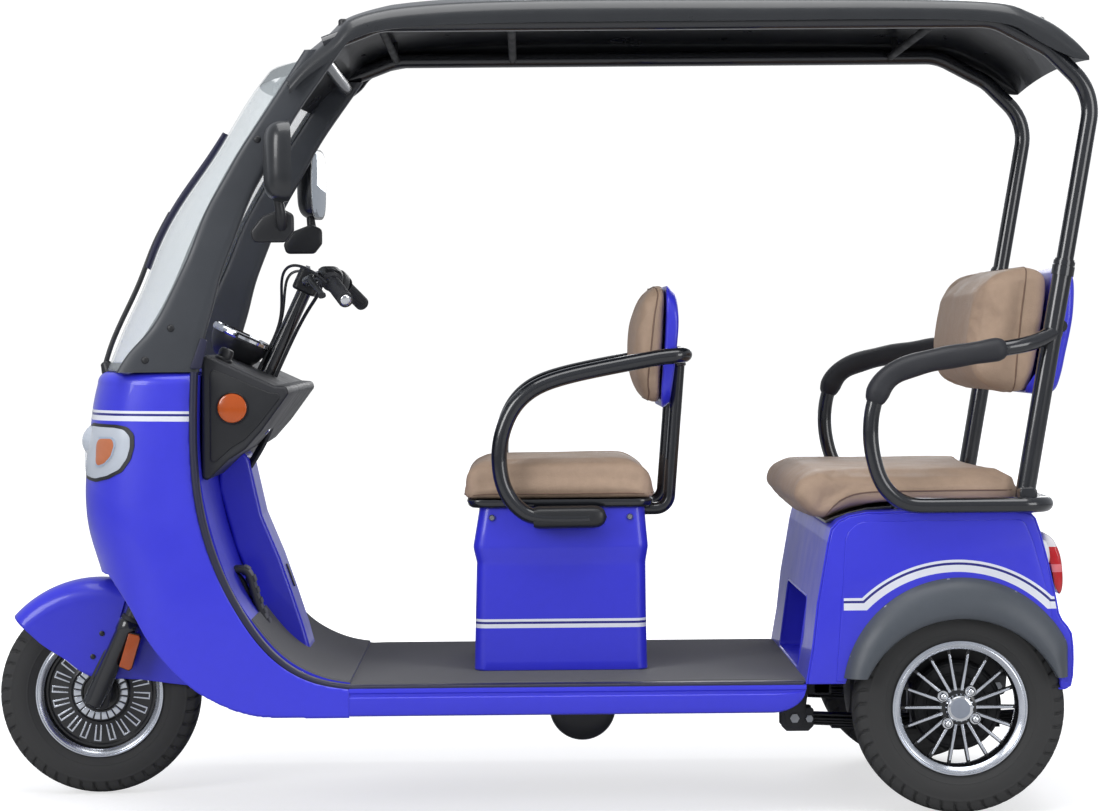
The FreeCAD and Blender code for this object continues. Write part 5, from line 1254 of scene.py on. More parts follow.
@dataclass
class Mudguard:
    """The painted front mudguard: a round-shouldered channel with deep side skirts."""

    radius: float = 252
    shoulder: float = 44
    half_front: float = 65
    half_rear: float = 58
    edge: tuple = ((-724, 235), (-775, 240), (-860, 251), (-934, 255), (-960, 260), (-985, 273),
                   (-1014, 296), (-1051, 319), (-1088, 348), (-1126, 383))

    def build(self) -> None:
        """Make the skin, its stay and its screws.

        At each angle the section runs from the crown over a superelliptic shoulder down the
        skirt to the side edge, where the ray from the hub meets it; it is then spread
        evenly by length and mirrored.
        """
        hub = np.array([FRONT_HUB[0], FRONT_HUB[2]]) * 1000
        line = smooth_curve(self.edge, 240) - hub
        at_angle = np.degrees(np.arctan2(line[:, 1], line[:, 0]))
        reach = np.hypot(line[:, 0], line[:, 1])
        theta = np.r_[np.linspace(4.6, 72.4, 34), np.linspace(73.4, 137.4, 52)]
        foot = np.interp(theta, at_angle, reach)
        phi = np.linspace(0, math.pi / 2, 40)
        rows = []
        for angle, low in zip(theta, foot):
            half = self.half_rear if angle < 73 else self.half_front
            y = half * np.sin(phi) ** (2 / 2.5)
            rho = self.radius - self.shoulder * (1 - np.cos(phi) ** (2 / 2.5))
            rho = rho - 1.5 * (73 > angle)
            down = np.linspace(rho[-1] - 2, min(rho[-1] - 3, low), 24)
            curve = np.column_stack([np.r_[y, np.full(24, half)], np.r_[rho, down]])
            cut = np.searchsorted(-curve[:, 1], -low)
            if cut < len(curve):
                last, this = curve[cut - 1], curve[cut]
                share = (last[1] - low) / max(last[1] - this[1], 1e-6)
                curve = np.vstack([curve[:cut], last + (this - last) * share])
            rows.append(resampled(curve, 26))
        sections = np.array(rows)
        sections = np.concatenate([sections[:, :0:-1] * (-1, 1), sections], axis=1)
        turn = np.radians(theta)[:, None]
        points = np.stack([hub[0] + sections[..., 1] * np.cos(turn), sections[..., 0],
                           hub[1] + sections[..., 1] * np.sin(turn)], -1) * MM
        skin = MAKE.grid("front_mudguard_skin", points, sharp=60)
        MAKE.thicken(skin, 0.003, -1 if faces_away(skin.data, FRONT_HUB) else 1)
        MAKE.place(skin, LACQUER, "body_paint", ["front_mudguard"], body=Body.STEERING)
        stay = MAKE.tube("mudguard_stay", steer([(-41, 0, 268), (-41, 0, 330)]), 0.012, sides=24)
        MAKE.place(stay, SATIN_BLACK, "frame_paint", body=Body.STEERING)
        screws = [MAKE.lathe("screw", [(0.4, 68.6), (4, 68.6), (5.6, 67.6), (5.8, 65), (0.4, 65)],
                             (x * MM, 0, z * MM), 24, way)
                  for x, z in ((-934, 352), (-954, 302)) for way in (1, -1)]
        MAKE.fit("mudguard_screws", screws, SATIN_BLACK, "dark_plastic", body=Body.STEERING)


@dataclass
class Handlebar:
    """The bar with its clamp, ribbed grips, perches, levers, switches and cables."""

    grip_length: float = 118

    def build(self) -> None:
        """Make the bar and what it carries."""
        bar = np.array([(0, 70, 1003), (36, 150, 1037), (108, 300, 1005)], float)
        route = np.vstack([bar[::-1] * (1, -1, 1), bar])
        path = rounded_path(steer(route), 0.060, steps=12)
        MAKE.place(MAKE.sweep("handlebar_tube", path, circle(32) * 0.0113, sharp=60), GLOSS_BLACK,
                   "frame_paint", ["handlebar"], body=Body.STEERING)
        self.clamp()
        grips, black, metal = [], [], []
        for way in (1, -1):
            outer, inner = bar[-1] * (1, way, 1), bar[-2] * (1, way, 1)
            along = unit(outer - inner)
            grips.append(self.grip(outer, along))
            black.append(self.perch(outer - along * (self.grip_length + 26), along))
            black.append(self.lever(outer, along))
            metal.append(self.bar_end(outer, along))
        MAKE.fit("handlebar_grip_ribs", grips, FOAM, "soft_black", ["handlebar_grips"],
                 body=Body.STEERING)
        MAKE.fit("lever_set", black, SATIN_BLACK, "dark_plastic", ["brake_levers"],
                 body=Body.STEERING)
        MAKE.fit("bar_ends", metal, CHROME, "bright_steel", body=Body.STEERING)
        self.cables(bar)

    def clamp(self) -> None:
        """Make the block that holds the bar on the stem."""
        block = MAKE.prism("bar_clamp", rounded_path(mm([(-27, -44), (27, -44), (27, 44),
                           (-27, 44)]), 0.012, True, 5), 0.978, 1.030, 0.006, axis="z")
        moved(block, STEER_MATRIX)
        MAKE.place(block, SATIN_BLACK, "frame_paint", body=Body.STEERING)
        heads = []
        for across, side in ((-15, -28), (15, -28), (-15, 28), (15, 28)):
            head = MAKE.lathe("head", [(0.3, 1035), (2.6, 1035), (2.6, 1032), (4.4, 1032),
                                       (4.8, 1030), (4.8, 1028), (0.3, 1028)],
                              (0, 0, 0), 20, axis="z")
            moved(head, Matrix.Translation((across / 1000, side / 1000, 0)))
            heads.append(moved(head, STEER_MATRIX))
        MAKE.fit("clamp_bolts", heads, STEEL, "bright_steel", body=Body.STEERING)

    def run(self, start: Array, along: Array, length: float, count: int) -> Array:
        """Give evenly spaced points from a place along a direction."""
        return steer(start + along * np.linspace(0, length, count)[:, None])

    def grip(self, outer: Array, along: Array) -> Piece:
        """Make one grip: radius 15.5 with rounded ribs 6 mm apart and a flange inboard.

        Args:
            outer: the bar's end, in (across, side, along) millimetres.
            along: unit direction of the bar toward its end.

        Returns:
            The new piece.
        """
        count = 160
        path = self.run(outer - along * self.grip_length, along, self.grip_length, count)
        t = np.linspace(0, 1, count)
        rib = 0.5 + 0.5 * np.cos(2 * math.pi * t * 19)
        radius = 15.2 + 1.1 * rib * ramp(t, 0.10, 0.14) * (1 - ramp(t, 0.93, 0.96))
        radius = radius + 6.5 * (1 - ramp(t, 0.02, 0.05)) + 1.0 * ramp(t, 0.95, 0.97)
        return MAKE.sweep("grip", path, circle(36) * MM, scale=radius, sharp=45)

    def perch(self, centre: Array, along: Array) -> Piece:
        """Make one switch and lever housing: a rounded block round the bar.

        Args:
            centre: its middle, in (across, side, along) millimetres.
            along: unit direction of the bar toward its end.

        Returns:
            The new piece.
        """
        count = 24
        path = self.run(centre - along * 22, along, 46, count)
        t = np.linspace(-1, 1, count)
        swell = 0.80 + 0.20 * (1 - np.abs(t) ** 4)
        outline = superellipse(0.025, 0.021, 3.2, 36) + (-0.004, 0)
        return MAKE.sweep("perch", path, outline, scale=swell, sharp=50)

    def lever(self, outer: Array, along: Array) -> Piece:
        """Make one brake lever: a flat tapered blade that curves ahead of the grip.

        Args:
            outer: the bar's end, in (across, side, along) millimetres.
            along: unit direction of the bar toward its end.

        Returns:
            The new piece.
        """
        start = outer - along * (self.grip_length + 20) + (-22, 0, -2)
        bends = ((26, -22, -4), (74, -30, -8), (124, -26, -8), (152, -32, -7))
        knots = [start] + [start + along * far + (ahead, 0, up) for far, ahead, up in bends]
        path = steer(smooth_curve(knots, 60))
        t = np.linspace(0, 1, 60)
        wide = 1.25 - 0.45 * t + 0.55 * ramp(t, 0.93, 0.98)
        return MAKE.sweep("lever", path, superellipse(0.0062, 0.0052, 2.6, 20),
                          scale=np.column_stack([wide, wide * 0.9]), sharp=50)

    def bar_end(self, outer: Array, along: Array) -> Piece:
        """Make one plug in the end of the bar.

        Args:
            outer: the bar's end, in (across, side, along) millimetres.
            along: unit direction of the bar toward its end.

        Returns:
            The new piece.
        """
        path = self.run(outer - along * 2, along, 7, 6)
        return MAKE.sweep("plug", path, circle(28) * 0.0125,
                          scale=np.array([1, 1, 1, 0.95, 0.8, 0.5]), sharp=40)

    def cables(self, bar: Array) -> None:
        """Run sheathed cables from both perches down to the stem.

        Args:
            bar: the handlebar's centreline on the right, in millimetres.
        """
        parts = []
        for way, lift in ((1, 0), (-1, 6)):
            mount = (bar[-1] * 0.58 + bar[-2] * 0.42) * (1, way, 1)
            knots = np.array([mount + (-24, 0, 2), mount + (-62, -26 * way, 4 + lift),
                              (-50, 64 * way, 985), (-22, 17 * way, 905), (-19, 8 * way, 820),
                              (-19, 8 * way, 640)])
            parts.append(MAKE.sweep("cable", steer(smooth_curve(knots, 90)), circle(14) * 0.0032,
                                    sharp=60))
        loop = np.array([(20, -120, 1040), (34, -96, 1012), (30, -60, 960), (22, -22, 900),
                         (20, -6, 800), (20, -6, 640)])
        parts.append(MAKE.sweep("cable", steer(smooth_curve(loop, 80)), circle(14) * 0.004,
                                sharp=60))
        MAKE.fit("control_cables", parts, FOAM, "soft_black", body=Body.STEERING)


def curve_of(shares: Sequence, x: float, z: float, across: float, up: float) -> Array:
    """Set a side curve's shares at their place, in millimetres, counted ahead and up."""
    table = np.array(shares, float)
    return np.column_stack([x - across * table[:, 0], z + up * table[:, 1]])


def ribbon(line: Array, wall: float, count: int = 0) -> Array:
    """Give a closed outline round an open curve: the curve and its offset by a wall.

    Args:
        line: the curve, shape (n, 2).
        wall: the offset to the curve's left.
        count: how many samples of the smooth curve to take, or 0 to keep the points.

    Returns:
        The outline.
    """
    path = smooth_curve(line, count) if count else line
    slope = unit(np.gradient(path, axis=0))
    aside = np.column_stack([-slope[:, 1], slope[:, 0]]) * wall
    return np.vstack([path, (path + aside)[::-1]])


@dataclass
class Cowl:
    """The painted front body, its lamps, trims and inner panels.

    A point of the skin is found from t, which runs along the plan curve from the door edge
    (0) to the nose (1), and the height z: ahead and out come from the plan curve, and
    both are scaled by the depth and the width that belong to z.
    """

    rear_x: float = -378
    reach: float = 589
    half: float = 430
    low_z: float = 211
    tall: float = 709
    nose: tuple = ((0, .80), (.24, .90), (.41, .945), (.54, .992), (.68, 1.0), (.80, .985),
                   (.91, .968), (1, .94))
    plan: tuple = ((0, 1), (.35, 1), (.62, .985), (.80, .945), (.895, .82), (.955, .52), (1, 0))
    width: tuple = ((0, 1), (.35, .995), (.7, .98), (1, .965))
    low_edge: tuple = ((1.05, .415), (.97, .415), (.85, .41), (.77, .324), (.71, .237),
                       (.634, .155), (.53, .077), (.46, .044), (.397, .022), (.32, .006),
                       (.24, .001), (.15, 0), (0, 0))
    door_edge: tuple = ((0, .082), (.104, .097), (.209, .135), (.295, .195), (.38, .291),
                        (.448, .398), (.499, .514), (.53, .631), (.541, .717), (.539, 1.0))

    def __post_init__(self) -> None:
        """Sample the curves once."""
        table = np.array(self.plan, float)
        mirrored = np.vstack([table, table[-2::-1] * (1, -1)])
        self.whole_plan = smooth_curve(mirrored, 801)[:401]
        self.nose_line = smooth_curve(self.nose, 200)
        self.width_line = smooth_curve(self.width, 200)

    def skin(self, t: Array, z: Array, side: int = -1) -> Array:
        """Give points of the skin.

        Args:
            t: place along the plan curve, 0 at the door edge and 1 at the nose.
            z: height in millimetres.
            side: -1 for the driver's left and 1 for the right.

        Returns:
            Points in millimetres, with a last axis of three.
        """
        h = (z - self.low_z) / self.tall
        depth = np.interp(h, *self.nose_line.T)
        wide = np.interp(h, *self.width_line.T)
        at_t = np.linspace(0, 1, len(self.whole_plan))
        ahead = np.interp(t, at_t, self.whole_plan[:, 0])
        out = np.interp(t, at_t, self.whole_plan[:, 1])
        return np.stack([self.rear_x - self.reach * depth * ahead, side * self.half * wide * out,
                         z + 0 * t], -1)

    def proud(self, t: Array, z: Array, lift: Array, side: int = -1) -> Array:
        """Give points lifted off the skin along its normal, by finite differences.

        Args:
            t: place along the plan curve.
            z: height in millimetres.
            lift: how far off the skin, in millimetres.
            side: -1 for the left and 1 for the right.

        Returns:
            Points in millimetres.
        """
        here = self.skin(t, z, side)
        along = self.skin(t + 2e-3, z, side) - self.skin(t - 2e-3, z, side)
        up = self.skin(t, z + 1.0, side) - self.skin(t, z - 1.0, side)
        normal = unit(np.cross(along, up)) * side
        return here + normal * np.asarray(lift)[..., None]

    def t_at(self, x: float, z: float) -> float:
        """Give the t where the skin has a given x at a height.

        Args:
            x: the place along the vehicle, in millimetres.
            z: the height in millimetres.

        Returns:
            The place along the plan curve.
        """
        t = np.linspace(0, 1, 801)
        xs = self.skin(t, np.full_like(t, z))[:, 0]
        return float(np.interp(-x, -xs, t))

    def build(self) -> None:
        """Make the whole front body."""
        self.shell()
        self.trims()
        self.panels()
        self.console()
        self.lamps()
        self.fixings()

    def shell(self) -> None:
        """Make the skin from the wheel opening's edge up over a rounded top.

        Each column's lowest point lies on the wheel opening's edge in side view. The top
        rolls over a quarter circle into a flat lid. Quads behind the door edge are left out.
        """
        low = np.array(self.low_edge[::-1], float)
        low = np.vstack([smooth_curve(low[:-2], 300), low[-2:]])
        columns = 236
        t = np.linspace(0, 1, columns)
        t = t + 0.12 * np.sin(2 * math.pi * t) / (2 * math.pi)
        fine = np.linspace(0, 1, 500)
        depth = np.interp(fine, *self.nose_line.T)
        ahead = np.interp(t, np.linspace(0, 1, 401), self.whole_plan[:, 0])
        side_a = ahead[:, None] * depth[None]
        above = fine[None] - np.interp(side_a, low[:, 0], low[:, 1])
        first = np.argmax(above >= 0, axis=1)
        start = self.low_z + self.tall * fine[first]
        roll, levels = 26.0, 110
        top = self.low_z + self.tall
        v = np.linspace(0, 1, levels)
        z = start[:, None] + (top - roll - start[:, None]) * v[None]
        wall = self.skin(np.repeat(t[:, None], levels, 1), z)
        rim = self.skin(t, np.full(columns, top - roll))
        middle = np.array([-600.0, 0.0])
        inward = unit(middle - rim[:, :2])
        phi = np.linspace(0, math.pi / 2, 10)[1:]
        rolled = [np.column_stack([rim[:, :2] + inward * roll * (1 - math.cos(p)),
                                   np.full(columns, top - roll + roll * math.sin(p))]) for p in phi]
        lid = [np.column_stack([rim[:, :2] + inward * roll
                                + (middle - rim[:, :2] - inward * roll) * k,
                                np.full(columns, top)]) for k in np.linspace(0, 0.97, 24)[1:]]
        rows = np.concatenate([wall, np.stack(rolled + lid, 1)], axis=1)
        both = np.concatenate([rows, rows[-2::-1] * (1, -1, 1)], axis=0)
        centre = (both[:-1, :-1] + both[1:, 1:]) / 2
        a = (self.rear_x - centre[..., 0]) / self.reach
        b = (centre[..., 2] - self.low_z) / self.tall
        door = np.array(self.door_edge, float)
        curve = smooth_curve(door, 300)
        limit = np.interp(b, curve[:, 1], curve[:, 0])
        keep = (a > limit) | (b < 0.083)
        shell = MAKE.grid("front_cowl_skin", self.fitted(both, keep, curve) * MM, keep=keep,
                          sharp=50)
        if not faces_away(shell.data, (-0.6, 0, 0.6)):
            shell.data.flip_normals()
        MAKE.thicken(shell, 0.0035)
        MAKE.place(shell, COWL_PAINT, "body_paint", ["front_cowl"])

    def fitted(self, points: Array, keep: Array, door: Array) -> Array:
        """Move the points on the rim of the kept quads onto the door edge in side view.

        Args:
            points: the grid in millimetres.
            keep: mask of the quads that stay.
            door: the door edge in shares.

        Returns:
            The grid with its rim moved.
        """
        wide = np.pad(keep, 1, mode="edge")
        near = np.stack([wide[:-1, :-1], wide[1:, :-1], wide[:-1, 1:], wide[1:, 1:]])
        rim = near.any(0) & ~near.all(0)
        a = (self.rear_x - points[..., 0]) / self.reach
        rim &= a < 0.56
        flat = points[rim][:, ::2]
        edge = np.column_stack([self.rear_x - self.reach * door[:, 0],
                                self.low_z + self.tall * door[:, 1]])
        edge = resampled(edge, 1600)
        nearest = np.linalg.norm(flat[:, None] - edge[None], axis=2).argmin(1)
        moved_rim = points[rim]
        moved_rim[:, ::2] = edge[nearest]
        out = points.copy()
        out[rim] = moved_rim
        return out

    def trims(self) -> None:
        """Run the soft edge strip down each door edge and along the deck."""
        line = curve_of([(a - 0.011, b) for a, b in self.door_edge[::-1]], self.rear_x, self.low_z,
                        self.reach, self.tall)
        line = np.vstack([smooth_curve(line, 120), [(-340, 270), (-200, 270), (552, 270)]])
        profile = superellipse(0.0145, 0.0080, 3.0, 24)
        parts = [MAKE.strip("trim", line, y, profile) for y in (-413, 413)]
        MAKE.fit("cowl_trim_strips", parts, NAVY, "dark_plastic", ["cowl_trim"])

    def panels(self) -> None:
        """Make the leg shield and the column cover with its slot."""
        shares = ((.515, .99), (.513, .70), (.494, .601), (.458, .486), (.397, .355), (.317, .254),
                  (.226, .172), (.139, .128), (.053, .104), (0, .097))
        line = curve_of(shares, self.rear_x, self.low_z, self.reach, self.tall)
        sheet = ribbon(line, -5, 90) * MM
        shield = MAKE.prism("leg_shield_panel", sheet, -0.4005, 0.4005, sharp=50)
        MAKE.place(shield, LACQUER, "body_paint", ["leg_shield"])
        self.front_mat(smooth_curve(line, 160))
        hump = ((.505, .78), (.398, .742), (.35, .56), (.287, .433), (.24, .32), (.199, .215),
                (.166, .112), (.22, .110), (.33, .23), (.45, .46), (.508, .64))
        line = curve_of(hump, self.rear_x, self.low_z, self.reach, self.tall)
        cover = MAKE.prism("column_cover_shell", rounded_path(line, 30, True, 6) * MM, -0.075,
                           0.075, 0.022)
        MAKE.place(cover, LACQUER, "body_paint", ["column_cover"])
        slot = rounded_rect(0.020, 0.052, 0.006, 5)
        part = MAKE.prism("column_slot", slot, 0, 0.0035, 0.001, axis="x")
        MAKE.place(moved(part, turned_at((-0.531, 0, 0.470), -19)), CONSOLE, "dark_plastic")

    def front_mat(self, line: Array) -> None:
        """Lay the ribbed mat from the deck up the foot of the leg shield.

        Its section is carried along the shield's line; the second axis is square to it.

        Args:
            line: the leg shield's face in side view, in millimetres.
        """
        foot = line[line[:, 0] > self.rear_x - 0.345 * self.reach][::-1]
        pitch, count = 14.0, 57
        rib = np.array([(3.2, 0), (4.2, 2.6), (9.8, 2.6), (10.8, 0)])
        ribs = np.vstack([rib + (pitch * (k - count / 2), 0) for k in range(count)])
        section = np.vstack([[(-400, -6), (-400, -1)], ribs, [(400, -1), (400, -6)]]) * MM
        foot = foot + (0, 1.8)
        side = 1 if foot[-1, 0] < foot[0, 0] else -1
        mat = MAKE.strip("front_mat_rubber", foot, 0, section * (1, -side), sharp=20)
        MAKE.place(mat, MAT, "floor_rubber")

    def console(self) -> None:
        """Make the angular dash console with its end faces, knobs and lock."""
        shares = ((.511, 1.030), (.500, 1.052), (.255, .958), (.213, .955), (.207, .935),
                  (.30, .83), (.36, .774), (.42, .742), (.513, .668))
        line = curve_of(shares, self.rear_x, self.low_z, self.reach, self.tall)
        outline = rounded_path(line, 9, True, 5) * MM
        body = MAKE.prism("dash_console_body", outline, -0.372, 0.372, 0.012, segments=4)
        MAKE.place(body, CONSOLE, "dark_plastic", ["dash_console"])
        inner = line.mean(axis=0) + (line - line.mean(axis=0)) * (0.80, 0.74)
        panels = [MAKE.prism("panel", rounded_path(inner, 8, True, 5) * MM, way * 0.370,
                             way * 0.3745, 0.0018) for way in (1, -1)]
        MAKE.fit("dash_end_panels", panels, SATIN_BLACK, "dark_plastic")
        knobs = []
        knob = [(0.4, 24), (9, 24), (13.5, 22), (15.5, 17), (15.5, 5), (19, 2), (19, -3), (0.4, -3)]
        for way in (1, -1):
            part = MAKE.lathe("knob", knob, (0, 0, 0), 40, axis="z")
            knobs.append(moved(part, turned_at((-0.640, way * 0.300, 0.945), 22)))
        MAKE.fit("dash_knobs", knobs, SATIN_BLACK, "dark_plastic")
        lock = [(0.4, 13), (4, 13), (4.6, 11.5), (9, 11.5), (11, 10), (11.5, 6), (15, 4), (15, -3),
                (0.4, -3)]
        part = MAKE.lathe("ignition_lock", lock, (0, 0, 0), 40, axis="z")
        moved(part, turned_at((-0.571, -0.150, 0.797), 118))
        MAKE.fit("dash_locks", [part], CHROME, "bright_steel")

    def patch(self, name: str, outline: Sequence, lift: float, crown: float, side: int,
              rings: int = 18, steps: int = 96, power: float = 4.0) -> Piece:
        """Lay a raised patch on the skin.

        The outline is given in (t, z); t is stretched to about millimetres while the corners
        are rounded. A point at share r from its middle to its rim is lifted by
        lift + crown * (1 - r^power); the rim goes down into the skin.

        Args:
            name: the piece's name.
            outline: (t, z) corners, rounded here.
            lift: height of the rim in millimetres.
            crown: further height in the middle in millimetres.
            side: -1 or 1.
            rings: rows from the middle to the rim.
            steps: columns round the rim.
            power: how flat the top is.

        Returns:
            The new piece.
        """
        stretch = 800
        corners = np.array(outline, float) * (stretch, 1)
        closed = rounded_path(corners, 16, True, 7)
        ring = resampled(np.vstack([closed, closed[:1]]), steps + 1)[:-1]
        centre = ring.mean(axis=0)
        share = np.sin(np.linspace(0.02, math.pi / 2, rings))[:, None]
        flat = centre + (ring[None] - centre) * share[..., None]
        height = np.broadcast_to(lift + crown * (1 - share ** power), (rings, steps))
        base = np.full((1, steps), -4.0)
        flat = np.concatenate([flat, flat[-1:]], 0)
        height = np.concatenate([height, base], 0)
        points = self.proud(flat[..., 0] / stretch, flat[..., 1], height, side) * MM
        middle = points[:1].mean(axis=1, keepdims=True)
        start = np.broadcast_to(middle, points[:1].shape)
        return MAKE.grid(name, np.concatenate([start, points], 0), close_v=True, sharp=50,
                         recalc=True)

    def lamps(self) -> None:
        """Make the wraparound headlamps: housing, amber quarter, bulb bowl, rim and lens."""
        spots = ((-908, 812), (-930, 792), (-936, 765), (-936, 724), (-926, 703), (-899, 698),
                 (-871, 705), (-843, 719), (-826, 743), (-819, 767), (-819, 791), (-832, 806),
                 (-854, 810))
        rim = [(self.t_at(x, z), z) for x, z in spots]
        centre = np.array(rim).mean(axis=0)
        look = {"rims": (SATIN_BLACK, "dark_plastic", []), "bowls": (BULB, "pod_chrome", []),
                "ambers": (PALE_AMBER, "amber_lens", []),
                "lenses": (LENS, "clear_lens", ["headlamps"]), "bezels": (BULB, "pod_chrome", []),
                "bulbs": (BULB, "pod_chrome", []), "domes": (LENS, "clear_lens", [])}
        groups: dict[str, list[Piece]] = {key: [] for key in look}
        for side in (-1, 1):
            wide = centre + (np.array(rim) - centre) * (1.05, 1.06)
            inner = centre + (np.array(rim) - centre) * (0.97, 0.94)
            groups["rims"].append(self.patch("rim", wide, 2.2, 0.4, side, power=8))
            groups["bowls"].append(self.patch("bowl", inner, 2.9, 0.2, side, power=8))
            groups["lenses"].append(self.patch("lens", inner, 3.6, 5.2, side, power=3))
            corner = [(-892, 783), (-856, 784), (-853, 770), (-860, 748), (-874, 733), (-893, 726)]
            quarter = np.array([(self.t_at(x, z), z) for x, z in corner])
            groups["ambers"].append(self.patch("amber", quarter, 8.4, 1.2, side, 8, 60))
            bezel = quarter.mean(0) + (quarter - quarter.mean(0)) * 1.16
            groups["bezels"].append(self.patch("bezel", bezel, 7.8, 0.7, side, 8, 60))
            where = self.t_at(-917, 780)
            for key, size, crown in (("bulbs", 0.96, 13.5), ("domes", 1.0, 15.0)):
                round_edge = [(where + size * 0.040 * math.cos(a), 779 + size * 31 * math.sin(a))
                              for a in np.linspace(0, 2 * math.pi, 14, endpoint=False)]
                groups[key].append(self.patch(key, round_edge, 4.6, crown, side, 14, 60, 2.2))
        for key, parts in groups.items():
            finish, slot, old = look[key]
            MAKE.fit(f"headlamp_{key}", parts, finish, slot, old)

    def fixings(self) -> None:
        """Make the side reflectors, the instrument pod, the pedal and the wiring hose."""
        ambers, trays = [], []
        for way in (1, -1):
            face = [(0.4, 380), (26, 380), (29.5, 378.4), (31, 375), (31, 372), (0.4, 372)]
            tray = [(30, 371), (33.5, 371), (33.5, 377), (31.8, 379), (30, 377)]
            ambers.append(MAKE.lathe("amber", face, (-0.616, 0, 0.845), 56, way))
            trays.append(MAKE.lathe("tray", tray, (-0.616, 0, 0.845), 56, way))
        MAKE.fit("side_reflector_faces", ambers, AMBER, "amber_lens", ["side_reflectors"])
        MAKE.fit("side_reflector_rims", trays, SATIN_BLACK, "dark_plastic")
        self.pod()
        self.pedal()
        hose = np.array([(-560, -48, 812), (-572, -50, 782), (-605, -52, 722), (-652, -52, 655),
                         (-700, -50, 596), (-730, -40, 570)]) * MM
        line = smooth_curve(hose, 90)
        aside = np.array([0, 0.011, 0.006])
        parts = [MAKE.sweep("hose", line + aside * k, circle(18) * r, sharp=60)
                 for k, r in ((0, 0.0075), (1.2, 0.0052), (-1.1, 0.0046))]
        MAKE.fit("wiring_hoses", parts, FOAM, "soft_black")

    def pod(self) -> None:
        """Make the round instrument pod: cup, chrome rim, dial, glass and marks."""
        turn = Matrix.Translation((-0.653, 0, 0.945)) @ Matrix.Rotation(RAKE, 4, "Y")
        rings = {
            "instrument_cup": (SATIN_BLACK, "dark_plastic", [
                (0.4, -4), (38, -4), (46, 2), (56, 16), (62.5, 34), (64, 44), (64, 52), (60, 52),
                (0.4, 50)]),
            "instrument_rim": (CHROME, "pod_chrome", [
                (57, 50), (60, 50), (65.5, 46), (67.5, 50), (67, 56), (64, 60), (60, 60.5),
                (57, 57)]),
            "instrument_dial": (DIAL, "dark_plastic", [
                (0.4, 51), (57.5, 51), (57.5, 54), (0.4, 54)]),
            "instrument_glass": (LENS, "clear_lens", [
                (0.4, 59), (30, 58.6), (57.5, 57), (57.5, 55.8), (30, 57), (0.4, 57.4)])}
        for name, (finish, slot, profile) in rings.items():
            part = moved(MAKE.lathe(name, profile, (0, 0, 0), 96, axis="z"), turn)
            MAKE.place(part, finish, slot, ["instrument_pod"] if name == "instrument_cup" else [])
        mark = MAKE.prism("mark", mm([(44, -1.1), (53, -1.1), (53, 1.1), (44, 1.1)]), 0.0539,
                          0.0546, axis="z")
        spread = np.radians(np.linspace(-125, 125, 21))
        ticks = MAKE.copies("ticks", mark, [turn @ Matrix.Rotation(a, 4, "Z") for a in spread])
        needle = MAKE.prism("needle", mm([(-10, -1.6), (46, -0.6), (46, 0.6), (-10, 1.6)]), 0.0546,
                            0.0556, axis="z")
        moved(needle, turn @ Matrix.Rotation(math.radians(-105), 4, "Z"))
        MAKE.fit("instrument_marks", [ticks, needle], WHITE_LENS, "clear_lens")

    def pedal(self) -> None:
        """Make the foot pedal: a bent lever with a ribbed pad."""
        line = smooth_curve([(-655, 500), (-630, 490), (-600, 430), (-585, 380), (-572, 360)], 50)
        arm = MAKE.strip("arm", line, -200, superellipse(0.010, 0.006, 3, 20))
        pad_line = (4, 2) + smooth_curve([(-642, 497), (-612, 495), (-597, 462), (-578, 405),
                                          (-560, 362)], 60)
        pad = MAKE.strip("pad", pad_line, -200, superellipse(0.031, 0.0075, 4, 28))
        ribs = [MAKE.strip("rib", pad_line[k:k + 5], -200, superellipse(0.027, 0.0105, 4, 24))
                for k in range(8, 52, 8)]
        MAKE.fit("brake_pedal_pad", [arm, pad] + ribs, FOAM, "frame_paint", ["brake_pedal"])


PILLAR_FRONT = ((1, 0), (.95, .05), (.836, .128), (.76, .204), (.698, .281), (.645, .35),
                (.56, .48), (.469, .58), (.405, .649), (.317, .732), (.176, .863), (.069, .965))
PILLAR_REAR = ((.60, 0), (.571, .103), (.531, .188), (.493, .279), (.436, .375), (.39, .447),
               (.333, .53), (.226, .646), (.138, .744), (.012, .859), (-.112, .965))


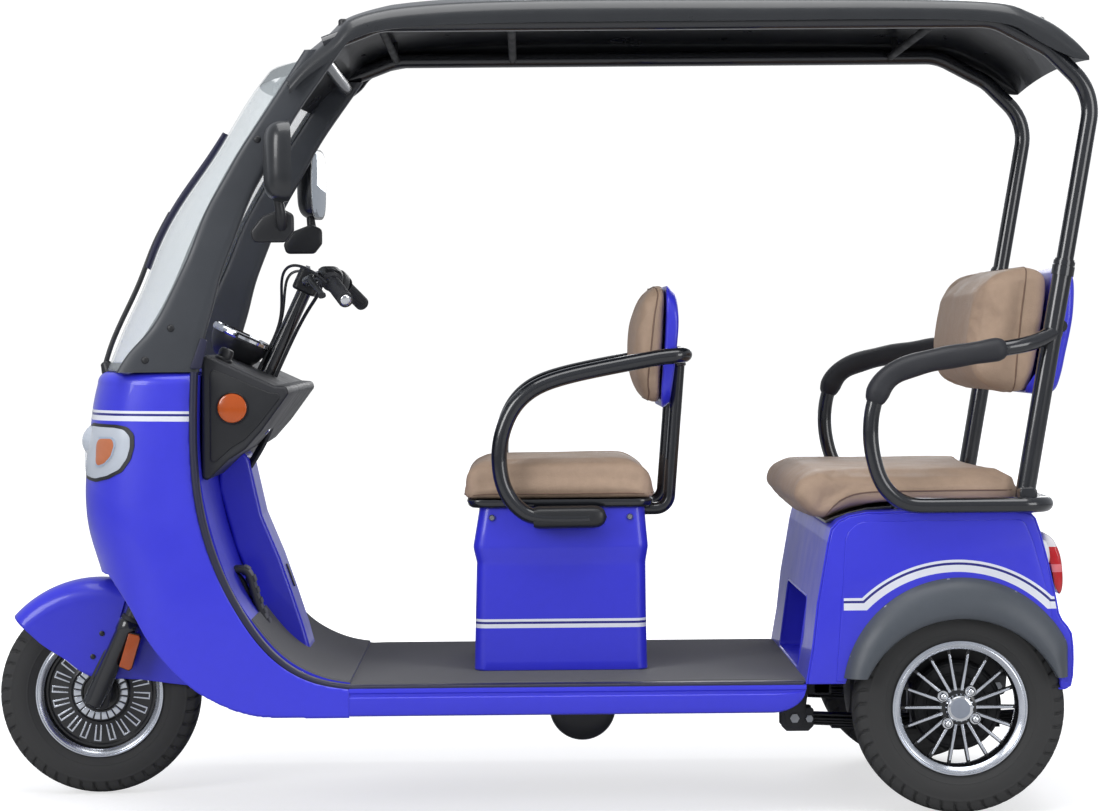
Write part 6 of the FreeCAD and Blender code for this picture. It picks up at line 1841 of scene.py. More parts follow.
@dataclass
class Windscreen:
    """The pillars, the header, the bowed glass, the wiper and the mirrors."""

    foot_x: float = -430
    foot_z: float = 920
    reach: float = 420
    tall: float = 680
    mirror_turn: float = math.radians(15)
    glass_z: tuple = (.001, .128, .276, .382, .538, .66, .765, .863, .93)
    centre: tuple = (1.134, 1.06, .95, .883, .74, .598, .493, .393, .308)
    side: tuple = (.997, .836, .70, .626, .505, .393, .281, .176, .106)

    def build(self) -> None:
        """Make the windscreen's parts."""
        self.pillars()
        self.glass()
        self.wiper()
        self.mirrors()

    def pillars(self) -> None:
        """Loft each pillar between its front and rear edges with rounded sides."""
        front = smooth_curve(curve_of(PILLAR_FRONT, self.foot_x, self.foot_z, self.reach,
                                      self.tall), 90)
        rear = smooth_curve(curve_of(PILLAR_REAR, self.foot_x, self.foot_z, self.reach,
                                     self.tall), 90)
        middle, half = (front + rear) / 2, (front - rear) / 2
        deep = np.linalg.norm(half, axis=1, keepdims=True)
        across = half / deep
        outline = rounded_rect(2, 2, 0.42, 7)
        parts = []
        for y in (-389, 389):
            edge = outline[None, :, 0] * deep
            points = np.stack([middle[:, :1] + across[:, :1] * edge,
                               y + 15.5 * outline[None, :, 1] * np.ones_like(edge),
                               middle[:, 1:] + across[:, 1:] * edge], -1)
            parts.append(MAKE.grid("pillar", points * MM, close_v=True, cap_u=True, sharp=40,
                                   recalc=True))
        MAKE.fit("windscreen_pillars", parts, PILLAR_GREY, "dark_plastic", ["windscreen_frame"])
        plugs = [MAKE.lathe("plug", [(0.4, 407), (5, 407), (6.6, 406), (7.6, 404.5), (7.6, 403),
                                     (0.4, 403)], (x * MM, 0, z * MM), 32, way)
                 for x, z in ((-790, 945), (-737, 1010), (-556, 1394)) for way in (1, -1)]
        MAKE.fit("pillar_plugs", plugs, SATIN_BLACK, "dark_plastic")
        notch = mm([(-700, 926), (-676, 926), (-662, 985), (-676, 990), (-690, 950)])
        caps = [MAKE.prism("notch", rounded_path(notch, 0.004, True, 4), way * 0.3995, way * 0.4065,
                           0.0015) for way in (1, -1)]
        MAKE.fit("pillar_notches", caps, NAVY, "dark_plastic")
        bar = MAKE.tube("windscreen_header", mm([(-421, -376, 1561), (-421, 376, 1561)]), 0.015,
                        sides=36)
        MAKE.place(bar, GLOSS_BLACK, "frame_paint")

    def surface(self, y: Array, v: Array, lift: float = 0.0) -> Array:
        """Give glass points in millimetres: each level is a parabola from side to side.

        Args:
            y: widths, any shape.
            v: place from the foot (0) to the top (1).
            lift: how far the point stands ahead of the glass.

        Returns:
            Points with a last axis of three.
        """
        table = np.column_stack([self.glass_z, self.centre, self.side]).astype(float)
        line = smooth_curve(table * (self.tall, self.reach, self.reach), 300)
        k = np.linspace(0, 1, 300)
        z, middle, edge = (np.interp(v, k, line[:, c]) for c in range(3))
        bow = (np.abs(y) / 384) ** 2.2
        x = self.foot_x - (middle + (edge - 5.8 - middle) * bow)
        return np.stack([x - lift, y + 0 * x, self.foot_z + z + lift * 0.5], -1)

    def glass(self) -> None:
        """Make the bowed glass and its dark ceramic border."""
        y, v = np.meshgrid(np.linspace(-386, 386, 90), np.linspace(0, 1, 90), indexing="ij")
        sheet = MAKE.grid("windscreen_glass_sheet", self.surface(y, v) * MM, sharp=60)
        MAKE.thicken(sheet, 0.005, -1)
        MAKE.place(sheet, GLASS, "screen_glass", ["windscreen_glass"])
        strips = []
        for low, high in ((0.0, 0.028), (0.955, 1.0)):
            y, v = np.meshgrid(np.linspace(-384, 384, 80), np.linspace(low, high, 5), indexing="ij")
            strips.append(MAKE.grid("band", self.surface(y, v, 1.2) * MM, sharp=60))
        for way in (1, -1):
            y, v = np.meshgrid(np.linspace(366, 388, 5) * way, np.linspace(0, 1, 90), indexing="ij")
            strips.append(MAKE.grid("band", self.surface(y, v, 1.4) * MM, sharp=60))
        for strip in strips:
            MAKE.thicken(strip, 0.0022, 0)
        MAKE.fit("windscreen_border", strips, SATIN_BLACK, "dark_plastic")

    def wiper(self) -> None:
        """Make the wiper: hub, arm, blade holder and rubber."""
        hub = MAKE.lathe("hub", [(0.4, 22), (7, 22), (11, 19), (12.5, 12), (15, 2), (15, -4),
                                 (0.4, -4)], (0, 0, 0), 32, axis="z")
        moved(hub, Matrix.Translation((-0.905, -0.120, 0.920)) @ Matrix.Rotation(-0.35, 4, "Y"))
        v = np.linspace(0.0, 0.50, 70)
        lift = 15 - 3 * v
        arm_points = np.array([self.surface(np.array(-120.0), np.array(k), float(h))
                               for k, h in zip(v, lift)])
        arm_points[0] = (-912, -120, 934)
        arm = MAKE.sweep("arm", smooth_curve(arm_points[[0, 10, 25, 40, 55, 69]], 70) * MM,
                         superellipse(0.0055, 0.003, 3, 16), up=ACROSS, sharp=50)
        metal = MAKE.joined("wiper_arm", [hub, arm])
        MAKE.place(metal, SATIN_BLACK, "dark_plastic", ["windscreen_wiper"])
        v = np.linspace(0.33, 0.78, 80)
        holder = np.array([self.surface(np.array(-121.0), np.array(k), 11.0) for k in v]) * MM
        rubber = np.array([self.surface(np.array(-121.0), np.array(k), 5.0) for k in v]) * MM
        taper = 0.35 + 0.65 * np.sin(np.linspace(0.12, math.pi - 0.12, 80)) ** 0.4
        parts = [MAKE.sweep("holder", holder, superellipse(0.0062, 0.0042, 3, 18),
                            up=ACROSS, scale=taper, sharp=50),
                 MAKE.sweep("rubber", rubber, superellipse(0.0028, 0.0060, 2.5, 14),
                            up=ACROSS, sharp=50)]
        MAKE.fit("wiper_blade", parts, NAVY, "soft_black")

    def mirrors(self) -> None:
        """Make both mirrors: base, bent arm, domed shell and glass."""
        shells, glasses, arms = [], [], []
        for way in (1, -1):
            t = np.linspace(0, 1, 26)
            x = -492 - 44 * t
            grow = np.sqrt(np.maximum(1 - (t * 0.985) ** 2.6, 0.0))
            outline = superellipse(53.5, 82, 3.4, 72)
            centre = np.array([0, way * 465, 1345.5])
            points = np.stack([x[:, None] * np.ones(72), centre[1] + outline[None, :, 0]
                               * grow[:, None] ** 0.55, centre[2] + outline[None, :, 1]
                               * grow[:, None] ** 0.4], -1)
            pivot = Matrix.Translation((-0.510, way * 0.465, 0))
            turn = pivot @ Matrix.Rotation(-way * self.mirror_turn, 4, "Z") @ pivot.inverted()
            shells.append(moved(MAKE.grid("shell", points * MM, close_v=True, cap_u=True,
                                          sharp=50, recalc=True), turn))
            rim = superellipse(49, 77, 3.4, 64) * MM + np.array([way * 0.465, 1.3455])
            glasses.append(moved(MAKE.prism("glass", rim, -0.4935, -0.4912, 0.0006, axis="x"),
                                 turn))
            foot = rounded_path(mm([(-566, 1183), (-500, 1183), (-482, 1206), (-482, 1240),
                                    (-506, 1252), (-548, 1236), (-572, 1206)]), 0.012, True, 5)
            arms.append(MAKE.prism("foot", foot, way * 0.4045, way * 0.424, 0.006))
            route = mm([(-507, way * 416, 1215), (-507, way * 436, 1236), (-510, way * 441, 1262),
                        (-513, way * 452, 1285)])
            arms.append(MAKE.sweep("stalk", smooth_curve(route, 40), circle(28) * 0.0085,
                                   scale=np.linspace(1.5, 1.0, 40), sharp=60))
        MAKE.fit("mirror_shells", shells, ROOF_BLACK, "dark_plastic", ["mirror_heads"])
        MAKE.fit("mirror_glasses", glasses, MIRROR, "bright_steel")
        MAKE.fit("mirror_arms", arms, SATIN_BLACK, "frame_paint", ["mirror_stalks"])


@dataclass
class Roof:
    """The moulded roof and the tubes that hold it up."""

    start: float = -552
    length: float = 1692
    level: float = 1672
    drop: float = 131
    half: float = 435
    crown: float = 40
    table: tuple = ((0, -1.22, -1.44), (.0307, -.87, -1.14), (.0798, -.41, -.78),
                    (.1318, -.15, -.49), (.2314, -.015, -.382), (.5626, .015, -.351),
                    (.867, -.055, -.382), (.9226, -.176, -.56), (.9592, -.41, -.84),
                    (.9882, -.72, -.99), (1, -.93, -1))

    def build(self) -> None:
        """Make the roof, its plugs and its tubes."""
        self.panel()
        self.tubes()

    def edge(self, share: Array, column: int) -> Array:
        """Give the top (1) or bottom (2) edge height along the roof, in millimetres.

        Args:
            share: place along the roof, 0 to 1.
            column: the table's column.

        Returns:
            Heights in millimetres.
        """
        line = smooth_curve(self.table, 400)
        return self.level + self.drop * np.interp(share, line[:, 0], line[:, column])

    def panel(self) -> None:
        """Make the roof's closed section at each place along it.

        From the lower lip the section goes up the side band, round the corner and over a
        parabolic crown; it comes back inside at the wall's distance. The front edge is bowed.
        """
        share = np.r_[0, np.linspace(0.004, 0.16, 34), np.linspace(0.18, 0.84, 30),
                      np.linspace(0.86, 0.996, 34), 1]
        top, low = self.edge(share, 1), self.edge(share, 2)
        tall = np.maximum(top - low, 9)
        corner = np.minimum(34, tall * 0.72)
        phi = np.linspace(0, math.pi / 2, 10)
        rows = []
        wall = 9.0
        for k, s in enumerate(share):
            r = corner[k]
            dome = self.crown * min(1.0, 0.35 + 4.2 * s, 0.35 + 6 * (1 - s))
            arc_y = self.half - r + r * np.cos(phi)
            arc_z = top[k] - r + r * np.sin(phi)
            y = np.linspace(self.half - r, 0, 26)[1:]
            z = top[k] + dome * (1 - (y / (self.half - r)) ** 2)
            side_z = np.linspace(low[k], top[k] - r, 8)[:-1]
            out = np.column_stack([np.r_[np.full(7, self.half), arc_y, y], np.r_[side_z, arc_z, z]])
            full = np.vstack([out, out[-2::-1] * (-1, 1)])
            slope = unit(np.gradient(full, axis=0))
            inner = full - np.column_stack([slope[:, 1], -slope[:, 0]]) * wall
            inner[:, 1] = np.maximum(inner[:, 1], low[k])
            rows.append(np.vstack([full, inner[::-1]]))
        section = np.array(rows)
        bow = 79 * (np.abs(section[..., 0]) / 475) ** 2 * np.clip(1 - share[:, None] * 6, 0, 1)
        x = self.start + self.length * share[:, None] + bow
        points = np.stack([x, section[..., 0], section[..., 1]], -1) * MM
        piece = MAKE.grid("roof_shell", points, close_v=True, cap_u=False, sharp=40, recalc=True)
        MAKE.place(piece, ROOF_BLACK, "dark_plastic", ["roof_panel"])
        skin = points[:, :len(full)].reshape(-1, 3)
        spots = [skin[np.linalg.norm(skin[:, :2] - (x, y), axis=1).argmin()]
                 for x in (-0.38, 0.36, 1.06) for y in (-0.33, 0.33)]
        plugs = [MAKE.lathe("plug", [(0.4, 5), (6, 5), (9, 3), (10, 0), (10, -8), (0.4, -8)],
                            tuple(spot), 28, axis="z") for spot in spots]
        MAKE.fit("roof_plugs", plugs, SATIN_BLACK, "dark_plastic")

    def tubes(self) -> None:
        """Make the hoops with their side rails, and the cross bars with their studs."""
        hoops = []
        for y in (-405, 405):
            route = mm([(1091.9, y, 1125), (1153.8, y, 1476), (1061.8, y, 1567.9), (948, y, 1628),
                        (-305, y, 1628), (-418, y, 1585)])
            hoops.append(MAKE.tube("hoop", route, 0.0175, 0.110, 36, 16))
        bars = [MAKE.tube("bar", mm([(x, -400, 1628), (x, 400, 1628)]), 0.0088, sides=24)
                for x in (-305, -36, 838)]
        studs = [MAKE.tube("stud", mm([(x, y, 1628), (x, y, 1666)]), 0.0063, sides=16)
                 for x in (-305, -36, 838) for y in (-315.9, 315.9)]
        # The bars and studs wear a darker black than the hoops: painted shade under the roof.
        MAKE.fit("roof_bars", bars + studs, PAINTED_SHADE_BLACK, "frame_paint")
        MAKE.fit("roof_tubes", hoops, GLOSS_BLACK, "frame_paint", ["roof_frame"])


def loop_curve(points: Sequence, rounds: int = 3) -> Array:
    """Round a closed outline through its own points.

    Each new point is 9/16 of the sum of its two neighbours less 1/16 of that of the next two.

    Args:
        points: the outline, shape (n, d).
        rounds: how often the number of points doubles.

    Returns:
        The rounded outline.
    """
    line = np.asarray(points, float)
    for _ in range(rounds):
        between = (9 * (line + np.roll(line, -1, 0)) - np.roll(line, 1, 0)
                   - np.roll(line, -2, 0)) / 16
        line = np.stack([line, between], 1).reshape(-1, line.shape[1])
    return line


def lofted(levels: Sequence, corner: float, steps: int = 7) -> Array:
    """Stack rounded rectangles: each level is (z, low x, high x, half width) in millimetres.

    Args:
        levels: (z, low x, high x, half width) of each level.
        corner: radius of the corners in millimetres.
        steps: points on each corner.

    Returns:
        Grid of points in metres, shape (levels, n, 3).
    """
    rings = [np.column_stack([rounded_rect(x1 - x0, 2 * half, corner, steps) * MM
                              + (0.0005 * (x0 + x1), 0),
                              np.full(4 * steps, z * MM)]) for z, x0, x1, half in levels]
    return np.stack(rings)


@dataclass
class Pad:
    """A stuffed pad or its moulded back, drawn as a side outline carried across the seat.

    At a distance d from an end, the outline shrinks towards its middle by
    r - sqrt(r^2 - (r - d)^2), with one r for its depth and one for its height.
    """

    name: str
    outline: Sequence
    half: float
    round_x: float
    round_z: float
    tight: float = 0.0

    def points(self) -> Array:
        """Give the pad's surface grid.

        Returns:
            Points in metres, shape (stations, outline points, 3).
        """
        loop = loop_curve(self.outline)
        reach = self.half - self.tight
        most = max(self.round_x, self.round_z)
        turn = np.sin(np.linspace(0, math.pi / 2, 12))
        ends = reach - most + most * turn
        middle = np.linspace(-(reach - most), reach - most, 24)[1:-1]
        y = np.r_[-ends[::-1], middle, ends]
        low, high = loop.min(0), loop.max(0)
        centre, size = (low + high) / 2, (high - low) / 2
        radii = np.array([self.round_x, self.round_z])
        near = np.minimum(reach - np.abs(y)[:, None], radii)
        inset = radii - np.sqrt(np.maximum(radii**2 - (radii - near) ** 2, 0)) + self.tight
        factor = np.maximum(1 - inset / size, 0.06)
        flat = centre + (loop - centre) * factor[:, None]
        across = np.broadcast_to(y[:, None, None], flat.shape[:2] + (1,))
        return np.concatenate([flat[..., :1], across, flat[..., 1:]], -1) * MM

    def surface(self) -> Piece:
        """Make the pad's closed mesh."""
        return MAKE.grid(self.name, self.points(), close_v=True, cap_u=True, sharp=60, recalc=True)


@dataclass
class Cushion(Pad):
    """A leather cushion, filled by a short cloth run with its seams held."""

    swell: float = 10.0
    voxel: float = 6.0
    seams: Sequence = ()
    rest: Callable[[Array], Array] | None = None
    finer: int = 1

    def build(self, nodes: Sequence[str], fill: float) -> Piece:
        """Make the cushion and its piping.

        Args:
            nodes: CAD nodes that it stands for.
            fill: not used.

        Returns:
            The cushion.
        """
        self.tight = self.swell * 0.55
        piece = self.surface()
        self.stuff(piece)
        MAKE.place(piece, HIDE, "seat_leather", nodes)
        self.piping(piece)
        return piece

    def stuff(self, piece: Piece) -> None:
        """Swell the pad by pressure for twenty frames, then keep the shape.

        Points near a seam and points that rest on something are held.

        Args:
            piece: the pad, whose mesh is replaced.
        """
        remesh = piece.modifiers.new("even", "REMESH")
        remesh.mode, remesh.voxel_size, remesh.use_smooth_shade = "VOXEL", self.voxel * MM, True
        graph = bpy.context.evaluated_depsgraph_get()
        even = bpy.data.meshes.new_from_object(piece.evaluated_get(graph))
        piece.modifiers.clear()
        piece.data = even
        start = coordinates(even)
        held = piece.vertex_groups.new(name="held")
        held.add(np.flatnonzero(self.held(start)).tolist(), 1.0, "REPLACE")
        cloth = piece.modifiers.new("stuffing", "CLOTH")
        cloth.settings.quality = 4
        cloth.settings.use_pressure = True
        cloth.settings.uniform_pressure_force = 4.0
        cloth.settings.vertex_group_mass = "held"
        cloth.settings.tension_stiffness = cloth.settings.compression_stiffness = 12
        cloth.settings.effector_weights.gravity = 0
        frames = 20
        cloth.point_cache.frame_start, cloth.point_cache.frame_end = 1, frames
        for step in range(1, frames + 1):
            bpy.context.scene.frame_set(step)
        graph = bpy.context.evaluated_depsgraph_get()
        swollen = coordinates(piece.evaluated_get(graph).to_mesh())
        piece.modifiers.clear()
        piece.vertex_groups.clear()
        bpy.context.scene.frame_set(1)
        move = swollen - start
        length = np.linalg.norm(move, axis=1, keepdims=True)
        cap = self.swell * MM
        move *= np.minimum(1.0, cap / np.maximum(length, 1e-9))
        even.vertices.foreach_set("co", (start + move).astype(np.float32).ravel())
        even.update()
        even.shade_smooth()
        smooth = piece.modifiers.new("even_out", "SMOOTH")
        smooth.factor, smooth.iterations = 0.5, 4
        if self.finer:
            MAKE.subdivide(piece, self.finer)
        LOG.info("%s filled, %d points, widest move %.1f mm", self.name, len(start),
                 1000 * float(length.max()))

    def held(self, points: Array) -> Array:
        """Tell which points a seam or a support holds.

        Args:
            points: points in metres, shape (n, 3).

        Returns:
            A mask, shape (n,).
        """
        mask = np.zeros(len(points), bool)
        for seam in self.seam_lines():
            line = resampled(seam, 260)
            for part in np.array_split(line, 8):
                away = np.linalg.norm(points[:, None] - part[None], axis=2).min(1)
                mask |= away < self.voxel * 0.0011
        return mask | self.rest(points) if self.rest is not None else mask

    def seam_lines(self) -> list[Array]:
        """Give each seam's route in metres, at the pad's starting size."""
        return [np.asarray(line, float) * MM for line in self.seams]

    def piping(self, piece: Piece) -> None:
        """Lay thin piping in each seam, dropped onto the finished surface.

        Args:
            piece: the cushion.
        """
        graph = bpy.context.evaluated_depsgraph_get()
        graph.update()
        data = piece.evaluated_get(graph).to_mesh()
        tree = BVHTree.FromPolygons(coordinates(data).tolist(),
                                    [list(face.vertices) for face in data.polygons])
        parts = []
        for number, seam in enumerate(self.seam_lines()):
            hits = [tree.find_nearest(point) for point in resampled(seam, 150).tolist()]
            line = np.array([tuple(hit[0] + hit[1] * 0.0002) for hit in hits])
            if np.linalg.norm(line[0] - line[-1]) < 0.004:
                line = line[:-1]
                smooth = (np.roll(line, 1, 0) + 2 * line + np.roll(line, -1, 0)) / 4
                parts.append(MAKE.sweep(f"part_{number}", smooth, circle(8) * 0.0016, closed=True,
                                        sharp=80))
            else:
                parts.append(MAKE.sweep(f"part_{number}", line, circle(8) * 0.0016, sharp=80))
        MAKE.fit(f"{self.name}_piping", parts, THREAD, "seat_leather")


def ring_seam(x0: float, x1: float, half: float, z: float, corner: float) -> Array:
    """Give a level rounded loop in millimetres, closed on itself.

    Args:
        x0: its low x.
        x1: its high x.
        half: half its width.
        z: its height.
        corner: its corner radius.

    Returns:
        Points in millimetres, shape (n, 3).
    """
    loop = rounded_rect(x1 - x0, 2 * half, corner, 10) + ((x0 + x1) / 2, 0)
    flat = np.column_stack([loop, np.full(len(loop), z)])
    return np.vstack([flat, flat[:1]])


def shares(x: float, z: float, wide: float, tall: float, table: Sequence) -> Array:
    """Give an outline in millimetres from shares of its box."""
    return np.array([(x + wide * a, z + tall * b) for a, b in table])


@dataclass
class MiddleSeat:
    """The driver's seat in the middle: painted pedestal, cushion, arms and backrest."""

    corner: float = 26.0
    arm_radius: float = 0.0168
    post_radius: float = 0.013

    def build(self) -> None:
        """Make every piece of the seat."""
        self.pedestal()
        self.base()
        self.frame()
        self.cushions()

    def pedestal(self) -> None:
        """Stack the pedestal's sections, with its waist line and its flared shoulder."""
        levels = [(280.4, -124, 241, 208), (283, -125.5, 242, 209), (300, -125, 241, 208.5),
                  (400, -122.5, 240, 207), (500, -119.5, 239.5, 205), (507, -119, 239.6, 205),
                  (512, -120, 240.2, 205.6), (536, -125.4, 244.2, 209.4), (541, -126, 244.7, 209.8),
                  (547, -125.6, 244.3, 209.5), (585, -119, 241, 205.5), (618, -113.5, 238.6, 202),
                  (623.5, -113, 238, 201), (624.6, -115, 236, 199)]
        piece = MAKE.grid("pedestal_shell", lofted(levels, self.corner), close_v=True, cap_u=True,
                          sharp=24, recalc=True)
        MAKE.place(piece, SEAT_PAINT, "body_paint", ["seat_pedestal"])
        screws = [MAKE.lathe("part", [(0, 5.4), (5, 5.2), (6.6, 3.4), (7, 0), (0, 0)],
                             mm((x, side * 204.6, 604)), 14, side)
                  for side in (-1, 1) for x in (-86, 206)]
        MAKE.fit("pedestal_screws", screws, STEEL, "bright_steel")

    def base(self) -> None:
        """Make the black tray that the cushion sits in."""
        levels = [(624, -118, 242, 203), (625, -130, 250, 209), (630, -136, 254, 212.5),
                  (640, -139, 256, 214), (642, -138, 255, 213)]
        piece = MAKE.grid("seat_tray", lofted(levels, 34), close_v=True, cap_u=True, sharp=50,
                          recalc=True)
        MAKE.place(piece, GLOSS_BLACK, "dark_plastic", ["seat_base"])

    def frame(self) -> None:
        """Bend the arm tube round both sides and the two back posts, and cap the arm's feet."""
        flat = [(268, 941), (201, 929), (123, 914), (56, 898), (8, 879), (-32, 846), (-56, 803),
                (-68, 754), (-68, 710), (-58, 668), (-36, 634), (-6, 612), (30, 606), (120, 606)]
        bow = rounded_path(mm([(322, 0, 947), (322, 262, 947), (268, 262, 941)]), 0.05, steps=12)
        fall = smooth_curve([(x, 262, z) for x, z in flat], 90) * MM
        right = np.vstack([bow[:-1], fall])
        route = np.vstack([(right * (1, -1, 1))[::-1], right[1:]])
        arm = MAKE.sweep("arm_tube", route, circle(28) * self.arm_radius, sharp=60)
        posts = [MAKE.tube("part", mm([(233, y, 618), (290, y, 618), (316, y, 944)]),
                           self.post_radius, 0.06, 20) for y in (-150, 150)]
        lugs = [MAKE.prism("part", rounded_rect(0.030, 0.036, 0.006) + mm((308, 946)),
                           (y - 13) * MM, (y + 13) * MM, 0.003) for y in (-150, 150)]
        welds = [MAKE.lathe("part", [(13, -5), (16.5, -3), (17.5, 0), (16.5, 3), (13, 5)],
                            mm((313, y, 926)), 20, axis="z") for y in (-150, 150)]
        piece = MAKE.joined("seat_tubes", [arm, *posts, *lugs, *welds])
        MAKE.place(piece, GLOSS_BLACK, "frame_paint", ["seat_frame"])
        feet = [self.foot(side) for side in (-1, 1)]
        MAKE.fit("arm_feet", feet, SATIN_BLACK, "dark_plastic")
        slots = [MAKE.prism("part", rounded_rect(w * MM, 0.005, 0.0024) + mm((x, 604)),
                            (side * 277.2 - 0.4) * MM, (side * 277.2 + 0.4) * MM)
                 for side in (-1, 1) for x, w in ((66, 8), (81, 12), (97, 9))]
        MAKE.fit("arm_foot_slots", slots, STEEL, "bright_steel")

    def foot(self, side: int) -> Piece:
        """Make the moulded cap that closes an arm's foot on the pedestal.

        Args:
            side: -1 for the left and 1 for the right.

        Returns:
            The cap.
        """
        t = np.linspace(0, 1, 28)
        x = 2 + 154 * t
        blunt = np.sqrt(np.maximum(1 - np.maximum((t - 0.80) / 0.20, 0) ** 2.4, 0.0))
        start = np.minimum(1, 0.86 + t / 0.06 * 0.14)
        height = (23.5 * blunt * start).clip(1.5)
        drop = 606.5 + 1.0 * t
        path = np.column_stack([x, np.full_like(x, side * 246), drop]) * MM
        profile = superellipse(32, 1, 3.6, 28) * MM
        wide = (0.55 + 0.45 * blunt)[:, None, None]
        points = path[:, None] + ACROSS * profile[None, :, :1] * wide \
            + UPWARD * profile[None, :, 1:] * height[:, None, None]
        return MAKE.grid("part", points, close_v=True, cap_u=True, sharp=50, recalc=True)

    def cushions(self) -> None:
        """Make the seat cushion, the backrest cushion and the backrest's painted shell."""
        seat = [(-149, 660), (-149.5, 688), (-136, 712), (-96, 724), (60, 726.3), (196, 726.5),
                (240, 715), (259, 690), (263, 662), (259, 643), (238, 640.6), (60, 640.4),
                (-118, 640.6), (-143, 644)]
        Cushion("seat_cushion_hide", seat, 218, 30, 22, swell=6,
                seams=[ring_seam(-142, 256, 212, 654, 42)],
                rest=lambda p: p[:, 2] < 0.650).build(["seat_cushion"], 0.75)
        back = shares(217, 841.3, 97, 254, ((.18, .05), (0, .24), (-.005, .42), (.02, .60),
                                            (.16, .86), (.34, .97), (.70, 1), (.71, .75),
                                            (.66, .45), (.60, .12), (.56, .0)))
        side = [[(243, y, 850), (254, y, 960), (268, y, 1086)] for y in (-204, 204)]
        loop = smooth_curve(np.vstack([side[0], [(262, -150, 1094), (262, 150, 1094)],
                                       side[1][::-1], [(246, 150, 846), (246, -150, 846),
                                                       (243, -204, 850)]]), 120)
        Cushion("back_cushion_hide", back, 205, 22, 58, swell=8, seams=[loop],
                rest=lambda p: p[:, 0] > 0.217 + 0.097 * (0.55 + 0.15 * (p[:, 2] - 0.841) / 0.254)
                ).build(["backrest_cushion"], 0.7)
        shell = shares(217, 841.3, 97, 254, ((.60, .005), (.68, .45), (.72, .80), (.74, .985),
                                             (.86, .96), (.965, .89), (.985, .68), (.90, .28),
                                             (.82, .05), (.76, .0)))
        piece = Pad("back_shell_skin", shell, 205, 8, 60).surface()
        MAKE.place(piece, LACQUER, "body_paint", ["backrest_shell"])


@dataclass(frozen=True)
class TailPaint(Finish):
    """Tail lamp plastic: clear at the top, red below, with a paler band between."""

    def paint(self, graph: Graph) -> object:
        """Give the colour by height.

        Args:
            graph: the material being built.

        Returns:
            The colour socket.
        """
        _, _, z = graph.axes()
        top = graph.math("GREATER_THAN", z, 0.548)
        band = graph.band(z, 496, 512)
        red = graph.mixed(band, self.colour, linear(226, 120, 126))
        return graph.mixed(top, red, linear(228, 224, 228))


TAIL = TailPaint("tail_lamp_lens", linear(190, 24, 34), 0.14, Grain.LACQUER, coat=0.6)


def mirrored(part: Callable[[int], Piece], name: str) -> Piece:
    """Make a part on the left and on the right and join the two."""
    return MAKE.joined(name, [part(-1), part(1)])


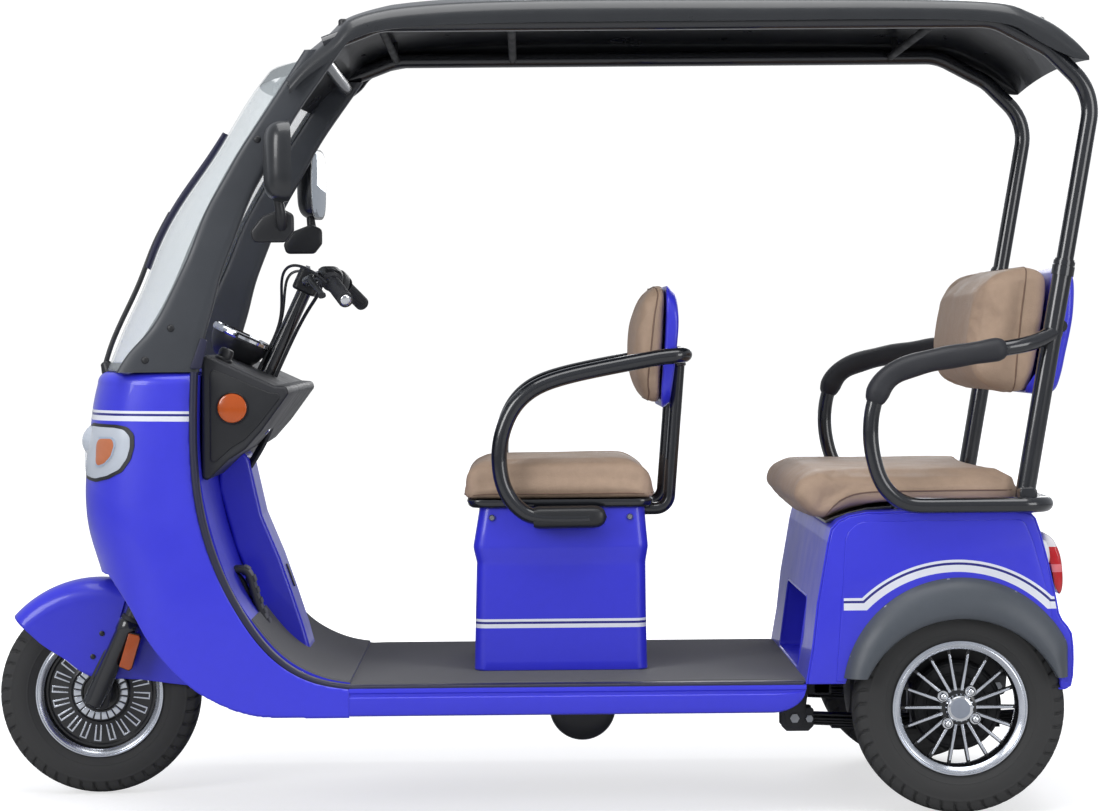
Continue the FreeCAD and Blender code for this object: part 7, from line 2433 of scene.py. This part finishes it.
@dataclass
class RearBody:
    """The painted body under the rear bench, with its arches, flares and lamps."""

    half: float = 430.0
    wall: float = 0.004
    recess: float = 225.0
    arch_x: float = 873.0
    arch_z: float = 218.0
    arch_r: float = 242.0

    def build(self) -> None:
        """Make every piece of the body."""
        self.wrap()
        MAKE.place(mirrored(self.panel, "rear_side_panels"), ARCH_PAINT, "body_paint")
        MAKE.place(mirrored(self.corner, "rear_lower_corners"), LACQUER, "body_paint")
        MAKE.place(mirrored(self.relief, "rear_side_relief"), ARCH_PAINT, "body_paint")
        MAKE.place(mirrored(self.well, "rear_wheel_wells"), SATIN_BLACK, "dark_plastic")
        self.tub()
        MAKE.place(mirrored(self.flare, "flare_shells"), FLARE, "grey_plastic", ["wheel_flares"])
        MAKE.place(mirrored(self.lamp, "tail_lamp_lenses"), TAIL, "red_lens", ["tail_lamps"])
        MAKE.place(mirrored(self.marker, "tail_lamp_markers"), WHITE_LENS, "clear_lens")
        self.fixings()

    def edge(self) -> Array:
        """Give the body's side outline from the front foot over the top to the rear foot.

        Returns:
            (x, z) in millimetres, shape (n, 2).
        """
        return np.array([(560, 271.4), (561, 280), (573, 348), (583, 435), (596, 508), (605, 560),
                         (612, 588), (626, 603), (648, 613), (684, 619.5), (760, 620.6),
                         (900, 620.6), (1005, 620), (1016, 616), (1025, 606), (1034, 580),
                         (1050, 520), (1066, 445), (1072, 412), (1079, 397), (1090, 384),
                         (1098, 370), (1101, 345), (1101.5, 317), (1100, 285), (1096, 266),
                         (1086, 260), (1074, 260)], float)

    def wrap(self) -> None:
        """Make the front wall, top and rear wall as one bent sheet with the recess open.

        Point = side outline at u, width v; the quads of the recess are left out.
        """
        line = self.edge()
        across = np.r_[-self.half + 3, -400, -320, -self.recess + 4, -110, 0, 110,
                       self.recess - 4, 320, 400, self.half - 3]
        grid = np.stack([np.broadcast_to(line[:, None, 0], (len(line), len(across))),
                         np.broadcast_to(across, (len(line), len(across))),
                         np.broadcast_to(line[:, None, 1], (len(line), len(across)))], -1) * MM
        mid_z = (line[:-1, 1] + line[1:, 1]) / 2
        mid_y = (across[:-1] + across[1:]) / 2
        front = (mid_z > 280) & (mid_z < 435) & (np.arange(len(mid_z)) < 5)
        keep = ~(front[:, None] & (np.abs(mid_y) < self.recess - 4)[None])
        piece = MAKE.grid("rear_wrap", grid, keep=keep, sharp=50, flip=True)
        MAKE.thicken(piece, self.wall)
        MAKE.bevel(piece, 0.0012, 2)
        MAKE.place(piece, LACQUER, "body_paint", ["rear_body"])

    def arch(self, radius: float, low: float, count: int = 40) -> Array:
        """Give the wheel arch from its rear foot over the top to its front foot.

        Args:
            radius: the arch's radius in millimetres.
            low: height of its feet in millimetres.
            count: how many points to give.

        Returns:
            (x, z) in millimetres, shape (count, 2).
        """
        foot = math.asin((low - self.arch_z) / radius)
        a = np.linspace(foot, math.pi - foot, count)
        return np.column_stack([np.minimum(self.arch_x + radius * np.cos(a), 1078),
                                self.arch_z + radius * np.sin(a)])

    def panel(self, side: int) -> Piece:
        """Make one side sheet with its wheel arch cut out.

        Args:
            side: -1 for the left and 1 for the right.

        Returns:
            The new piece.
        """
        outline = np.vstack([self.edge()[:-2], [(1092, 271.4)], self.arch(self.arch_r, 271.4)])
        outer = side * (self.half - 0.4)
        inner = side * (self.half - 9)
        return MAKE.prism("part", mm(outline), outer * MM, inner * MM, 0.0055, segments=4, sharp=25)

    def relief(self, side: int) -> Piece:
        """Make the raised field behind the front column of one side.

        Args:
            side: -1 for the left and 1 for the right.

        Returns:
            The new piece.
        """
        corner = rounded_path([(618, 276), (633, 481), (640, 604), (1004, 606), (1022, 560),
                               (1056, 440), (1062, 392), (1080, 352), (1083, 276)],
                              [0, 200, 46, 20, 60, 30, 20, 20, 0])
        outline = np.vstack([corner, self.arch(self.arch_r, 276.0)])
        outer, inner = side * (self.half + 2.2), side * (self.half - 4)
        return MAKE.prism("part", mm(outline), outer * MM, inner * MM, 0.0024, segments=3, sharp=25)

    def well(self, side: int) -> Piece:
        """Make one wheel well: an arched sheet and its flat inner wall.

        Args:
            side: -1 for the left and 1 for the right.

        Returns:
            The new piece.
        """
        line = self.arch(self.arch_r - 1, 272)
        y = np.array([side * 310, side * 426.0])
        grid = np.stack([np.broadcast_to(line[:, None, 0], (len(line), 2)),
                         np.broadcast_to(y, (len(line), 2)),
                         np.broadcast_to(line[:, None, 1], (len(line), 2))], -1) * MM
        roof = MAKE.grid("part", grid, flip=side < 0)
        MAKE.thicken(roof, 0.003, 0)
        wall = MAKE.prism("part", mm(line), side * 309 * MM, side * 312 * MM)
        return MAKE.joined("part", [roof, wall])

    def tub(self) -> None:
        """Line the recess under the bench with a tub that is open toward the floor."""
        ring = rounded_rect(0.446, 0.152, 0.014, 6) + (0, 0.357)
        grid = np.stack([np.column_stack([np.full(len(ring), x)
                                          - (0.357 - ring[:, 1]) * 0.14 * (k == 0), ring])
                         for k, x in enumerate(mm([571, 600, 650]))])
        shell = MAKE.grid("part", grid, close_v=True, sharp=50)
        MAKE.thicken(shell, 0.003, 0)
        back = MAKE.prism("part", ring, 0.649, 0.653, 0, "x")
        lip = MAKE.sweep("part", np.column_stack([grid[0][:, 0] - 0.001, grid[0][:, 1:]]),
                         circle(8) * 0.0028, closed=True, sharp=80)
        MAKE.fit("storage_liner", [shell, back, lip], LACQUER, "body_paint", ["storage_tub"])

    def corner(self, side: int) -> Piece:
        """Make the rounded end of the rear wall's foot at one side.

        Args:
            side: -1 for the left and 1 for the right.

        Returns:
            The new piece.
        """
        outline = rounded_path(mm([(1074, 300), (1099, 300), (1100, 268), (1092, 257),
                                   (1078, 257)]), 0.006, True)
        return MAKE.prism("part", outline, side * (self.half - 60) * MM,
                          side * (self.half - 1.2) * MM, 0.005, segments=3)

    def flare(self, side: int) -> Piece:
        """Make one flare: a bulged band between the wheel's arc and the body's arc.

        Args:
            side: -1 for the left and 1 for the right.

        Returns:
            The new piece.
        """
        count = 64
        out = np.radians(np.linspace(171, 9, count))
        inn = np.radians(np.linspace(154.5, 25.5, count))
        outer = np.column_stack([873 + 243 * np.cos(out), 246 + 243 * np.sin(out)])
        outer[:, 0] = np.minimum(outer[:, 0], 1092)
        inner = np.column_stack([873 + 214 * np.cos(inn), 192 + 214 * np.sin(inn)])
        section = np.array([(0.0, 434), (-0.02, 452), (0.0, 459.5), (0.05, 463), (0.14, 464.6),
                            (0.32, 463.6), (0.52, 460), (0.72, 453), (0.87, 444.5), (0.965, 436),
                            (1.0, 430.8), (0.99, 428.5), (0.5, 428.5), (0.05, 430)])
        share, y = section[:, 0], section[:, 1]
        flat = inner[:, None] + (outer - inner)[:, None] * share[None, :, None]
        across = np.broadcast_to(side * y[None, :, None], flat.shape[:2] + (1,))
        points = np.concatenate([flat[..., :1], across, flat[..., 1:]], -1) * MM
        return MAKE.grid("part", points, close_v=True, cap_u=True, sharp=40, recalc=True)

    def lamp_outline(self, clear: int) -> Array:
        """Give the side outline in millimetres of the red lens (0) or the clear one (1).

        Args:
            clear: 0 for the red lens and 1 for the clear one.

        Returns:
            (x, z) in millimetres, shape (n, 2).
        """
        back = np.array([(1054, 576), (1064, 574), (1079, 562), (1093, 530), (1098, 491),
                         (1097, 462), (1090, 450), (1080, 470), (1070, 510), (1056, 545)], float)
        inner = np.array([(1044, 560), (1062, 560), (1069, 535), (1066, 512), (1052, 508),
                          (1048, 530)], float)
        return (inner if clear else back) - (11, 0)

    def lamp(self, side: int) -> Piece:
        """Make one tail lamp's lens."""
        points = Pad("part", self.lamp_outline(0), 58, 12, 12).points() + (0, side * 0.358, 0)
        return MAKE.grid("part", points, close_v=True, cap_u=True, sharp=50, recalc=True)

    def marker(self, side: int) -> Piece:
        """Make the clear marker lens at one tail lamp's inner top."""
        points = Pad("part", self.lamp_outline(1), 63, 8, 8).points() + (0, side * 0.363, 0)
        return MAKE.grid("part", points, close_v=True, cap_u=True, sharp=50, recalc=True)

    def fixings(self) -> None:
        """Set screws round the flares and washers at the plate's two holes."""
        screw = [(0, 3.4), (4.4, 3.2), (5.8, 2), (6.2, 0), (0, 0)]
        spots = []
        for angle in (28, 62, 96, 130, 160):
            a = math.radians(angle)
            spots += [(873 + 236 * math.cos(a), side, 246 + 236 * math.sin(a)) for side in (-1, 1)]
        parts = [MAKE.lathe("part", screw, mm((x, side * 433.5, z)), 12, side)
                 for x, side, z in spots]
        parts += [MAKE.lathe("part", [(4.6, 0), (9, 0), (9.4, 0.8), (8.6, 1.6), (4.6, 1.6)],
                             mm((1091.5, y, 336)), 20, axis="x") for y in (-100, 100)]
        MAKE.fit("rear_screws", parts, STEEL, "bright_steel")


@dataclass
class RearSeat:
    """The rear bench: ring tube, arms with foam pads, posts and two cushions."""

    arm_radius: float = 0.016
    post_radius: float = 0.020
    arm: Sequence = ((850, 637), (800, 637), (766, 640), (740, 652), (713, 680), (696, 722),
                     (688, 771), (689, 815), (698, 856), (714, 888), (738, 908), (770, 921),
                     (822, 934), (884, 944), (950, 954), (1000, 962))

    def build(self) -> None:
        """Make every piece of the bench."""
        self.frame()
        MAKE.place(mirrored(self.sleeve, "arm_foam"), FOAM, "soft_black", ["arm_pads"])
        self.base()
        self.cushions()

    def arm_line(self, side: int) -> Array:
        """Give the arm's centreline from the ring tube to its post, in metres.

        Args:
            side: -1 for the left and 1 for the right.

        Returns:
            Points in metres, shape (120, 3).
        """
        flat = np.array(self.arm, float)
        y = np.full(len(flat), 460.0)
        y[-1] = 449
        line = np.column_stack([flat[:, 0], y, flat[:, 1]])
        line = np.vstack([line, [(1036, 430, 972), (1071, 408, 988)]])
        return smooth_curve(line * (1, side, 1), 120) * MM

    def frame(self) -> None:
        """Bend the ring and arm tubes, and stand the two posts on them with weld lugs."""
        ring = rounded_path(mm([(1051, 0, 637), (1051, 460, 637), (850, 460, 637)]), 0.055,
                            steps=12)
        parts = []
        for side in (-1, 1):
            half = ring * (1, side, 1)
            route = np.vstack([half[:-1], self.arm_line(side)])
            parts.append(MAKE.sweep("part", route, circle(26) * self.arm_radius, sharp=60))
            foot, top = mm((1003, side * 405, 615)), mm((1094, side * 405, 1137))
            way = np.array([foot + (top - foot) * t for t in (0, 0.5, 1)])
            parts.append(MAKE.sweep("part", way, circle(28) * self.post_radius, sharp=60))
            lift = unit(top - foot)
            for share, radius, tall in ((0.955, 0.0232, 0.020), (0.985, 0.0222, 0.008)):
                spot = foot + (top - foot) * share
                collar = np.array([spot - lift * tall / 2, spot + lift * tall / 2])
                parts.append(MAKE.sweep("part", collar, circle(28) * radius, sharp=60))
            lug = rounded_rect(0.036, 0.052, 0.010) + mm((1010, 646))
            parts.append(MAKE.prism("part", lug, side * 0.392, side * 0.452, 0.003))
            parts.append(MAKE.tube("part", mm([(1086, side * 296, 1000), (1086, side * 405, 1000)]),
                                   0.013, sides=20))
            bead = MAKE.lathe("part", [(15, -6), (19, -3.5), (20, 0), (18, 4), (13, 7)],
                              mm((1069, side * 408, 987)), 20)
            parts.append(bead)
        MAKE.fit("bench_tubes", parts, GLOSS_BLACK, "frame_paint", ["rear_seat_frame"])

    def sleeve(self, side: int) -> Piece:
        """Slip one foam pad over the arm's upper run, narrowed at its ends.

        Args:
            side: -1 for the left and 1 for the right.

        Returns:
            The new piece.
        """
        line = self.arm_line(side)
        low = int(np.argmin(np.linalg.norm(line[:, ::2] - mm((694, 846)), axis=1)))
        high = int(np.argmin(np.linalg.norm(line[:, ::2] - mm((960, 956)), axis=1)))
        path = resampled(line[low:high + 1], 60)
        t = np.linspace(0, 1, 60)
        ends = np.minimum(np.sqrt(np.clip(t / 0.07, 0, 1)), np.sqrt(np.clip((1 - t) / 0.05, 0, 1)))
        thick = (0.70 + 0.30 * ends) * (1 + 0.03 * np.sin(7 * math.pi * t) * ends)
        return MAKE.sweep("part", path, superellipse(0.0235, 0.0255, 2.4, 28), ACROSS,
                          thick, sharp=60)

    def base(self) -> None:
        """Make the black plate under the bench and the tray under its nose."""
        outline = rounded_rect(0.294, 0.736, 0.030) + mm((878, 0))
        plate = MAKE.prism("part", outline, 0.6215, 0.6368, 0.003, "z")
        line = mm([(604, 603), (622, 611), (650, 620), (690, 629), (740, 632)])
        under = line - (0, 0.007)
        tray = MAKE.prism("part", np.vstack([line, under[::-1]]), -0.372, 0.372, 0.002)
        MAKE.fit("bench_plate", [plate, tray], GLOSS_BLACK, "dark_plastic", ["rear_seat_base"])

    def cushions(self) -> None:
        """Make the bench cushion, the back cushion and the back's painted shell."""
        seat = shares(530, 601.3, 474, 100, ((0, .44), (.02, .80), (.09, .985), (.17, 1.02),
                                             (.55, 1.02), (.95, .99), (1, .80), (1, .40),
                                             (.80, .365), (.44, .37), (.25, .25), (.14, .01),
                                             (.09, .06), (.04, .20)))
        near = [(606, 607), (615, 628), (634, 646), (664, 658), (710, 662), (860, 663), (996, 663)]
        left = [(x, -374, z) for x, z in near]
        right = [(x, 374, z) for x, z in near[::-1]]
        loop = np.array([*left, (1001, -340, 663), (1001, 340, 663), *right,
                         (602, 340, 604), (602, -340, 604), left[0]], float)
        Cushion("bench_cushion_hide", seat, 380, 30, 26, swell=9, voxel=6, seams=[loop], finer=0,
                rest=lambda p: (p[:, 2] < 0.642) & (p[:, 0] > 0.70)
                ).build(["rear_seat_cushion"], 0.75)
        back = shares(919.3, 861, 216, 265, ((.09, .05), (0, .16), (-.005, .40), (.06, .70),
                                             (.13, .88), (.27, .985), (.48, 1.01), (.61, 1),
                                             (.755, .90), (.69, .46), (.60, .10), (.50, 0),
                                             (.28, .0)))
        edge = [(1008, 863), (1013, 930), (1022, 1020), (1030, 1080), (1036, 1124)]
        loop = np.array([*[(x, -297, z) for x, z in edge], (1034, -260, 1127), (1034, 260, 1127),
                         *[(x, 297, z) for x, z in edge[::-1]], (1006, 260, 861),
                         (1006, -260, 861), (1008, -297, 863)], float)
        Cushion("bench_back_hide", back, 300, 24, 30, swell=9, voxel=6, seams=[loop], finer=0,
                rest=lambda p: p[:, 0] > 0.9193 + 0.216 * (0.54 + 0.17 * (p[:, 2] - 0.861) / 0.265)
                ).build(["rear_back_cushion"], 0.7)
        shell = shares(919.3, 861, 216, 265, ((.53, .005), (.63, .12), (.72, .48), (.785, .90),
                                              (.83, .985), (.95, .965), (.995, .88), (.98, .60),
                                              (.91, .30), (.85, .08), (.77, .0)))
        piece = Pad("bench_back_shell_skin", shell, 300, 14, 34).surface()
        MAKE.place(piece, LACQUER, "body_paint", ["rear_back_shell"])


@dataclass
class Underside:
    """The floor tray with its mat, the chassis rails, the axle, the springs and the drum."""

    deck_low: float = -378.0
    deck_high: float = 557.0
    rail: float = 262.0

    def build(self) -> None:
        """Make every piece of the underside."""
        self.tray()
        self.mat()
        self.rails()
        self.axle()
        self.springs()
        self.drum()

    def tray(self) -> None:
        """Draw the floor tray's section and carry it from end to end."""
        half = np.array([(0, 271), (426, 271), (428.8, 269.8), (430, 267), (430, 262), (427, 259),
                         (427, 254), (430, 251), (430, 222), (428, 216), (423, 213), (404, 213),
                         (404, 217), (420, 217), (424, 221), (424, 262), (420, 265), (0, 265)],
                        float)
        outline = np.vstack([half, (half * (-1, 1))[::-1][1:-1]])
        x = np.r_[self.deck_low, np.linspace(-370, 470, 4), np.linspace(485, self.deck_high, 16)]
        turn = np.clip((x - 487) / 70, 0, 1)
        foot = 213 + 50 * (1 - np.sqrt(1 - turn ** 2))
        z = outline[None, :, 1]
        lift = np.where(z < 262, 262 - (262 - z) * ((262 - foot) / 49)[:, None], z)
        grid = np.stack([np.broadcast_to(x[:, None], lift.shape),
                         np.broadcast_to(outline[None, :, 0], lift.shape), lift], -1) * MM
        piece = MAKE.grid("deck_tray", grid, close_v=True, cap_u=True, sharp=35, recalc=True)
        MAKE.place(piece, LACQUER, "body_paint", ["floor_tray"])

    def mat(self) -> None:
        """Draw the mat's ribbed section and carry it from end to end."""
        pitch, count = 14.0, 57
        start = -pitch * count / 2
        rib = np.array([(3.2, 277), (4.2, 279.6), (9.8, 279.6), (10.8, 277)])
        ribs = np.vstack([rib + (start + pitch * k, 0) for k in range(count)])
        outline = np.vstack([[(-412, 271.2), (-413, 274), (-411, 277)], ribs,
                             [(411, 277), (413, 274), (412, 271.2)]])
        piece = MAKE.prism("floor_mat_rubber", mm(outline), self.deck_low * MM,
                           self.deck_high * MM, 0, "x", sharp=20)
        MAKE.place(piece, MAT, "floor_rubber", ["floor_mat"])

    def bar(self, low: Sequence, high: Sequence) -> Piece:
        """Make a square tube between two corners in millimetres, with rounded edges.

        Args:
            low: the low corner in millimetres.
            high: the high corner.

        Returns:
            The new piece.
        """
        low, high = np.array(low, float), np.array(high, float)
        long = int(np.argmax(high - low))
        rest = [k for k in range(3) if k != long]
        size, middle = (high - low)[rest] * MM, (low + high)[rest] * 0.0005
        outline = rounded_rect(size[0], size[1], 0.005, 4) + middle
        return MAKE.prism("part", outline, low[long] * MM, high[long] * MM, 0,
                          "xyz"[long], sharp=35)

    def rails(self) -> None:
        """Weld the rails, risers, cross members and hangers into one frame."""
        parts = []
        for side in (-1, 1):
            y0, y1 = sorted((side * 242, side * 282))
            parts += [self.bar((-578, y0, 231), (623, y1, 264.5)),
                      self.bar((583, y0, 231), (623, y1, 354)),
                      self.bar((583, y0, 318), (1079, y1, 354))]
            for x, foot in ((545, 180), (1055, 180)):
                for across in (side * 236, side * 288):
                    top = 262 if x < 800 else 335
                    plate = rounded_path(mm([(x - 32, top), (x + 32, top), (x + 17, foot - 16),
                                             (x - 17, foot - 16)]), [0.004, 0.004, 0.012, 0.012],
                                         True)
                    parts.append(MAKE.prism("part", plate, (across - 3) * MM, (across + 3) * MM,
                                            0.001))
        parts += [self.bar((x, -242, z), (x + 40, 242, z + 33.5)) for x, z in
                  ((-578, 231), (-191, 231), (370, 231), (1039, 318))]
        parts += [self.bar((92, -190, 231), (116, -150, 260)),
                  self.bar((92, 150, 231), (116, 190, 260)),
                  self.bar((92, -242, 243), (116, 242, 263))]
        parts.append(MAKE.tube("part", mm([(-715, 0, 614), (-558, 0, 249)]), 0.019, sides=24))
        parts.append(MAKE.sweep("part", steer([(0, 0, 392), (0, 0, 520)]), circle(28) * 0.022,
                                sharp=60))
        piece = MAKE.joined("chassis_rails", parts)
        MAKE.place(piece, IRON, "running_gear", ["chassis_frame"])

    def axle(self) -> None:
        """Make the driven axle: tube, gear case with its cover bolts, and motor with its fins."""
        centre = mm((873, 0, 218))
        parts = [MAKE.lathe("part", [(0, -421), (13, -421), (15, -418), (15, -334), (30, -330),
                                     (30, -108), (40, -100), (62, -96), (84, -88), (88, -70),
                                     (88, -6), (93, -5), (93, 5), (88, 6), (88, 70), (84, 88),
                                     (62, 96), (40, 100), (30, 108), (30, 330), (15, 334),
                                     (15, 418), (13, 421), (0, 421)], centre, 56)]
        bolt = [(0, 6), (5.5, 5), (6.5, 0), (6.5, -6), (0, -6)]
        for angle in range(0, 360, 45):
            a = math.radians(angle)
            spot = centre + mm((86 * math.cos(a), 9, 86 * math.sin(a)))
            parts.append(MAKE.lathe("part", bolt, spot, 6))
        motor = [(0, -62), (40, -62), (60, -58), (67, -48), (67, 30), (70, 32), (70, 40), (66, 42),
                 (60, 74), (40, 80), (0, 80)]
        parts.append(MAKE.lathe("part", motor, mm((745, 0, 218)), 48, axis="x"))
        fins = [MAKE.lathe("part", [(66, x - 1.6), (71, x - 1.2), (71, x + 1.2), (66, x + 1.6)],
                           mm((745, 0, 218)), 48, axis="x") for x in range(-42, 28, 10)]
        MAKE.fit("axle_housing", parts + fins, IRON, "running_gear", ["rear_axle"])

    def springs(self) -> None:
        """Stack curved leaves on each side, with rolled eyes, clamp plates and U-bolts.

        Each leaf is a slat along z = rise + sag * (1 - (x / reach)^2).
        """
        leaves, bolts = [], []
        for side in (-1, 1):
            y = side * self.rail
            for number, reach in enumerate((254, 252, 238, 214, 176)):
                x = np.linspace(-reach, reach, 36)
                z = 190 - number * 5.6 - 8.0 * (1 - (x / 254) ** 2) + (3 if number == 0 else 0)
                line = np.column_stack([800 + x, z])
                leaf = superellipse(0.0215, 0.0026, 6, 20)
                leaves.append(MAKE.strip("part", line, y, leaf))
            for x in (545, 1055):
                leaves.append(MAKE.lathe("part", [(7, -22), (14, -22), (14, 22), (7, 22)],
                                         mm((x, y, 184)), 28))
                bolts.append(MAKE.lathe("part", [(0, -33), (10, -33), (10, -28), (6.8, -28),
                                                 (6.8, 28), (10, 28), (10, 33), (0, 33)],
                                        mm((x, y, 184)), 6))
            block = rounded_path(mm([(517, 206), (585, 206), (585, 168), (574, 157), (528, 157),
                                     (517, 168)]), 0.006, True)
            leaves.append(MAKE.prism("part", block, (y - 28) * MM, (y - 24) * MM, 0.001))
            leaves.append(MAKE.prism("part", block, (y + 24) * MM, (y + 28) * MM, 0.001))
            bolts.append(MAKE.lathe("part", [(0, -33), (8, -33), (8, -28), (5, -28), (5, 28),
                                             (8, 28), (8, 33), (0, 33)],
                                    mm((576, y, 183)), 6))
            for x in (790, 956):
                hoop = rounded_path(mm([(x, y - 26, 165), (x, y - 26, 250), (x, y + 26, 250),
                                        (x, y + 26, 165)]), 0.018, steps=8)
                bolts.append(MAKE.sweep("part", hoop, circle(12) * 0.004, sharp=60))
            leaves.append(MAKE.prism("part", rounded_rect(0.104, 0.050, 0.006)
                                     + np.array([0.873, y * MM]), 0.184, 0.192, 0.001, "z"))
        MAKE.fit("spring_leaves", leaves, IRON, "running_gear", ["leaf_springs"])
        MAKE.fit("spring_bolts", bolts, STEEL, "bright_steel")

    def drum(self) -> None:
        """Make the drum under the floor with domed ends, seams and straps."""
        profile = [(0, -165), (34, -163), (58, -157), (68, -149), (71, -140), (71, -100), (72, -99),
                   (72, -76), (71, -75), (71, 75), (72, 76), (72, 99), (71, 100), (71, 140),
                   (68, 149), (58, 157), (34, 163), (0, 165)]
        piece = MAKE.lathe("drum_shell", profile, mm((104, 0, 193)), 56)
        MAKE.place(piece, SATIN_BLACK, "dark_plastic", ["underfloor_drum"])


@dataclass
class Studio:
    """The camera, the floor and the soft light."""

    lens: float = 95.83
    place: tuple = (-0.012, -6.398, 0.988)
    yaw: float = -0.47
    pitch: float = -1.36
    roll: float = -0.46

    def build(self) -> None:
        """Set the floor, the lights, the surround and the camera."""
        self.floor()
        self.surround()
        self.lights()
        self.camera()

    def floor(self) -> None:
        """Lay a plain pale floor."""
        size = 30.0
        points = np.array([(-size, -size, 0), (size, -size, 0), (size, size, 0), (-size, size, 0)])
        floor = MAKE.mesh("floor", points - (0, 0, 0.0015), [[0, 1, 2, 3]])
        graph = Graph("pale_floor")
        graph.use("Base Color", (0.5, 0.5, 0.5, 1))
        graph.use("Roughness", 0.75)
        graph.use("Specular IOR Level", 0.2)
        graph.use("Emission Color", (1.0, 1.0, 1.0, 1))
        away = graph.node("ShaderNodeVectorMath", {0: graph.object}, operation="LENGTH").outputs[1]
        path = graph.node("ShaderNodeLightPath").outputs
        seen = graph.math("MAXIMUM", path["Is Camera Ray"], path["Is Transmission Ray"])
        glow = graph.span(away, 1.5, 3.0, 0.64, 1.0)
        graph.use("Emission Strength", graph.math("MULTIPLY", seen, glow))
        floor.data.materials.append(graph.result)

    def surround(self) -> None:
        """Light from all round, seen white by the camera and through glass."""
        world = bpy.data.worlds.new("studio")
        world.use_nodes = True
        bpy.context.scene.world = world
        tree = world.node_tree
        tree.nodes.clear()
        path = tree.nodes.new("ShaderNodeLightPath")
        seen = tree.nodes.new("ShaderNodeMath")
        seen.operation = "MAXIMUM"
        tree.links.new(path.outputs["Is Camera Ray"], seen.inputs[0])
        tree.links.new(path.outputs["Is Transmission Ray"], seen.inputs[1])
        soft, white = tree.nodes.new("ShaderNodeBackground"), tree.nodes.new("ShaderNodeBackground")
        soft.inputs["Color"].default_value = (0.86, 0.89, 0.95, 1)
        soft.inputs["Strength"].default_value = 0.52
        white.inputs["Color"].default_value = (1, 1, 1, 1)
        white.inputs["Strength"].default_value = 1.05
        mix, out = tree.nodes.new("ShaderNodeMixShader"), tree.nodes.new("ShaderNodeOutputWorld")
        tree.links.new(seen.outputs[0], mix.inputs[0])
        tree.links.new(soft.outputs[0], mix.inputs[1])
        tree.links.new(white.outputs[0], mix.inputs[2])
        tree.links.new(mix.outputs[0], out.inputs[0])

    def lights(self) -> None:
        """Hang a broad top light, a key from the front left and two fills."""
        for name, place, aim, size, power in (
                ("top", (0.1, -0.8, 4.6), (0, 0, 0.6), 4.2, 180),
                ("key", (-4.2, -4.6, 3.0), (-0.2, 0, 0.8), 2.6, 150),
                ("fill", (4.4, -4.4, 1.9), (0.2, 0, 0.8), 2.6, 76),
                ("back", (1.5, 5.0, 3.0), (0, 0, 0.9), 3.0, 80)):
            data = bpy.data.lights.new(name, "AREA")
            data.shape, data.size, data.energy = "SQUARE", size, power
            lamp = bpy.data.objects.new(name, data)
            lamp.location = place
            lamp.rotation_euler = (Vector(aim) - Vector(place)).to_track_quat("-Z", "Y").to_euler()
            bpy.context.scene.collection.objects.link(lamp)

    def camera(self) -> None:
        """Place the camera that the photo was fitted with.

        Its right, up and back axes are worked out from yaw, pitch and roll.
        """
        yaw, pitch, roll = (math.radians(v) for v in (self.yaw, self.pitch, self.roll))
        right = np.array([math.cos(yaw), math.sin(yaw), 0.0])
        flat = np.array([-math.sin(yaw), math.cos(yaw), 0.0])
        ahead = flat * math.cos(pitch) + np.array([0, 0, math.sin(pitch)])
        up = np.cross(right, ahead)
        side = math.cos(roll) * right + math.sin(roll) * up
        top = -math.sin(roll) * right + math.cos(roll) * up
        data = bpy.data.cameras.new("photo_camera")
        data.lens, data.sensor_width = self.lens, 36
        data.clip_start, data.clip_end = 0.1, 60
        camera = bpy.data.objects.new("photo_camera", data)
        rows = [[side[k], top[k], -ahead[k], self.place[k]] for k in range(3)]
        camera.matrix_world = Matrix(rows + [[0, 0, 0, 1]])
        bpy.context.scene.collection.objects.link(camera)
        bpy.context.scene.camera = camera


def main() -> None:
    """Build the dressed model, its stage and its camera."""
    bpy.context.scene.view_settings.view_transform = "Standard"
    logging.basicConfig(level=logging.INFO, format="%(name)s: %(message)s")
    BarredWheel(Body.FRONT_WHEEL.value, Body.FRONT_WHEEL, FRONT_HUB, -1).build()
    for side, body in ((-1, Body.REAR_LEFT), (1, Body.REAR_RIGHT)):
        hub = (REAR_HUB[0], side * REAR_HUB[1], REAR_HUB[2])
        SpokedWheel(body.value, body, hub, side).build()
    for assembly in (Fork, Mudguard, Handlebar, Cowl, Windscreen, Roof, MiddleSeat, RearBody,
                     RearSeat, Underside, Studio):
        assembly().build()


if __name__ == "__main__":
    main()
